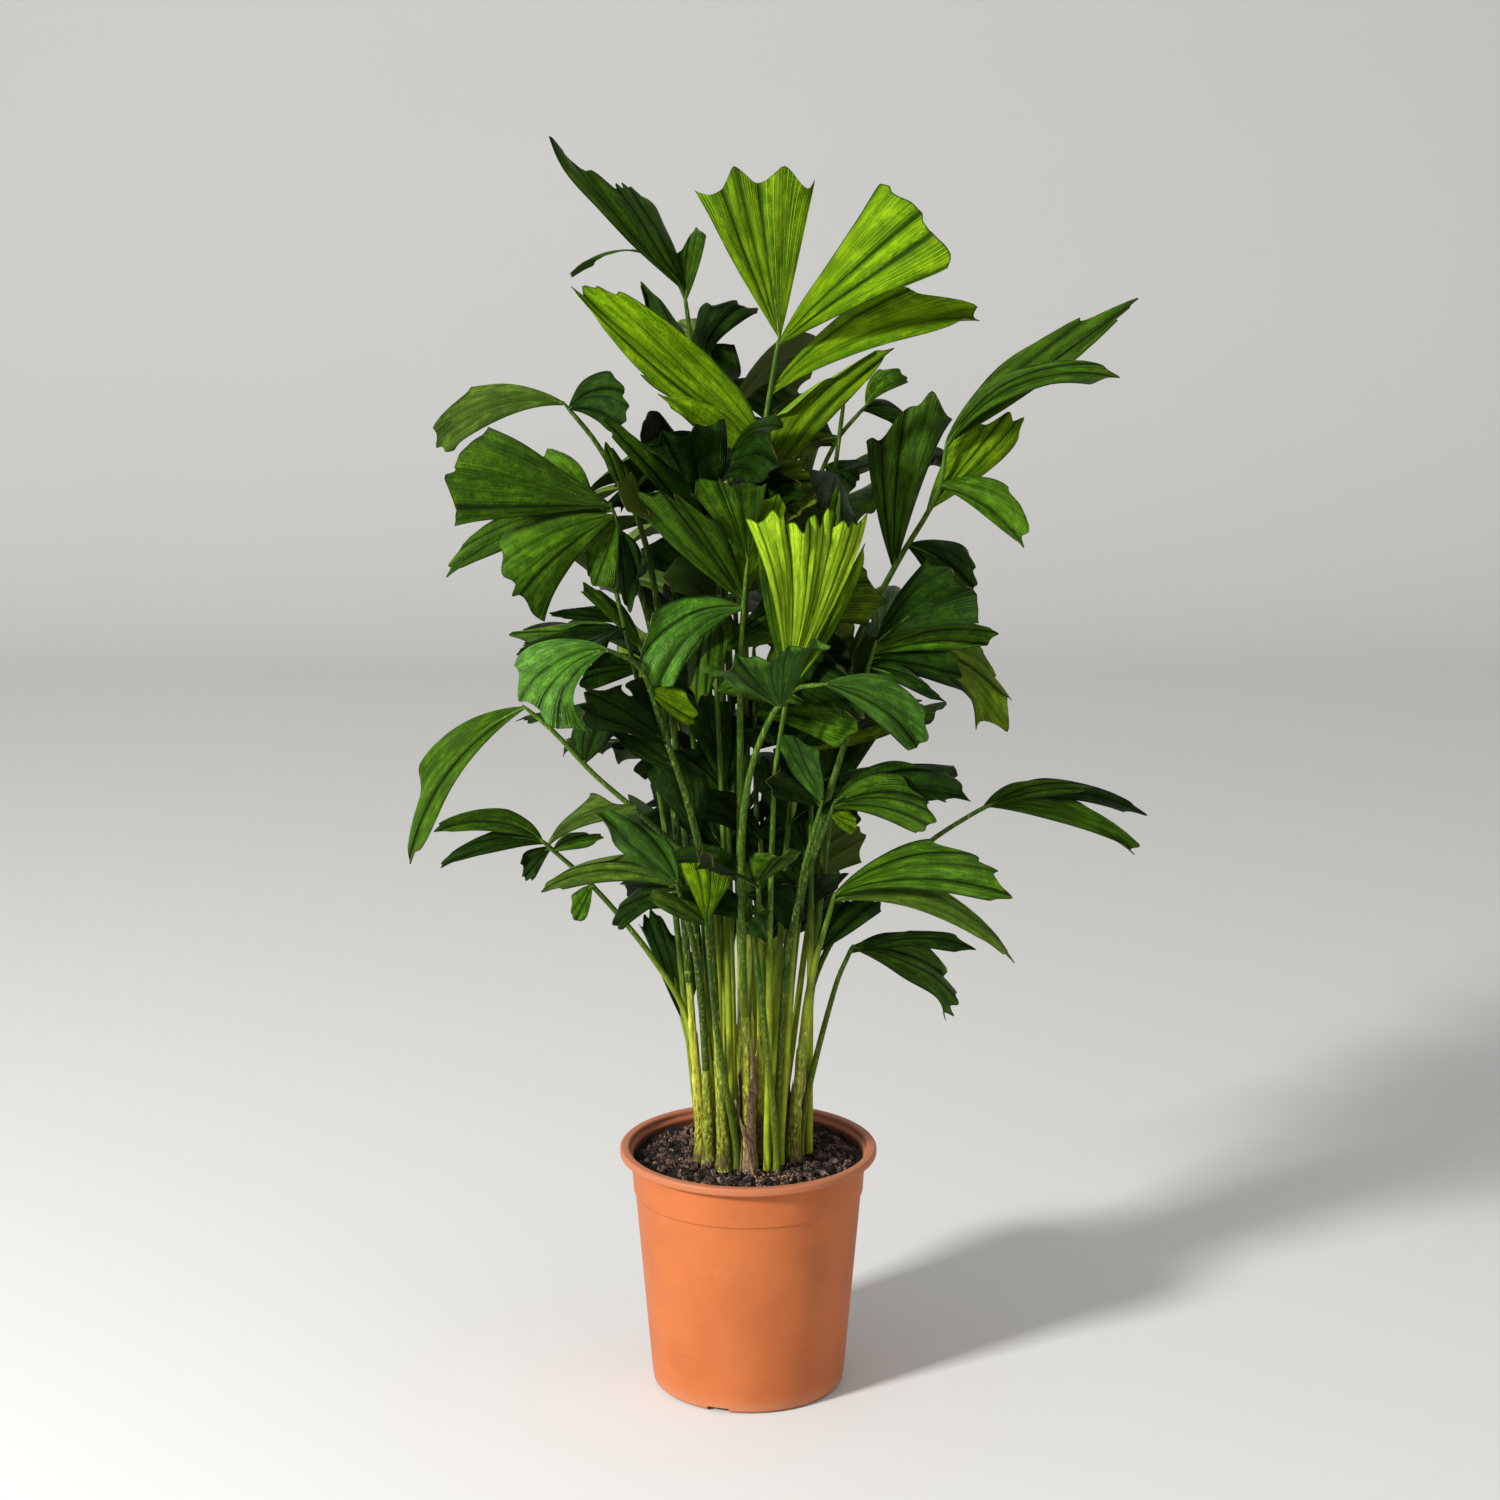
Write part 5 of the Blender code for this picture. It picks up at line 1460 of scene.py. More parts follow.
def leaf_point(blade, outline, column, t):
    """A point of the fine leaflet, on a column across it and at a share t of its length."""
    strip = min(column // PLEAT_COLUMNS, len(outline.swells) - 1)
    share = column / PLEAT_COLUMNS - strip
    low, high = outline.ribs[strip], outline.ribs[strip + 1]
    s = low + (high - low) * share
    reach = t * fine_ray(blade, s) * blade.length * (1 - outline.cuts[column] * t ** BITE_RISE)
    half = blade.half_width(t, 0.0)
    y = s * half
    crown = math.sin(math.pi * share) ** 0.8 if 0 < share < 1 else 0.0
    rise = outline.swells[strip] * half * (high - low) * crown
    rise += half * (outline.ridges[strip] + (outline.ridges[strip + 1] - outline.ridges[strip]) * share)
    soft = SOFT_FOLD * half
    rise -= (math.hypot(y, soft) - soft) * FOLD * outline.fold * t
    edge = 1 if s > 0 else 0
    wave = math.sin(math.tau * (outline.waves * t + outline.phases[edge]))
    rise += outline.wave_rises[edge] * half * abs(s) ** 2.5 * t * wave
    spot = Vector((1.4 * s, 2.6 * t, outline.seed))
    rise += UNEVEN_RISE * half * noise.noise(spot) * min(1.0, 3 * t)
    lift = outline.lifts[strip] + (outline.lifts[strip + 1] - outline.lifts[strip]) * eased(share)
    rise += lift * blade.length * max(0.0, t - LOBE_START) ** 2 / (1 - LOBE_START)
    y += outline.sway * blade.length * math.sin(math.pi * t)
    return blade.bent(reach, t, y, rise)


def add_leaf(pile, blade, strip_width, pleat, chance):
    """Add a leaflet with its ribs, pleats and ragged end."""
    outline = torn_outline(blade, strip_width, pleat, chance)
    columns = range(len(outline.cuts))
    shares = 1 - (1 - numpy.linspace(0.0, 1.0, LEAF_ROWS + 1)) ** ROW_CROWDING
    grid = numpy.array([[leaf_point(blade, outline, column, t) for column in columns] for t in shares])
    marks = [(column / PLEAT_COLUMNS, t) for t in shares for column in columns]
    add_shell(pile, grid, marks, LEAF_FILM, chance.random())


def add_petiole(pile, blade, shade):
    """Add the short stalk under a leaflet's root, which runs out along its rib."""
    line = []
    for step in range(PETIOLE_STEPS + 1):
        t = PETIOLE_SHARE * step / PETIOLE_STEPS
        line.append(blade.bent(t * blade.ray(0.0) * blade.length, t, 0.0, -PETIOLE_SINK))
    radii = [PETIOLE_RADIUS + (RIB_RADIUS - PETIOLE_RADIUS) * step / PETIOLE_STEPS
             for step in range(PETIOLE_STEPS + 1)]
    add_tube(pile, line, lambda index, done, angle: radii[index], PETIOLE_SIDES, shade)


def make_leaves(fronds, finishes):
    """The leaflets, in one or more pieces of each tone."""
    piles = {}
    for number, frond in enumerate(fronds):
        chance = random.Random(LEAF_SEED + number)
        for index, blade in enumerate(frond.blades):
            pleated = PLEATED.get((frond.place, index))
            strip_width = pleated or STRIP_WIDTHS[blade.kind_name]
            pleat = DEEP_PLEAT if pleated else SOFT_PLEAT
            # Deeply pleated bright fans take the lighter copy, which paints the light shining through them
            tone = "vivid" if pleated and blade.tone == "bright" else blade.tone
            pile = piles.setdefault(tone, [Pile()])
            if len(pile[-1].faces) * 2 > PIECE_LIMIT:
                pile.append(Pile())
            add_leaf(pile[-1], blade, strip_width, pleat, chance)
    pieces = []
    for tone, gathered in piles.items():
        for index, pile in enumerate(gathered):
            name = f"leaves_{tone}" if index == 0 else f"leaves_{tone}_{index + 1}"
            pieces.append(pile.piece(name, finishes[tone], SHARP_LEAF))
    return pieces


# Fine stalks and canes

def fine_radii(radii):
    """Radii for the points of a smooth line through knots with these radii."""
    steps = STALK_SMOOTH - 1
    finer = [radii[0]]
    for low, high in zip(radii, radii[1:]):
        finer.extend(low + (high - low) * (step + 1) / steps for step in range(steps))
    return finer


def add_stalk(pile, frond, shade):
    """Add a frond's stalk, rounded off over its highest leaflet."""
    points, radii = trimmed_stalk(frond)
    if frond.stem.cane_points:
        down = (points[0] - points[1]).normalized()
        points = [points[0] + down * CANE_TAPER] + points[1:]
    line = smooth_line(points, STALK_SMOOTH)
    finer = fine_radii(radii)
    finer[-1] *= 0.45
    finer[-2] *= 0.85
    add_tube(pile, line, lambda index, done, angle: finer[index], STEM_SIDES, shade)


def make_stalks(fronds, finish):
    """The stalks of the fronds and the short stalks of their leaflets."""
    chance = random.Random(STALK_SEED)
    pile = Pile()
    for frond in fronds:
        shade = chance.random()
        add_stalk(pile, frond, shade)
        for blade in frond.blades:
            add_petiole(pile, blade, shade)
    return pile.piece("stalks", [finish], SHARP_CANE)


class Mouth(NamedTuple):
    """Where a leaf sheath ends on a cane: how far up, and the way round of its highest point."""

    height: float
    heading: float


def sheath_mouths(length, chance):
    """The mouths of the sheaths that wrap a cane."""
    mouths = []
    height = chance.uniform(*FIRST_MOUTH)
    while height < length - CANE_TAPER:
        mouths.append(Mouth(height, chance.uniform(0.0, math.tau)))
        height += chance.uniform(*NEXT_MOUTH)
    return mouths


def eased(share):
    """A share from 0 to 1 that starts and ends gently."""
    share = min(1.0, max(0.0, share))
    return share * share * (3 - 2 * share)


def cane_relief(done, angle, length, mouths, tip_radius, seed):
    """The radius of a cane here: wrapped in sheaths, flared at the soil, ribbed, and drawn in at its top."""
    radius = CANE_TIP_RADIUS - len(mouths) * SHEATH_STEP / 2
    for mouth in mouths:
        rim = mouth.height + SHEATH_TILT * math.cos(angle - mouth.heading)
        radius += SHEATH_STEP * eased((rim - done) / SHEATH_EDGE)
        radius += MOUTH_LIP * math.exp(-(((done - rim + SHEATH_EDGE) / SHEATH_EDGE) ** 2))
    radius += (CANE_FLARE - 1) * CANE_FOOT_RADIUS * math.exp(-done / FLARE_REACH)
    radius += BASE_SWELL * math.exp(-done / BASE_REACH)
    spot = Vector((math.cos(angle) * 1.3, math.sin(angle) * 1.3, done / KNOT_LENGTH + seed))
    radius *= 1 + KNOT_RISE * noise.noise(spot) + RIDGE_RISE * math.cos(RIDGES * angle + 2 * noise.noise(spot * 0.5))
    return tip_radius + (radius - tip_radius) * eased((length - done) / CANE_TAPER)


def cane_line(stem):
    """Close points along a cane, from its foot to just inside the frond's stalk."""
    points, _ = cane_run(stem)
    line = smooth_line(points, CANE_SMOOTH)
    count = max(2, round(line_length(line) / CANE_RING))
    return [point_at(line, line_length(line) * index / count)[0] for index in range(count + 1)]


def make_canes(fronds, finish):
    """The canes, with the sheaths that wrap them standing proud of the bark."""
    pile = Pile()
    for number, frond in enumerate(fronds):
        if not frond.stem.cane_points:
            continue
        chance = random.Random(CANE_SEED + number)
        line = cane_line(frond.stem)
        length = line_length(line)
        mouths = sheath_mouths(length, chance)
        tip_radius = stalk_run(frond.stem)[1][0]
        seed = chance.uniform(0.0, 50.0)

        def radius_at(index, done, angle):
            return cane_relief(done, angle, length, mouths, tip_radius, seed)

        add_tube(pile, line, radius_at, CANE_SIDES, chance.random())
    return pile.piece("canes", [finish], SHARP_CANE)


def add_dry_sheath(pile, line, start, height, heading, spread, chance):
    """Add a torn dry sheath that stands away from a cane."""
    torn = [chance.uniform(*DRY_TEAR) for _ in range(DRY_COLUMNS + 1)]
    grid = numpy.zeros((DRY_ROWS + 1, DRY_COLUMNS + 1, 3))
    marks = []
    for row in range(DRY_ROWS + 1):
        up = row / DRY_ROWS
        for column in range(DRY_COLUMNS + 1):
            along = start + height * up * (1 - torn[column] * up ** 2)
            point, ahead = point_at(line, along)
            right = ahead.orthogonal().normalized()
            angle = heading + spread * (column / DRY_COLUMNS - 0.5) * (1 - 0.45 * up)
            way = Matrix.Rotation(angle, 3, ahead) @ right
            radius = CANE_FOOT_RADIUS + DRY_ROOM + DRY_FLARE * up ** 2 * (0.4 + torn[column])
            radius += BASE_SWELL * max(0.0, 1 - along / BASE_REACH) ** 1.5
            grid[row, column] = point + way * radius
            marks.append((column / 2, up))
    add_shell(pile, grid[:, ::-1], marks, DRY_FILM, chance.random())


def make_dry_sheaths(fronds, finish):
    """Torn brown sheaths on some of the canes, a tall one in the middle and a dead stalk before it."""
    chance = random.Random(DRY_SEED)
    pile = Pile()
    lines = [cane_line(frond.stem) for frond in fronds if frond.stem.cane_points]
    for line in lines:
        if chance.random() < DRY_SHARE:
            start = chance.uniform(*DRY_START)
            height = chance.uniform(*DRY_HEIGHT)
            heading = chance.uniform(0.0, math.tau)
            add_dry_sheath(pile, line, start, height, heading, chance.uniform(*DRY_SPREAD), chance)
    middle = min(lines, key=lambda line: math.dist(line[0][:2], DEAD_SPOT))
    add_dry_sheath(pile, middle, 0.0, DEAD_HEIGHT, 0.0, DEAD_SPREAD, chance)
    foot, head = (Vector(end) for end in DEAD_STALK)
    line = [foot.lerp(head, step / PETIOLE_STEPS) for step in range(PETIOLE_STEPS + 1)]
    add_tube(pile, line, lambda index, done, angle: DEAD_RADIUS, PETIOLE_SIDES, chance.random())
    return pile.piece("dry_sheaths", [finish, finish], SHARP_LEAF)


# Fine pot

def wall_inside(height):
    """The radius of the pot's inner wall at a height."""
    if height > COLLAR_FOOT:
        share = (height - COLLAR_FOOT) / (POT_HEIGHT - LIP_HEIGHT - COLLAR_FOOT)
        return COLLAR_FOOT_RADIUS + (COLLAR_TOP_RADIUS - COLLAR_FOOT_RADIUS) * share - WALL
    return BODY_FOOT_RADIUS + (BODY_TOP_RADIUS - BODY_FOOT_RADIUS) * height / COLLAR_FOOT - WALL


def pot_profile():
    """Half of the pot's section: up the inside, over the rim, down the outside and to the middle."""
    lip_under = POT_HEIGHT - LIP_HEIGHT
    ring_inner = FOOT_RADIUS - FOOT_RING_WIDTH
    return [
        (0.0, FLOOR_TOP),
        (wall_inside(FLOOR_TOP) - 3 * EDGE, FLOOR_TOP),
        (wall_inside(FLOOR_TOP + 3 * EDGE), FLOOR_TOP + 3 * EDGE),
        (wall_inside(COLLAR_FOOT), COLLAR_FOOT - EDGE),
        (wall_inside(COLLAR_FOOT + 2 * EDGE), COLLAR_FOOT + 2 * EDGE),
        (wall_inside(lip_under), lip_under),
        (RIM_INNER, POT_HEIGHT - 3 * EDGE),
        (RIM_INNER, POT_HEIGHT - EDGE),
        (RIM_INNER + EDGE, POT_HEIGHT),
        (RIM_RADIUS - EDGE, POT_HEIGHT),
        (RIM_RADIUS, POT_HEIGHT - EDGE),
        (RIM_RADIUS, lip_under + EDGE),
        (RIM_RADIUS - EDGE, lip_under),
        (COLLAR_TOP_RADIUS, lip_under),
        (COLLAR_FOOT_RADIUS, COLLAR_FOOT),
        (BODY_TOP_RADIUS, COLLAR_FOOT - EDGE),
        (BODY_FOOT_RADIUS, 10 * EDGE),
        (BODY_FOOT_RADIUS - EDGE, 2 * EDGE),
        (FOOT_RADIUS, 0.0),
        (ring_inner, 0.0),
        (ring_inner - EDGE, FLOOR_UNDER),
        (BOSS_RADIUS + EDGE, FLOOR_UNDER),
        (BOSS_RADIUS, 0.0),
        (0.0, 0.0),
    ]


def rounded(profile):
    """A profile with each of its corners drawn into a small curve."""
    corners = [Vector(corner) for corner in profile]
    soft = [corners[0]]
    for before, corner, after in zip(corners, corners[1:], corners[2:]):
        reach = min(CORNER_REACH, 0.45 * (corner - before).length, 0.45 * (after - corner).length)
        start = corner + (before - corner).normalized() * reach
        end = corner + (after - corner).normalized() * reach
        for step in range(CORNER_STEPS + 1):
            share = step / CORNER_STEPS
            soft.append(start.lerp(corner, share).lerp(corner.lerp(end, share), share))
    soft.append(corners[-1])
    return soft


def turned(name, profile, finish):
    """Turn a profile about the upright axis."""
    bm = bmesh.new()
    points = [bm.verts.new((radius, 0.0, height)) for radius, height in profile]
    for start, end in zip(points, points[1:]):
        bm.edges.new((start, end))
    mesh = bpy.data.meshes.new(name)
    bm.to_mesh(mesh)
    bm.free()
    piece = new_object(name, mesh, [finish])
    screw = piece.modifiers.new("turn", "SCREW")
    screw.steps = FINE_STEPS
    screw.render_steps = FINE_STEPS
    screw.use_merge_vertices = True
    screw.merge_threshold = 0.00005
    return piece


def make_slot_cutter(index):
    """A box that cuts one drain slot through the foot ring."""
    angle = SLOT_TURN + index * math.tau / SLOT_COUNT
    reach = FOOT_RADIUS - FOOT_RING_WIDTH / 2
    bpy.ops.mesh.primitive_cube_add(size=1.0)
    cutter = bpy.context.active_object
    cutter.scale = (4 * FOOT_RING_WIDTH, SLOT_WIDTH, 2 * SLOT_HEIGHT)
    cutter.location = (reach * math.cos(angle), reach * math.sin(angle), 0.0)
    cutter.rotation_euler = (0.0, 0.0, angle)
    return cutter


def make_drain_cutter(index):
    """A cylinder that cuts one drain hole through the floor."""
    angle = (index + 0.5) * math.tau / DRAIN_COUNT
    place = (DRAIN_CIRCLE * math.cos(angle), DRAIN_CIRCLE * math.sin(angle), FLOOR_TOP)
    bpy.ops.mesh.primitive_cylinder_add(vertices=DRAIN_SIDES, radius=DRAIN_RADIUS, depth=FLOOR_TOP, location=place)
    return bpy.context.active_object


def make_pot(finish):
    """The pot: a rolled rim, a collar, a tapered wall, and a foot with its drain slots and holes."""
    pot = turned("pot_shell", rounded(pot_profile()), finish)
    cutters = [make_slot_cutter(index) for index in range(SLOT_COUNT)]
    cutters += [make_drain_cutter(index) for index in range(DRAIN_COUNT)]
    for index, cutter in enumerate(cutters):
        cut = pot.modifiers.new(f"drain_{index + 1}", "BOOLEAN")
        cut.operation = "DIFFERENCE"
        cut.object = cutter
        cut.solver = "EXACT"
    apply_modifiers(pot)
    for cutter in cutters:
        bpy.data.objects.remove(cutter, do_unlink=True)
    finish_round(pot, SHARP_POT)
    return pot


# Fine soil

def soil_height(x, y):
    """The height of the lumpy soil here."""
    radius = math.hypot(x, y)
    edge = wall_inside(SOIL_EDGE)
    fall = eased((radius - SOIL_FLAT_RADIUS) / (edge - SOIL_FLAT_RADIUS))
    spot = Vector((x, y, 0.0))
    lumps = noise.fractal(spot * 60, 1.0, 2.0, 3) * LUMP_RISE
    return SOIL_TOP + (SOIL_EDGE - SOIL_TOP) * fall + lumps - SOIL_SINK


def make_soil_bed(finish):
    """The soil: a lumpy top, and a side that follows the pot's wall down to a flat underside."""
    bm = bmesh.new()
    edge = wall_inside(SOIL_EDGE) - 2 * GAP
    middle = bm.verts.new((0.0, 0.0, soil_height(0.0, 0.0)))
    rings = []
    for ring in range(1, SOIL_RINGS + 1):
        radius = edge * ring / SOIL_RINGS
        rings.append([])
        for spoke in range(SOIL_SPOKES):
            angle = spoke * math.tau / SOIL_SPOKES
            x, y = radius * math.cos(angle), radius * math.sin(angle)
            rings[-1].append(bm.verts.new((x, y, soil_height(x, y))))
    base = wall_inside(SOIL_BASE) - 2 * GAP
    rings.append([])
    for spoke in range(SOIL_SPOKES):
        angle = spoke * math.tau / SOIL_SPOKES
        rings[-1].append(bm.verts.new((base * math.cos(angle), base * math.sin(angle), SOIL_BASE)))
    under = bm.verts.new((0.0, 0.0, SOIL_BASE))
    for spoke in range(SOIL_SPOKES):
        after = (spoke + 1) % SOIL_SPOKES
        bm.faces.new((middle, rings[0][spoke], rings[0][after]))
        bm.faces.new((under, rings[-1][after], rings[-1][spoke]))
        for inner, outer in zip(rings, rings[1:]):
            bm.faces.new((inner[spoke], outer[spoke], outer[after], inner[after]))
    mesh = bpy.data.meshes.new("soil_bed")
    bm.to_mesh(mesh)
    bm.free()
    piece = new_object("soil_bed", mesh, [finish])
    finish_round(piece, SHARP_POT)
    return piece


def crumb_shape(index, squash, chance):
    """One rough lump with a few faces."""
    bpy.ops.mesh.primitive_ico_sphere_add(subdivisions=1, radius=0.5)
    lump = bpy.context.active_object
    lump.name = f"lump_{index}"
    for vert in lump.data.vertices:
        vert.co *= chance.uniform(*LUMP_UNEVEN)
        vert.co.x *= squash[0]
        vert.co.y *= squash[1]
        vert.co.z *= squash[2]
    return lump


def crumb_shapes(name, squash, seed):
    """A collection of a few different lumps."""
    chance = random.Random(seed)
    collection = bpy.data.collections.new(name)
    bpy.context.scene.collection.children.link(collection)
    for index in range(LUMP_KINDS):
        lump = crumb_shape(index, squash, chance)
        for owner in list(lump.users_collection):
            owner.objects.unlink(lump)
        collection.objects.link(lump)
    return collection


def strewing_tree():
    """A node tree that strews the shapes of a collection over a surface, as thickly as `spread` says."""
    tree = bpy.data.node_groups.new("strew", "GeometryNodeTree")
    sockets = (
        ("Ground", "NodeSocketGeometry"), ("Shapes", "NodeSocketCollection"), ("Density", "NodeSocketFloat"),
        ("Smallest", "NodeSocketFloat"), ("Largest", "NodeSocketFloat"), ("Spread", "NodeSocketString"),
        ("Finish", "NodeSocketMaterial"), ("Seed", "NodeSocketInt"),
    )
    for label, kind in sockets:
        tree.interface.new_socket(label, in_out="INPUT", socket_type=kind)
    tree.interface.new_socket("Strewn", in_out="OUTPUT", socket_type="NodeSocketGeometry")
    given = tree.nodes.new("NodeGroupInput")
    strewn = tree.nodes.new("NodeGroupOutput")
    spread = tree.nodes.new("GeometryNodeInputNamedAttribute")
    thickness = tree.nodes.new("ShaderNodeMath")
    thickness.operation = "MULTIPLY"
    scatter = tree.nodes.new("GeometryNodeDistributePointsOnFaces")
    shapes = tree.nodes.new("GeometryNodeCollectionInfo")
    shapes.inputs["Separate Children"].default_value = True
    shapes.inputs["Reset Children"].default_value = True
    size = tree.nodes.new("FunctionNodeRandomValue")
    luck = tree.nodes.new("FunctionNodeRandomValue")
    shade = tree.nodes.new("GeometryNodeStoreNamedAttribute")
    shade.domain = "INSTANCE"
    shade.inputs["Name"].default_value = "shade"
    turn = tree.nodes.new("FunctionNodeRandomValue")
    turn.data_type = "FLOAT_VECTOR"
    turn.inputs["Max"].default_value = (math.tau, math.tau, math.tau)
    rotation = tree.nodes.new("FunctionNodeEulerToRotation")
    instance = tree.nodes.new("GeometryNodeInstanceOnPoints")
    instance.inputs["Pick Instance"].default_value = True
    real = tree.nodes.new("GeometryNodeRealizeInstances")
    finish = tree.nodes.new("GeometryNodeSetMaterial")
    link = tree.links.new
    link(given.outputs["Spread"], spread.inputs["Name"])
    link(given.outputs["Density"], thickness.inputs[0])
    link(spread.outputs["Attribute"], thickness.inputs[1])
    link(given.outputs["Ground"], scatter.inputs["Mesh"])
    link(thickness.outputs["Value"], scatter.inputs["Density"])
    link(given.outputs["Seed"], scatter.inputs["Seed"])
    link(given.outputs["Shapes"], shapes.inputs["Collection"])
    link(given.outputs["Smallest"], size.inputs[2])
    link(given.outputs["Largest"], size.inputs[3])
    link(turn.outputs[0], rotation.inputs["Euler"])
    link(scatter.outputs["Points"], instance.inputs["Points"])
    link(shapes.outputs["Instances"], instance.inputs["Instance"])
    link(rotation.outputs["Rotation"], instance.inputs["Rotation"])
    link(size.outputs[1], instance.inputs["Scale"])
    link(instance.outputs["Instances"], shade.inputs["Geometry"])
    link(luck.outputs[1], shade.inputs["Value"])
    link(shade.outputs["Geometry"], real.inputs["Geometry"])
    link(real.outputs["Geometry"], finish.inputs["Geometry"])
    link(given.outputs["Finish"], finish.inputs["Material"])
    link(finish.outputs["Geometry"], strewn.inputs["Strewn"])
    return tree


def make_ground(name, spread_at):
    """A flat-faced copy of the soil's top to strew lumps over, with their spread written on it."""
    bm = bmesh.new()
    bmesh.ops.create_grid(bm, x_segments=GROUND_STEPS, y_segments=GROUND_STEPS, size=RIM_INNER)
    edge = wall_inside(SOIL_EDGE) - CRUMB_SIZE[1] / 2
    far = [vert for vert in bm.verts if math.hypot(vert.co.x, vert.co.y) > edge]
    bmesh.ops.delete(bm, geom=far, context="VERTS")
    for vert in bm.verts:
        vert.co.z = soil_height(vert.co.x, vert.co.y)
    mesh = bpy.data.meshes.new(name)
    bm.to_mesh(mesh)
    bm.free()
    spread = mesh.attributes.new("spread", "FLOAT", "POINT")
    spread.data.foreach_set("value", [spread_at(vert.co) for vert in mesh.vertices])
    piece = new_object(name, mesh, [])
    return piece


def strew(name, tree, shapes, density, sizes, spread_at, finish, seed):
    """Strew lumps over the soil and keep them as one mesh piece."""
    ground = make_ground(name, spread_at)
    modifier = ground.modifiers.new("strew", "NODES")
    modifier.node_group = tree
    values = {
        "Shapes": shapes, "Density": density, "Smallest": sizes[0], "Largest": sizes[1],
        "Spread": "spread", "Finish": finish, "Seed": seed,
    }
    for item in tree.interface.items_tree:
        if item.in_out == "INPUT" and item.name in values:
            modifier[item.identifier] = values[item.name]
    apply_modifiers(ground)
    ground.data.shade_flat()
    return ground


def even_spread(spot):
    """Lumps everywhere alike."""
    return 1.0


def patchy_spread(spot):
    """Lumps in loose patches."""
    return max(0.0, 0.35 + 1.3 * noise.noise(Vector((spot.x * 38, spot.y * 38, 3.0))))


def grit_spread(spot):
    """Pale grit in a patch at the front, with a few grains elsewhere."""
    away = math.hypot(spot.x - GRIT_CENTRE[0], (spot.y - GRIT_CENTRE[1]) * 1.3) / GRIT_REACH
    return max(GRIT_ELSEWHERE, 1 - away) ** 1.5


def make_soil(finishes):
    """The soil bed with its crumbs, bark chips and grit."""
    tree = strewing_tree()
    lumps = crumb_shapes("crumb_lumps", (1.0, 0.85, 0.75), SOIL_SEED)
    chips = crumb_shapes("chip_lumps", (1.0, 0.5, 0.22), SOIL_SEED + 1)
    pieces = [
        make_soil_bed(finishes["soil"]),
        strew("soil_crumbs", tree, lumps, CRUMB_DENSITY, CRUMB_SIZE, even_spread, finishes["crumb"], SOIL_SEED),
        strew("bark_chips", tree, chips, CHIP_DENSITY, CHIP_SIZE, patchy_spread, finishes["chip"], SOIL_SEED + 2),
        strew("soil_grit", tree, lumps, GRIT_DENSITY, GRIT_SIZE, grit_spread, finishes["grit"], SOIL_SEED + 3),
    ]
    for collection in (lumps, chips):
        for lump in list(collection.objects):
            bpy.data.objects.remove(lump, do_unlink=True)
        bpy.data.collections.remove(collection)
    bpy.data.node_groups.remove(tree)
    return pieces


# Finishes

def add_node(tree, kind, **settings):
    """Add a node to a tree, with its settings."""
    node = tree.nodes.new(kind)
    for setting, value in settings.items():
        setattr(node, setting, value)
    return node


def feed(tree, socket, source):
    """Feed a socket from another socket, or set it to a plain value."""
    if isinstance(source, bpy.types.NodeSocket):
        tree.links.new(source, socket)
    elif isinstance(source, tuple) and len(source) == 3 and socket.type == "RGBA":
        socket.default_value = (*source, 1.0)
    else:
        socket.default_value = source


def blended(tree, share, first, second, way="MIX"):
    """A blend of two colours."""
    node = add_node(tree, "ShaderNodeMix", data_type="RGBA", blend_type=way)
    feed(tree, node.inputs["Factor"], share)
    feed(tree, node.inputs[6], first)
    feed(tree, node.inputs[7], second)
    return node.outputs[2]


def ranged(tree, value, low, high, to_low=0.0, to_high=1.0):
    """A value taken from one range to another, gently at both ends."""
    node = add_node(tree, "ShaderNodeMapRange", interpolation_type="SMOOTHSTEP")
    feed(tree, node.inputs["Value"], value)
    node.inputs["From Min"].default_value = low
    node.inputs["From Max"].default_value = high
    node.inputs["To Min"].default_value = to_low
    node.inputs["To Max"].default_value = to_high
    return node.outputs["Result"]


def worked(tree, operation, first, second=0.0):
    """The result of a sum on values."""
    node = add_node(tree, "ShaderNodeMath", operation=operation)
    feed(tree, node.inputs[0], first)
    feed(tree, node.inputs[1], second)
    return node.outputs["Value"]


def spotted(tree, place, scale, detail=2.0, roughness=0.5):
    """Cloudy noise at a place."""
    node = add_node(tree, "ShaderNodeTexNoise")
    feed(tree, node.inputs["Vector"], place)
    node.inputs["Scale"].default_value = scale
    node.inputs["Detail"].default_value = detail
    node.inputs["Roughness"].default_value = roughness
    return node.outputs["Fac"]


def stretched(tree, place, scale):
    """A place with its axes stretched."""
    node = add_node(tree, "ShaderNodeMapping")
    feed(tree, node.inputs["Vector"], place)
    node.inputs["Scale"].default_value = scale
    return node.outputs["Vector"]


def object_place(tree):
    """The place on the object."""
    return add_node(tree, "ShaderNodeTexCoord").outputs["Object"]


def shade_of(tree):
    """The chance value that each leaf, stalk or cane carries."""
    return add_node(tree, "ShaderNodeAttribute", attribute_name="shade").outputs["Fac"]


def bumped(tree, height, distance, strength):
    """A normal that follows a height."""
    node = add_node(tree, "ShaderNodeBump")
    feed(tree, node.inputs["Height"], height)
    node.inputs["Distance"].default_value = distance
    node.inputs["Strength"].default_value = strength
    return node.outputs["Normal"]


def new_finish(name, sheen_of_surface):
    """A finish with its shader, and the plain numbers of its gloss."""
    finish = bpy.data.materials.new(name)
    finish.use_nodes = True
    shader = finish.node_tree.nodes["Principled BSDF"]
    for socket, value in sheen_of_surface.items():
        shader.inputs[socket].default_value = value
    return finish, finish.node_tree, shader


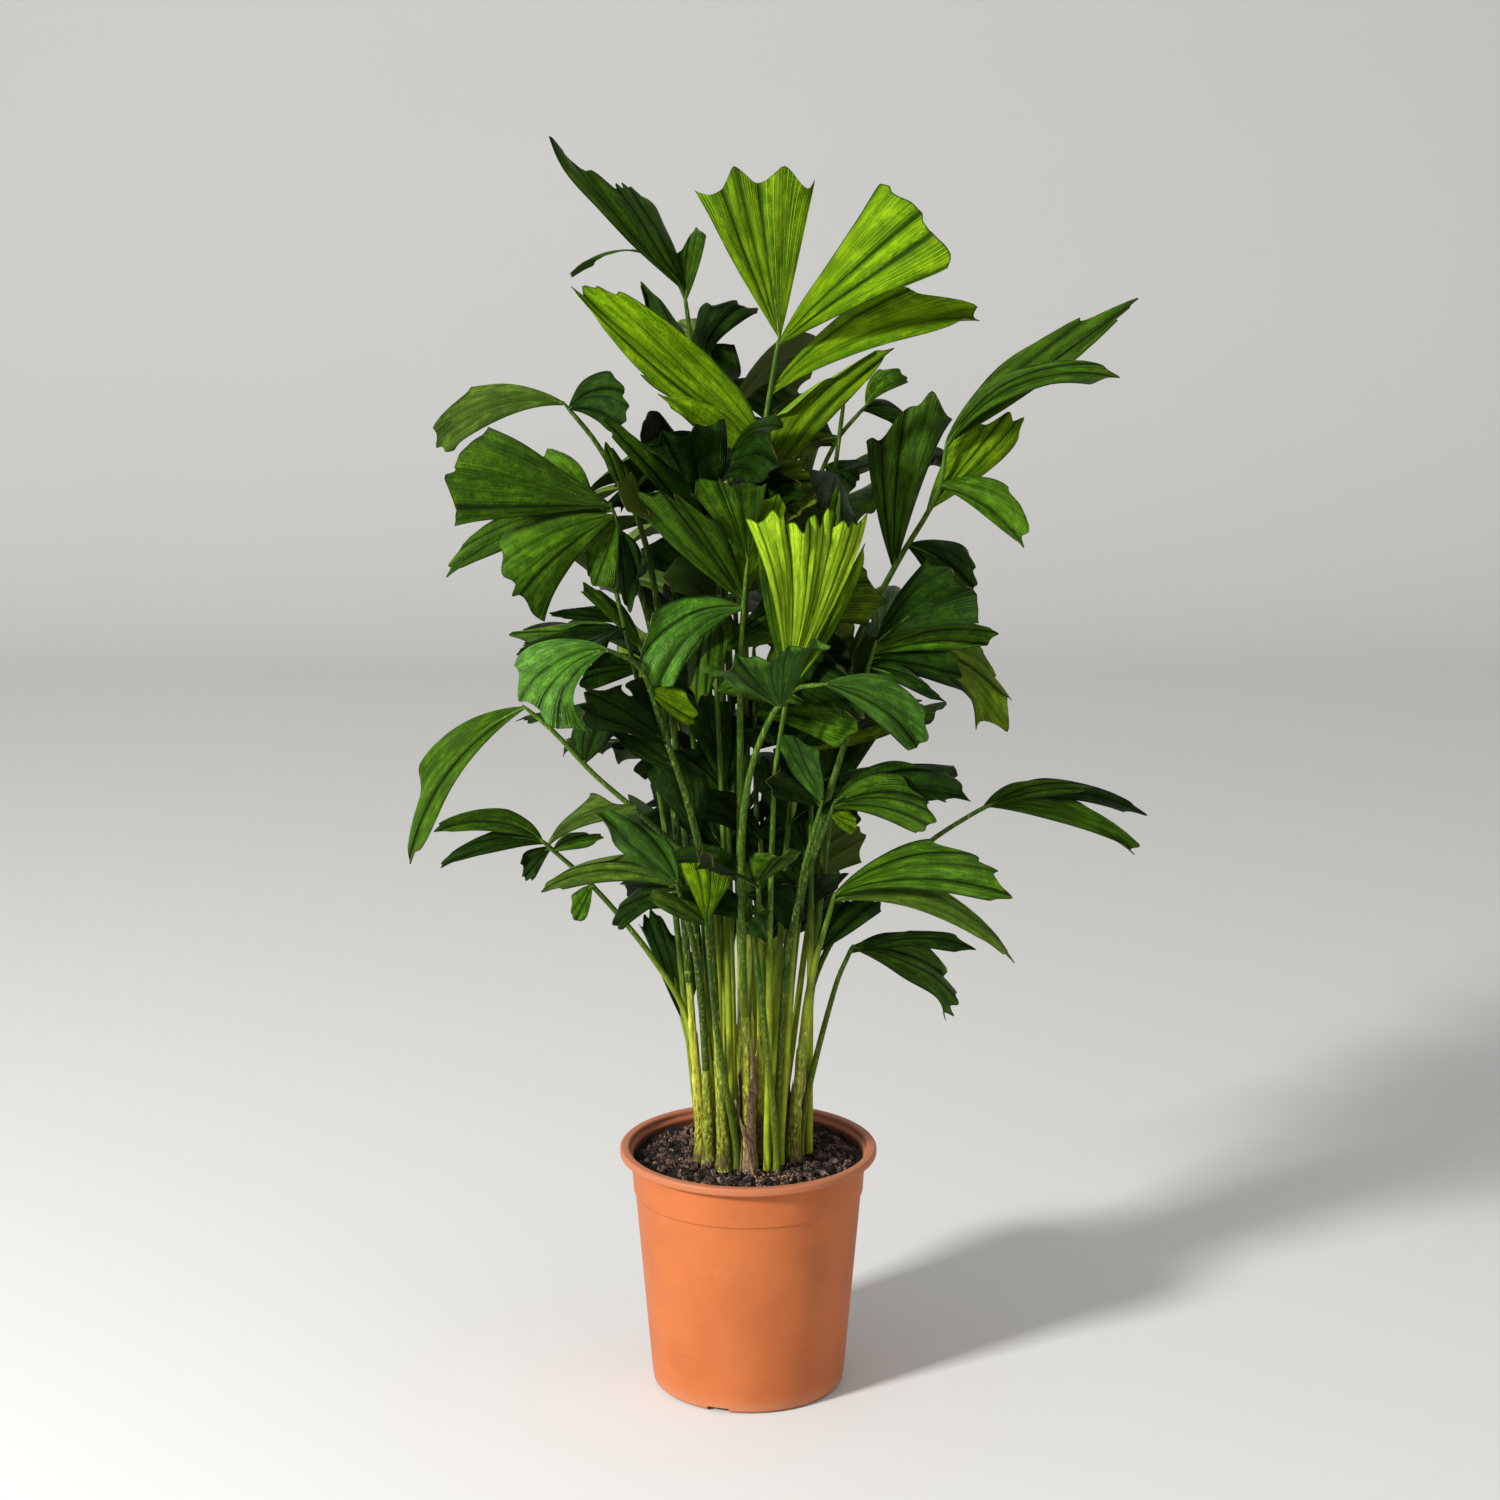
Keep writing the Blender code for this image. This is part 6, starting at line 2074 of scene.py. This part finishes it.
def group_ends(name, inputs, outputs):
    """A shader node group with named inputs and outputs, each a (name, kind, value)."""
    tree = bpy.data.node_groups.new(name, "ShaderNodeTree")
    for label, kind, value in inputs:
        socket = tree.interface.new_socket(label, in_out="INPUT", socket_type=kind)
        if value is not None:
            socket.default_value = value
    for label, kind in outputs:
        tree.interface.new_socket(label, in_out="OUTPUT", socket_type=kind)
    return tree, tree.nodes.new("NodeGroupInput"), tree.nodes.new("NodeGroupOutput")


def placed_group(tree, group, values):
    """Put a node group in a material with its own values."""
    node = add_node(tree, "ShaderNodeGroup", node_tree=group)
    for label, value in values.items():
        feed(tree, node.inputs[label], value)
    return node


def make_rib_group():
    """Marks on a leaflet: dark creases of uneven strength at its ribs that paint the shade in each fold, painted
    shade across the hollow beside each rib, streaks and fine veins along them.
    """
    tree, given, out = group_ends(
        "leaf_ribs",
        (("Marks", "NodeSocketVector", None), ("Chance", "NodeSocketFloat", 0.0),
         ("Crease", "NodeSocketFloat", 0.08), ("Veins", "NodeSocketFloat", 8.0)),
        (("Rib", "NodeSocketFloat"), ("Hollow shade", "NodeSocketFloat"), ("Vein", "NodeSocketFloat"),
         ("Streak", "NodeSocketFloat"), ("Mottle", "NodeSocketFloat"), ("Height", "NodeSocketFloat")),
    )
    apart = add_node(tree, "ShaderNodeSeparateXYZ")
    feed(tree, apart.inputs["Vector"], given.outputs["Marks"])
    across = apart.outputs["X"]
    from_rib = worked(tree, "PINGPONG", across, 0.5)
    luck = add_node(tree, "ShaderNodeTexWhiteNoise", noise_dimensions="1D")
    own_number = worked(tree, "MULTIPLY", given.outputs["Chance"], 53.0)
    number = worked(tree, "ADD", worked(tree, "ROUND", across), own_number)
    feed(tree, luck.inputs["W"], number)
    strength = ranged(tree, luck.outputs["Value"], 0.1, 0.9, 0.15, 1.0)
    width = worked(tree, "MULTIPLY", given.outputs["Crease"], ranged(tree, luck.outputs["Value"], 0.0, 1.0, 0.5, 1.8))
    near = worked(tree, "DIVIDE", from_rib, width)
    # Painted shade: a dark line in the crease at each rib, of uneven strength
    rib = worked(tree, "MULTIPLY", ranged(tree, near, 0.1, 1.0, 1.0, 0.0), strength)
    # Painted shade that fades across the hollow beside each rib
    hollow = worked(tree, "MULTIPLY", ranged(tree, from_rib, 0.0, 0.34, 1.0, 0.0), strength)
    fine_place = worked(tree, "MULTIPLY", across, given.outputs["Veins"])
    fine_luck = add_node(tree, "ShaderNodeTexWhiteNoise", noise_dimensions="1D")
    feed(tree, fine_luck.inputs["W"], worked(tree, "ADD", worked(tree, "ROUND", fine_place), own_number))
    fine_line = ranged(tree, worked(tree, "PINGPONG", fine_place, 0.5), 0.03, 0.24, 1.0, 0.0)
    vein = worked(tree, "MULTIPLY", fine_line, ranged(tree, fine_luck.outputs["Value"], 0.15, 0.9))
    own = add_node(tree, "ShaderNodeVectorMath", operation="ADD")
    feed(tree, own.inputs[0], given.outputs["Marks"])
    feed(tree, own.inputs[1], worked(tree, "MULTIPLY", given.outputs["Chance"], 31.0))
    wide = spotted(tree, stretched(tree, own.outputs["Vector"], (3.2, 0.9, 1.0)), 1.0, 3.0, 0.6)
    broad = ranged(tree, wide, 0.40, 0.62)
    fine = spotted(tree, stretched(tree, own.outputs["Vector"], (19.0, 1.8, 1.0)), 1.0, 2.0)
    thin = ranged(tree, fine, 0.36, 0.64)
    streak = worked(tree, "ADD", worked(tree, "MULTIPLY", broad, 0.65), worked(tree, "MULTIPLY", thin, 0.35))
    mottle = spotted(tree, stretched(tree, own.outputs["Vector"], (2.4, 7.0, 1.0)), 1.0, 5.0, 0.62)
    height = worked(tree, "ADD", worked(tree, "MULTIPLY", rib, -0.9), worked(tree, "MULTIPLY", hollow, -0.9))
    height = worked(tree, "ADD", height, worked(tree, "MULTIPLY", vein, 0.55))
    height = worked(tree, "ADD", height, worked(tree, "MULTIPLY", thin, 0.30))
    feed(tree, out.inputs["Rib"], rib)
    feed(tree, out.inputs["Hollow shade"], hollow)
    feed(tree, out.inputs["Vein"], vein)
    feed(tree, out.inputs["Streak"], streak)
    feed(tree, out.inputs["Mottle"], mottle)
    feed(tree, out.inputs["Height"], height)
    return tree


def make_cloud_group():
    """Soft patches of two sizes, as colour varies over living tissue."""
    tree, given, out = group_ends(
        "soft_patches",
        (("Place", "NodeSocketVector", None), ("Patch scale", "NodeSocketFloat", 30.0),
         ("Fleck scale", "NodeSocketFloat", 400.0)),
        (("Patch", "NodeSocketFloat"), ("Fleck", "NodeSocketFloat")),
    )
    for label, scale, low, high in (("Patch", "Patch scale", 0.35, 0.65), ("Fleck", "Fleck scale", 0.55, 0.75)):
        cloud = add_node(tree, "ShaderNodeTexNoise")
        feed(tree, cloud.inputs["Vector"], given.outputs["Place"])
        feed(tree, cloud.inputs["Scale"], given.outputs[scale])
        cloud.inputs["Detail"].default_value = 3.0
        feed(tree, out.inputs[label], ranged(tree, cloud.outputs["Fac"], low, high))
    return tree


class Groups(NamedTuple):
    """The node groups that several finishes share."""

    ribs: bpy.types.NodeTree
    patches: bpy.types.NodeTree


def scaled(colour, share):
    """A colour made lighter or darker."""
    return tuple(min(1.0, value * share) for value in colour)


def make_leaf_top(tone, green, groups):
    """The upper side of a leaflet: creased at its ribs with painted shade in each crease and the hollow beside it,
    streaked along them, and browned at some teeth.
    """
    finish, tree, shader = new_finish(f"leaf_{tone}", {"Specular IOR Level": green.gloss})
    shader.inputs["Specular Tint"].default_value = (*LEAF_GLOSS, 1.0)
    place = object_place(tree)
    marks = add_node(tree, "ShaderNodeUVMap", uv_map="marks").outputs["UV"]
    shade = shade_of(tree)
    ribs = placed_group(tree, groups.ribs, {"Marks": marks, "Chance": shade})
    clouds = placed_group(tree, groups.patches, {"Place": place, "Patch scale": 38.0, "Fleck scale": 520.0})
    mottle = ribs.outputs["Mottle"]
    crinkle = spotted(tree, place, 150.0, 4.0, 0.62)
    colour = blended(tree, worked(tree, "MULTIPLY", ribs.outputs["Streak"], 0.85), green.face, green.patch)
    colour = blended(tree, worked(tree, "MULTIPLY", clouds.outputs["Patch"], 0.40), colour, green.patch)
    colour = blended(tree, ranged(tree, mottle, 0.50, 0.64, 0.0, 0.55), colour, green.patch)
    colour = blended(tree, ranged(tree, mottle, 0.36, 0.50, 0.55, 0.0), colour, scaled(green.face, 1.5))
    colour = blended(tree, ranged(tree, crinkle, 0.52, 0.68, 0.0, green.gloss), colour, green.patch)
    colour = blended(tree, 1.0, colour, ranged(tree, shade, 0.0, 1.0, 0.7, 1.25), "MULTIPLY")
    colour = blended(tree, worked(tree, "MULTIPLY", ribs.outputs["Vein"], 0.60), colour, scaled(green.face, 2.0))
    # Painted shade in the hollows beside the ribs and in the creases at them
    colour = blended(tree, worked(tree, "MULTIPLY", ribs.outputs["Hollow shade"], 0.5), colour, green.rib)
    colour = blended(tree, worked(tree, "MULTIPLY", ribs.outputs["Rib"], 0.9), colour, green.rib)
    apart = add_node(tree, "ShaderNodeSeparateXYZ")
    feed(tree, apart.inputs["Vector"], marks)
    tip = ranged(tree, apart.outputs["Y"], 0.985, 0.998)
    colour = blended(tree, worked(tree, "MULTIPLY", tip, 0.8), colour, green.rib)
    dry = worked(tree, "MULTIPLY", tip, ranged(tree, spotted(tree, place, 55.0), 0.52, 0.62))
    colour = blended(tree, dry, colour, DRY_TIP)
    feed(tree, shader.inputs["Base Color"], colour)
    rough = ranged(tree, clouds.outputs["Fleck"], 0.0, 1.0, green.roughness, green.roughness + 0.14)
    feed(tree, shader.inputs["Roughness"], rough)
    height = worked(tree, "ADD", ribs.outputs["Height"], worked(tree, "MULTIPLY", crinkle, 2.0))
    feed(tree, shader.inputs["Normal"], bumped(tree, height, 1.3 * MM, 0.85))
    return finish


def make_leaf_under(tone, green, groups):
    """The underside of a leaflet: paler and duller, with its ribs standing out light."""
    finish, tree, shader = new_finish(f"leaf_{tone}_under", {"Specular IOR Level": 0.12})
    place = object_place(tree)
    marks = add_node(tree, "ShaderNodeUVMap", uv_map="marks").outputs["UV"]
    ribs = placed_group(tree, groups.ribs, {"Marks": marks, "Chance": shade_of(tree)})
    clouds = placed_group(tree, groups.patches, {"Place": place, "Patch scale": 34.0, "Fleck scale": 600.0})
    colour = blended(tree, ribs.outputs["Streak"], green.under, scaled(green.under, 0.6))
    colour = blended(tree, worked(tree, "MULTIPLY", clouds.outputs["Patch"], 0.5), colour, scaled(green.under, 0.7))
    colour = blended(tree, worked(tree, "MULTIPLY", ribs.outputs["Rib"], 0.5), colour, scaled(green.under, 1.35))
    feed(tree, shader.inputs["Base Color"], colour)
    feed(tree, shader.inputs["Roughness"], ranged(tree, clouds.outputs["Fleck"], 0.0, 1.0, 0.55, 0.7))
    feed(tree, shader.inputs["Normal"], bumped(tree, ribs.outputs["Height"], -0.5 * MM, 0.5))
    return finish


def make_stalk_finish(groups):
    """Stalk skin: yellow-green low down, dark green above, and finely streaked along its length."""
    finish, tree, shader = new_finish("stalk_skin", {"Specular IOR Level": 0.16})
    shader.inputs["Specular Tint"].default_value = (*LEAF_GLOSS, 1.0)
    place = object_place(tree)
    clouds = placed_group(tree, groups.patches, {"Place": place, "Patch scale": 60.0, "Fleck scale": 700.0})
    apart = add_node(tree, "ShaderNodeSeparateXYZ")
    feed(tree, apart.inputs["Vector"], place)
    shade = shade_of(tree)
    above = worked(tree, "ADD", apart.outputs["Z"], worked(tree, "MULTIPLY", shade, 0.10))
    colour = blended(tree, ranged(tree, above, *STALK_TURN), STALK_LOW, STALK_GREEN)
    colour = blended(tree, ranged(tree, shade, 0.35, 0.95, 0.0, 0.85), colour, STALK_DARK)
    colour = blended(tree, worked(tree, "MULTIPLY", clouds.outputs["Patch"], 0.35), colour, STALK_BROWN)
    streaks = spotted(tree, stretched(tree, place, (1.0, 1.0, 0.04)), 900.0, 3.0)
    colour = blended(tree, ranged(tree, streaks, 0.5, 0.7, 0.0, 0.55), colour, STALK_PALE)
    feed(tree, shader.inputs["Base Color"], colour)
    feed(tree, shader.inputs["Roughness"], ranged(tree, streaks, 0.3, 0.7, 0.42, 0.62))
    feed(tree, shader.inputs["Normal"], bumped(tree, streaks, 0.3 * MM, 0.5))
    return finish


def make_cane_finish(groups):
    """Cane skin: streaked yellow-green, mottled brown low down, and brown at the soil."""
    finish, tree, shader = new_finish("cane_skin", {"Specular IOR Level": 0.3})
    place = object_place(tree)
    clouds = placed_group(tree, groups.patches, {"Place": place, "Patch scale": 70.0, "Fleck scale": 620.0})
    apart = add_node(tree, "ShaderNodeSeparateXYZ")
    feed(tree, apart.inputs["Vector"], place)
    height = apart.outputs["Z"]
    shade = shade_of(tree)
    colour = blended(tree, ranged(tree, height, SOIL_TOP + 0.06, SOIL_TOP + 0.26), CANE_YELLOW, CANE_GREEN)
    colour = blended(tree, ranged(tree, shade, 0.0, 1.0, 0.0, 0.7), colour, CANE_GREEN)
    streaks = spotted(tree, stretched(tree, place, (1.0, 1.0, 0.03)), 520.0, 4.0, 0.6)
    colour = blended(tree, ranged(tree, streaks, 0.52, 0.68, 0.0, 0.85), colour, CANE_STREAK)
    colour = blended(tree, ranged(tree, streaks, 0.32, 0.48, 0.9, 0.0), colour, CANE_DARK)
    low = ranged(tree, height, SOIL_TOP + 0.02, SOIL_TOP + 0.12, 1.0, 0.0)
    dashes = ranged(tree, spotted(tree, stretched(tree, place, (1.0, 1.0, 0.35)), 460.0, 5.0, 0.7), 0.48, 0.55)
    colour = blended(tree, worked(tree, "MULTIPLY", dashes, worked(tree, "MULTIPLY", low, 0.9)), colour, CANE_SPECK)
    foot = ranged(tree, height, SOIL_TOP + 0.002, SOIL_TOP + 0.028, 1.0, 0.0)
    # A brown stain at the cane's foot, near the soil
    stain_and_shade = worked(tree, "MULTIPLY", foot, ranged(tree, spotted(tree, place, 90.0, 4.0), 0.4, 0.6, 0.1, 1.0))
    colour = blended(tree, stain_and_shade, colour, CANE_FOOT_BROWN)
    feed(tree, shader.inputs["Base Color"], colour)
    feed(tree, shader.inputs["Roughness"], ranged(tree, clouds.outputs["Fleck"], 0.0, 1.0, 0.45, 0.66))
    bumps = worked(tree, "SUBTRACT", streaks, worked(tree, "MULTIPLY", dashes, 0.25))
    feed(tree, shader.inputs["Normal"], bumped(tree, bumps, 0.6 * MM, 0.7))
    return finish


def make_dry_finish(groups):
    """Dry sheath: brown fibres that run lengthwise."""
    finish, tree, shader = new_finish("dry_sheath", {})
    place = object_place(tree)
    clouds = placed_group(tree, groups.patches, {"Place": place, "Patch scale": 80.0, "Fleck scale": 700.0})
    fibres = spotted(tree, stretched(tree, place, (1.0, 1.0, 0.06)), 1400.0, 3.0, 0.6)
    colour = blended(tree, clouds.outputs["Patch"], DRY_BROWN, DRY_DARK)
    colour = blended(tree, ranged(tree, fibres, 0.45, 0.68), colour, DRY_TAN)
    feed(tree, shader.inputs["Base Color"], colour)
    feed(tree, shader.inputs["Roughness"], ranged(tree, fibres, 0.3, 0.7, 0.7, 0.9))
    feed(tree, shader.inputs["Normal"], bumped(tree, fibres, 0.6 * MM, 0.8))
    return finish


def make_earth_finish(name, groups, first, second, pale, roughness):
    """Soil, bark or grit: two colours in patches, pale flecks, and a rough grain. On crumbs and chips the pale flecks
    are painted highlights.
    """
    finish, tree, shader = new_finish(name, {"Specular IOR Level": 0.3})
    place = object_place(tree)
    clouds = placed_group(tree, groups.patches, {"Place": place, "Patch scale": 210.0, "Fleck scale": 900.0})
    light = ranged(tree, shade_of(tree), 0.5, 0.95)
    colour = blended(tree, worked(tree, "MULTIPLY", clouds.outputs["Patch"], light), first, second)
    # Flecks of the pale colour: painted highlights on crumbs and chips, tan grains on the grit, black on the soil bed
    fleck = worked(tree, "MULTIPLY", clouds.outputs["Fleck"], ranged(tree, light, 0.2, 1.0, 0.1, 1.0))
    colour = blended(tree, fleck, colour, pale)
    feed(tree, shader.inputs["Base Color"], colour)
    feed(tree, shader.inputs["Roughness"], ranged(tree, clouds.outputs["Fleck"], 0.0, 1.0, 0.98, roughness))
    grain = spotted(tree, place, 1100.0, 4.0, 0.65)
    feed(tree, shader.inputs["Normal"], bumped(tree, grain, 0.8 * MM, 0.8))
    return finish


def make_pot_finish(groups):
    """Matte terracotta-coloured plastic: fine moulded grain, faint flow marks, scuffs, a dusty foot, and painted
    shade on the inner wall above the soil.
    """
    finish, tree, shader = new_finish("pot_plastic", {"Specular IOR Level": 0.18})
    place = object_place(tree)
    clouds = placed_group(tree, groups.patches, {"Place": place, "Patch scale": 16.0, "Fleck scale": 260.0})
    apart = add_node(tree, "ShaderNodeSeparateXYZ")
    feed(tree, apart.inputs["Vector"], place)
    height = apart.outputs["Z"]
    colour = blended(tree, clouds.outputs["Patch"], POT_ORANGE, POT_DEEP)
    bands = spotted(tree, stretched(tree, place, (0.06, 0.06, 1.0)), 160.0, 3.0)
    colour = blended(tree, ranged(tree, bands, 0.4, 0.7, 0.0, 0.18), colour, POT_DEEP)
    worn = worked(tree, "MULTIPLY", clouds.outputs["Fleck"], ranged(tree, spotted(tree, place, 28.0), 0.5, 0.68))
    colour = blended(tree, worked(tree, "MULTIPLY", worn, 0.35), colour, POT_SCUFF)
    dusty = ranged(tree, height, 0.0, 0.02, 0.28, 0.0)
    colour = blended(tree, dusty, colour, POT_DUST)
    lip = ranged(tree, height, POT_HEIGHT - LIP_HEIGHT, POT_HEIGHT - LIP_HEIGHT + 0.003, 0.0, 0.8)
    colour = blended(tree, lip, colour, POT_RIM)
    # Painted shade inside the rim above the soil, darker towards the soil, where the inner wall is in shade
    above_soil = ranged(tree, height, SOIL_EDGE - 0.012, SOIL_EDGE - 0.008)
    stain_and_shade = ranged(tree, height, POT_HEIGHT - 0.010, POT_HEIGHT - 0.001, 0.9, 0.2)
    stain_and_shade = worked(tree, "MULTIPLY", stain_and_shade, above_soil)
    inside = add_node(tree, "ShaderNodeVectorMath", operation="LENGTH")
    flat = stretched(tree, place, (1.0, 1.0, 0.0))
    feed(tree, inside.inputs[0], flat)
    inner = ranged(tree, inside.outputs["Value"], COLLAR_TOP_RADIUS - 0.0017, COLLAR_TOP_RADIUS - 0.0009, 1.0, 0.0)
    colour = blended(tree, worked(tree, "MULTIPLY", stain_and_shade, inner), colour, POT_INNER_SHADE)
    feed(tree, shader.inputs["Base Color"], colour)
    grain = spotted(tree, place, 1600.0, 2.0)
    feed(tree, shader.inputs["Roughness"], ranged(tree, clouds.outputs["Fleck"], 0.0, 1.0, 0.46, 0.6))
    height_marks = worked(tree, "ADD", worked(tree, "MULTIPLY", grain, 0.4), worked(tree, "MULTIPLY", bands, 0.6))
    feed(tree, shader.inputs["Normal"], bumped(tree, height_marks, 0.12 * MM, 0.5))
    return finish


def make_stage_finish():
    """Plain pale paper."""
    finish, tree, shader = new_finish("pale_paper", {"Specular IOR Level": 0.1})
    cloud = spotted(tree, object_place(tree), 3.0)
    feed(tree, shader.inputs["Base Color"], blended(tree, cloud, PAPER, tuple(value * 0.985 for value in PAPER)))
    feed(tree, shader.inputs["Roughness"], ranged(tree, cloud, 0.0, 1.0, 0.85, 0.95))
    return finish


def make_finishes():
    """Every finish, by the name of what it is for."""
    groups = Groups(make_rib_group(), make_cloud_group())
    finishes = {
        tone: [make_leaf_top(tone, green, groups), make_leaf_under(tone, green, groups)]
        for tone, green in GREENS.items()
    }
    finishes["stalk"] = make_stalk_finish(groups)
    finishes["cane"] = make_cane_finish(groups)
    finishes["dry"] = make_dry_finish(groups)
    # The soil bed takes only the near-black colour, which also paints the shade in the gaps between the crumbs
    finishes["soil"] = make_earth_finish("potting_soil", groups, SOIL_BLACK, SOIL_BROWN, SOIL_BLACK, 0.8)
    finishes["crumb"] = make_earth_finish("soil_crumb", groups, SOIL_BLACK, SOIL_BROWN, CRUMB_HIGHLIGHT, 0.6)
    finishes["chip"] = make_earth_finish("bark_chip", groups, SOIL_BROWN, CHIP_BROWN, CRUMB_HIGHLIGHT, 0.6)
    finishes["grit"] = make_earth_finish("tan_grit", groups, GRIT_GOLD, GRIT_TAN, GRIT_TAN, 0.6)
    finishes["pot"] = make_pot_finish(groups)
    return finishes


# Stage

def make_stage():
    """A pale floor that curves up into a backdrop."""
    profile = [(-STAGE_FRONT, 0.0), (STAGE_BACK, 0.0)]
    for step in range(1, STAGE_STEPS + 1):
        angle = math.pi / 2 * step / STAGE_STEPS
        profile.append((STAGE_BACK + STAGE_CURVE * math.sin(angle), STAGE_CURVE * (1 - math.cos(angle))))
    profile.append((STAGE_BACK + STAGE_CURVE, STAGE_HEIGHT))
    points = [(side * STAGE_HALF, y, z) for y, z in profile for side in (-1, 1)]
    faces = [(2 * row, 2 * row + 1, 2 * row + 3, 2 * row + 2) for row in range(len(profile) - 1)]
    mesh = bpy.data.meshes.new("paper_stage")
    mesh.from_pydata(points, [], faces)
    mesh.update()
    piece = new_object("paper_stage", mesh, [make_stage_finish()])
    mesh.shade_smooth()
    piece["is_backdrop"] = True


def make_light(name, place, target, size, power, colour):
    """A soft square light that looks at a target."""
    light = bpy.data.lights.new(name, "AREA")
    light.size = size
    light.energy = power
    light.color = colour
    lamp = bpy.data.objects.new(name, light)
    lamp.location = place
    lamp.rotation_euler = (Vector(target) - Vector(place)).to_track_quat("-Z", "Y").to_euler()
    bpy.context.scene.collection.objects.link(lamp)


def make_view():
    """The camera at the photograph's angle, and soft studio light."""
    camera = bpy.data.cameras.new("camera")
    camera.lens = CAMERA_LENS
    camera.sensor_width = CAMERA_SENSOR
    eye = bpy.data.objects.new("camera", camera)
    eye.location = CAMERA_PLACE
    eye.rotation_euler = (math.pi / 2 - CAMERA_PITCH, 0.0, 0.0)
    bpy.context.scene.collection.objects.link(eye)
    bpy.context.scene.camera = eye
    for name, (place, size, power, colour) in LIGHTS.items():
        make_light(name, place, LIGHT_TARGET, size, power, colour)
    world = bpy.data.worlds.new("room")
    world.use_nodes = True
    background = world.node_tree.nodes["Background"]
    background.inputs["Color"].default_value = (*ROOM_COLOUR, 1.0)
    background.inputs["Strength"].default_value = ROOM_LIGHT
    bpy.context.scene.world = world
    bpy.context.scene.view_settings.view_transform = "Standard"


# Putting the plant together

def take_place(pieces, nodes):
    """Let pieces ride on the plant's body and stand for some of its solids."""
    for piece in pieces:
        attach(piece, "root")
        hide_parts(*nodes)


def main():
    """Dress the plant and its pot."""
    nodes = list(frame["nodes"])
    fronds = grow_plant()
    finishes = make_finishes()
    leaves = make_leaves(fronds, finishes)
    stalks = make_stalks(fronds, finishes["stalk"])
    canes = make_canes(fronds, finishes["cane"])
    sheaths = make_dry_sheaths(fronds, finishes["dry"])
    take_place(leaves + [stalks], [node for node in nodes if node.startswith("frond_")])
    take_place([canes, sheaths], [node for node in nodes if node.startswith("cane_")])
    take_place([make_pot(finishes["pot"])], ["pot"])
    take_place(make_soil(finishes), ["soil"])
    make_stage()
    make_view()
    boxes = [[list(corner) for corner in box] for box in (CAD_BOX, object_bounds())]


main()
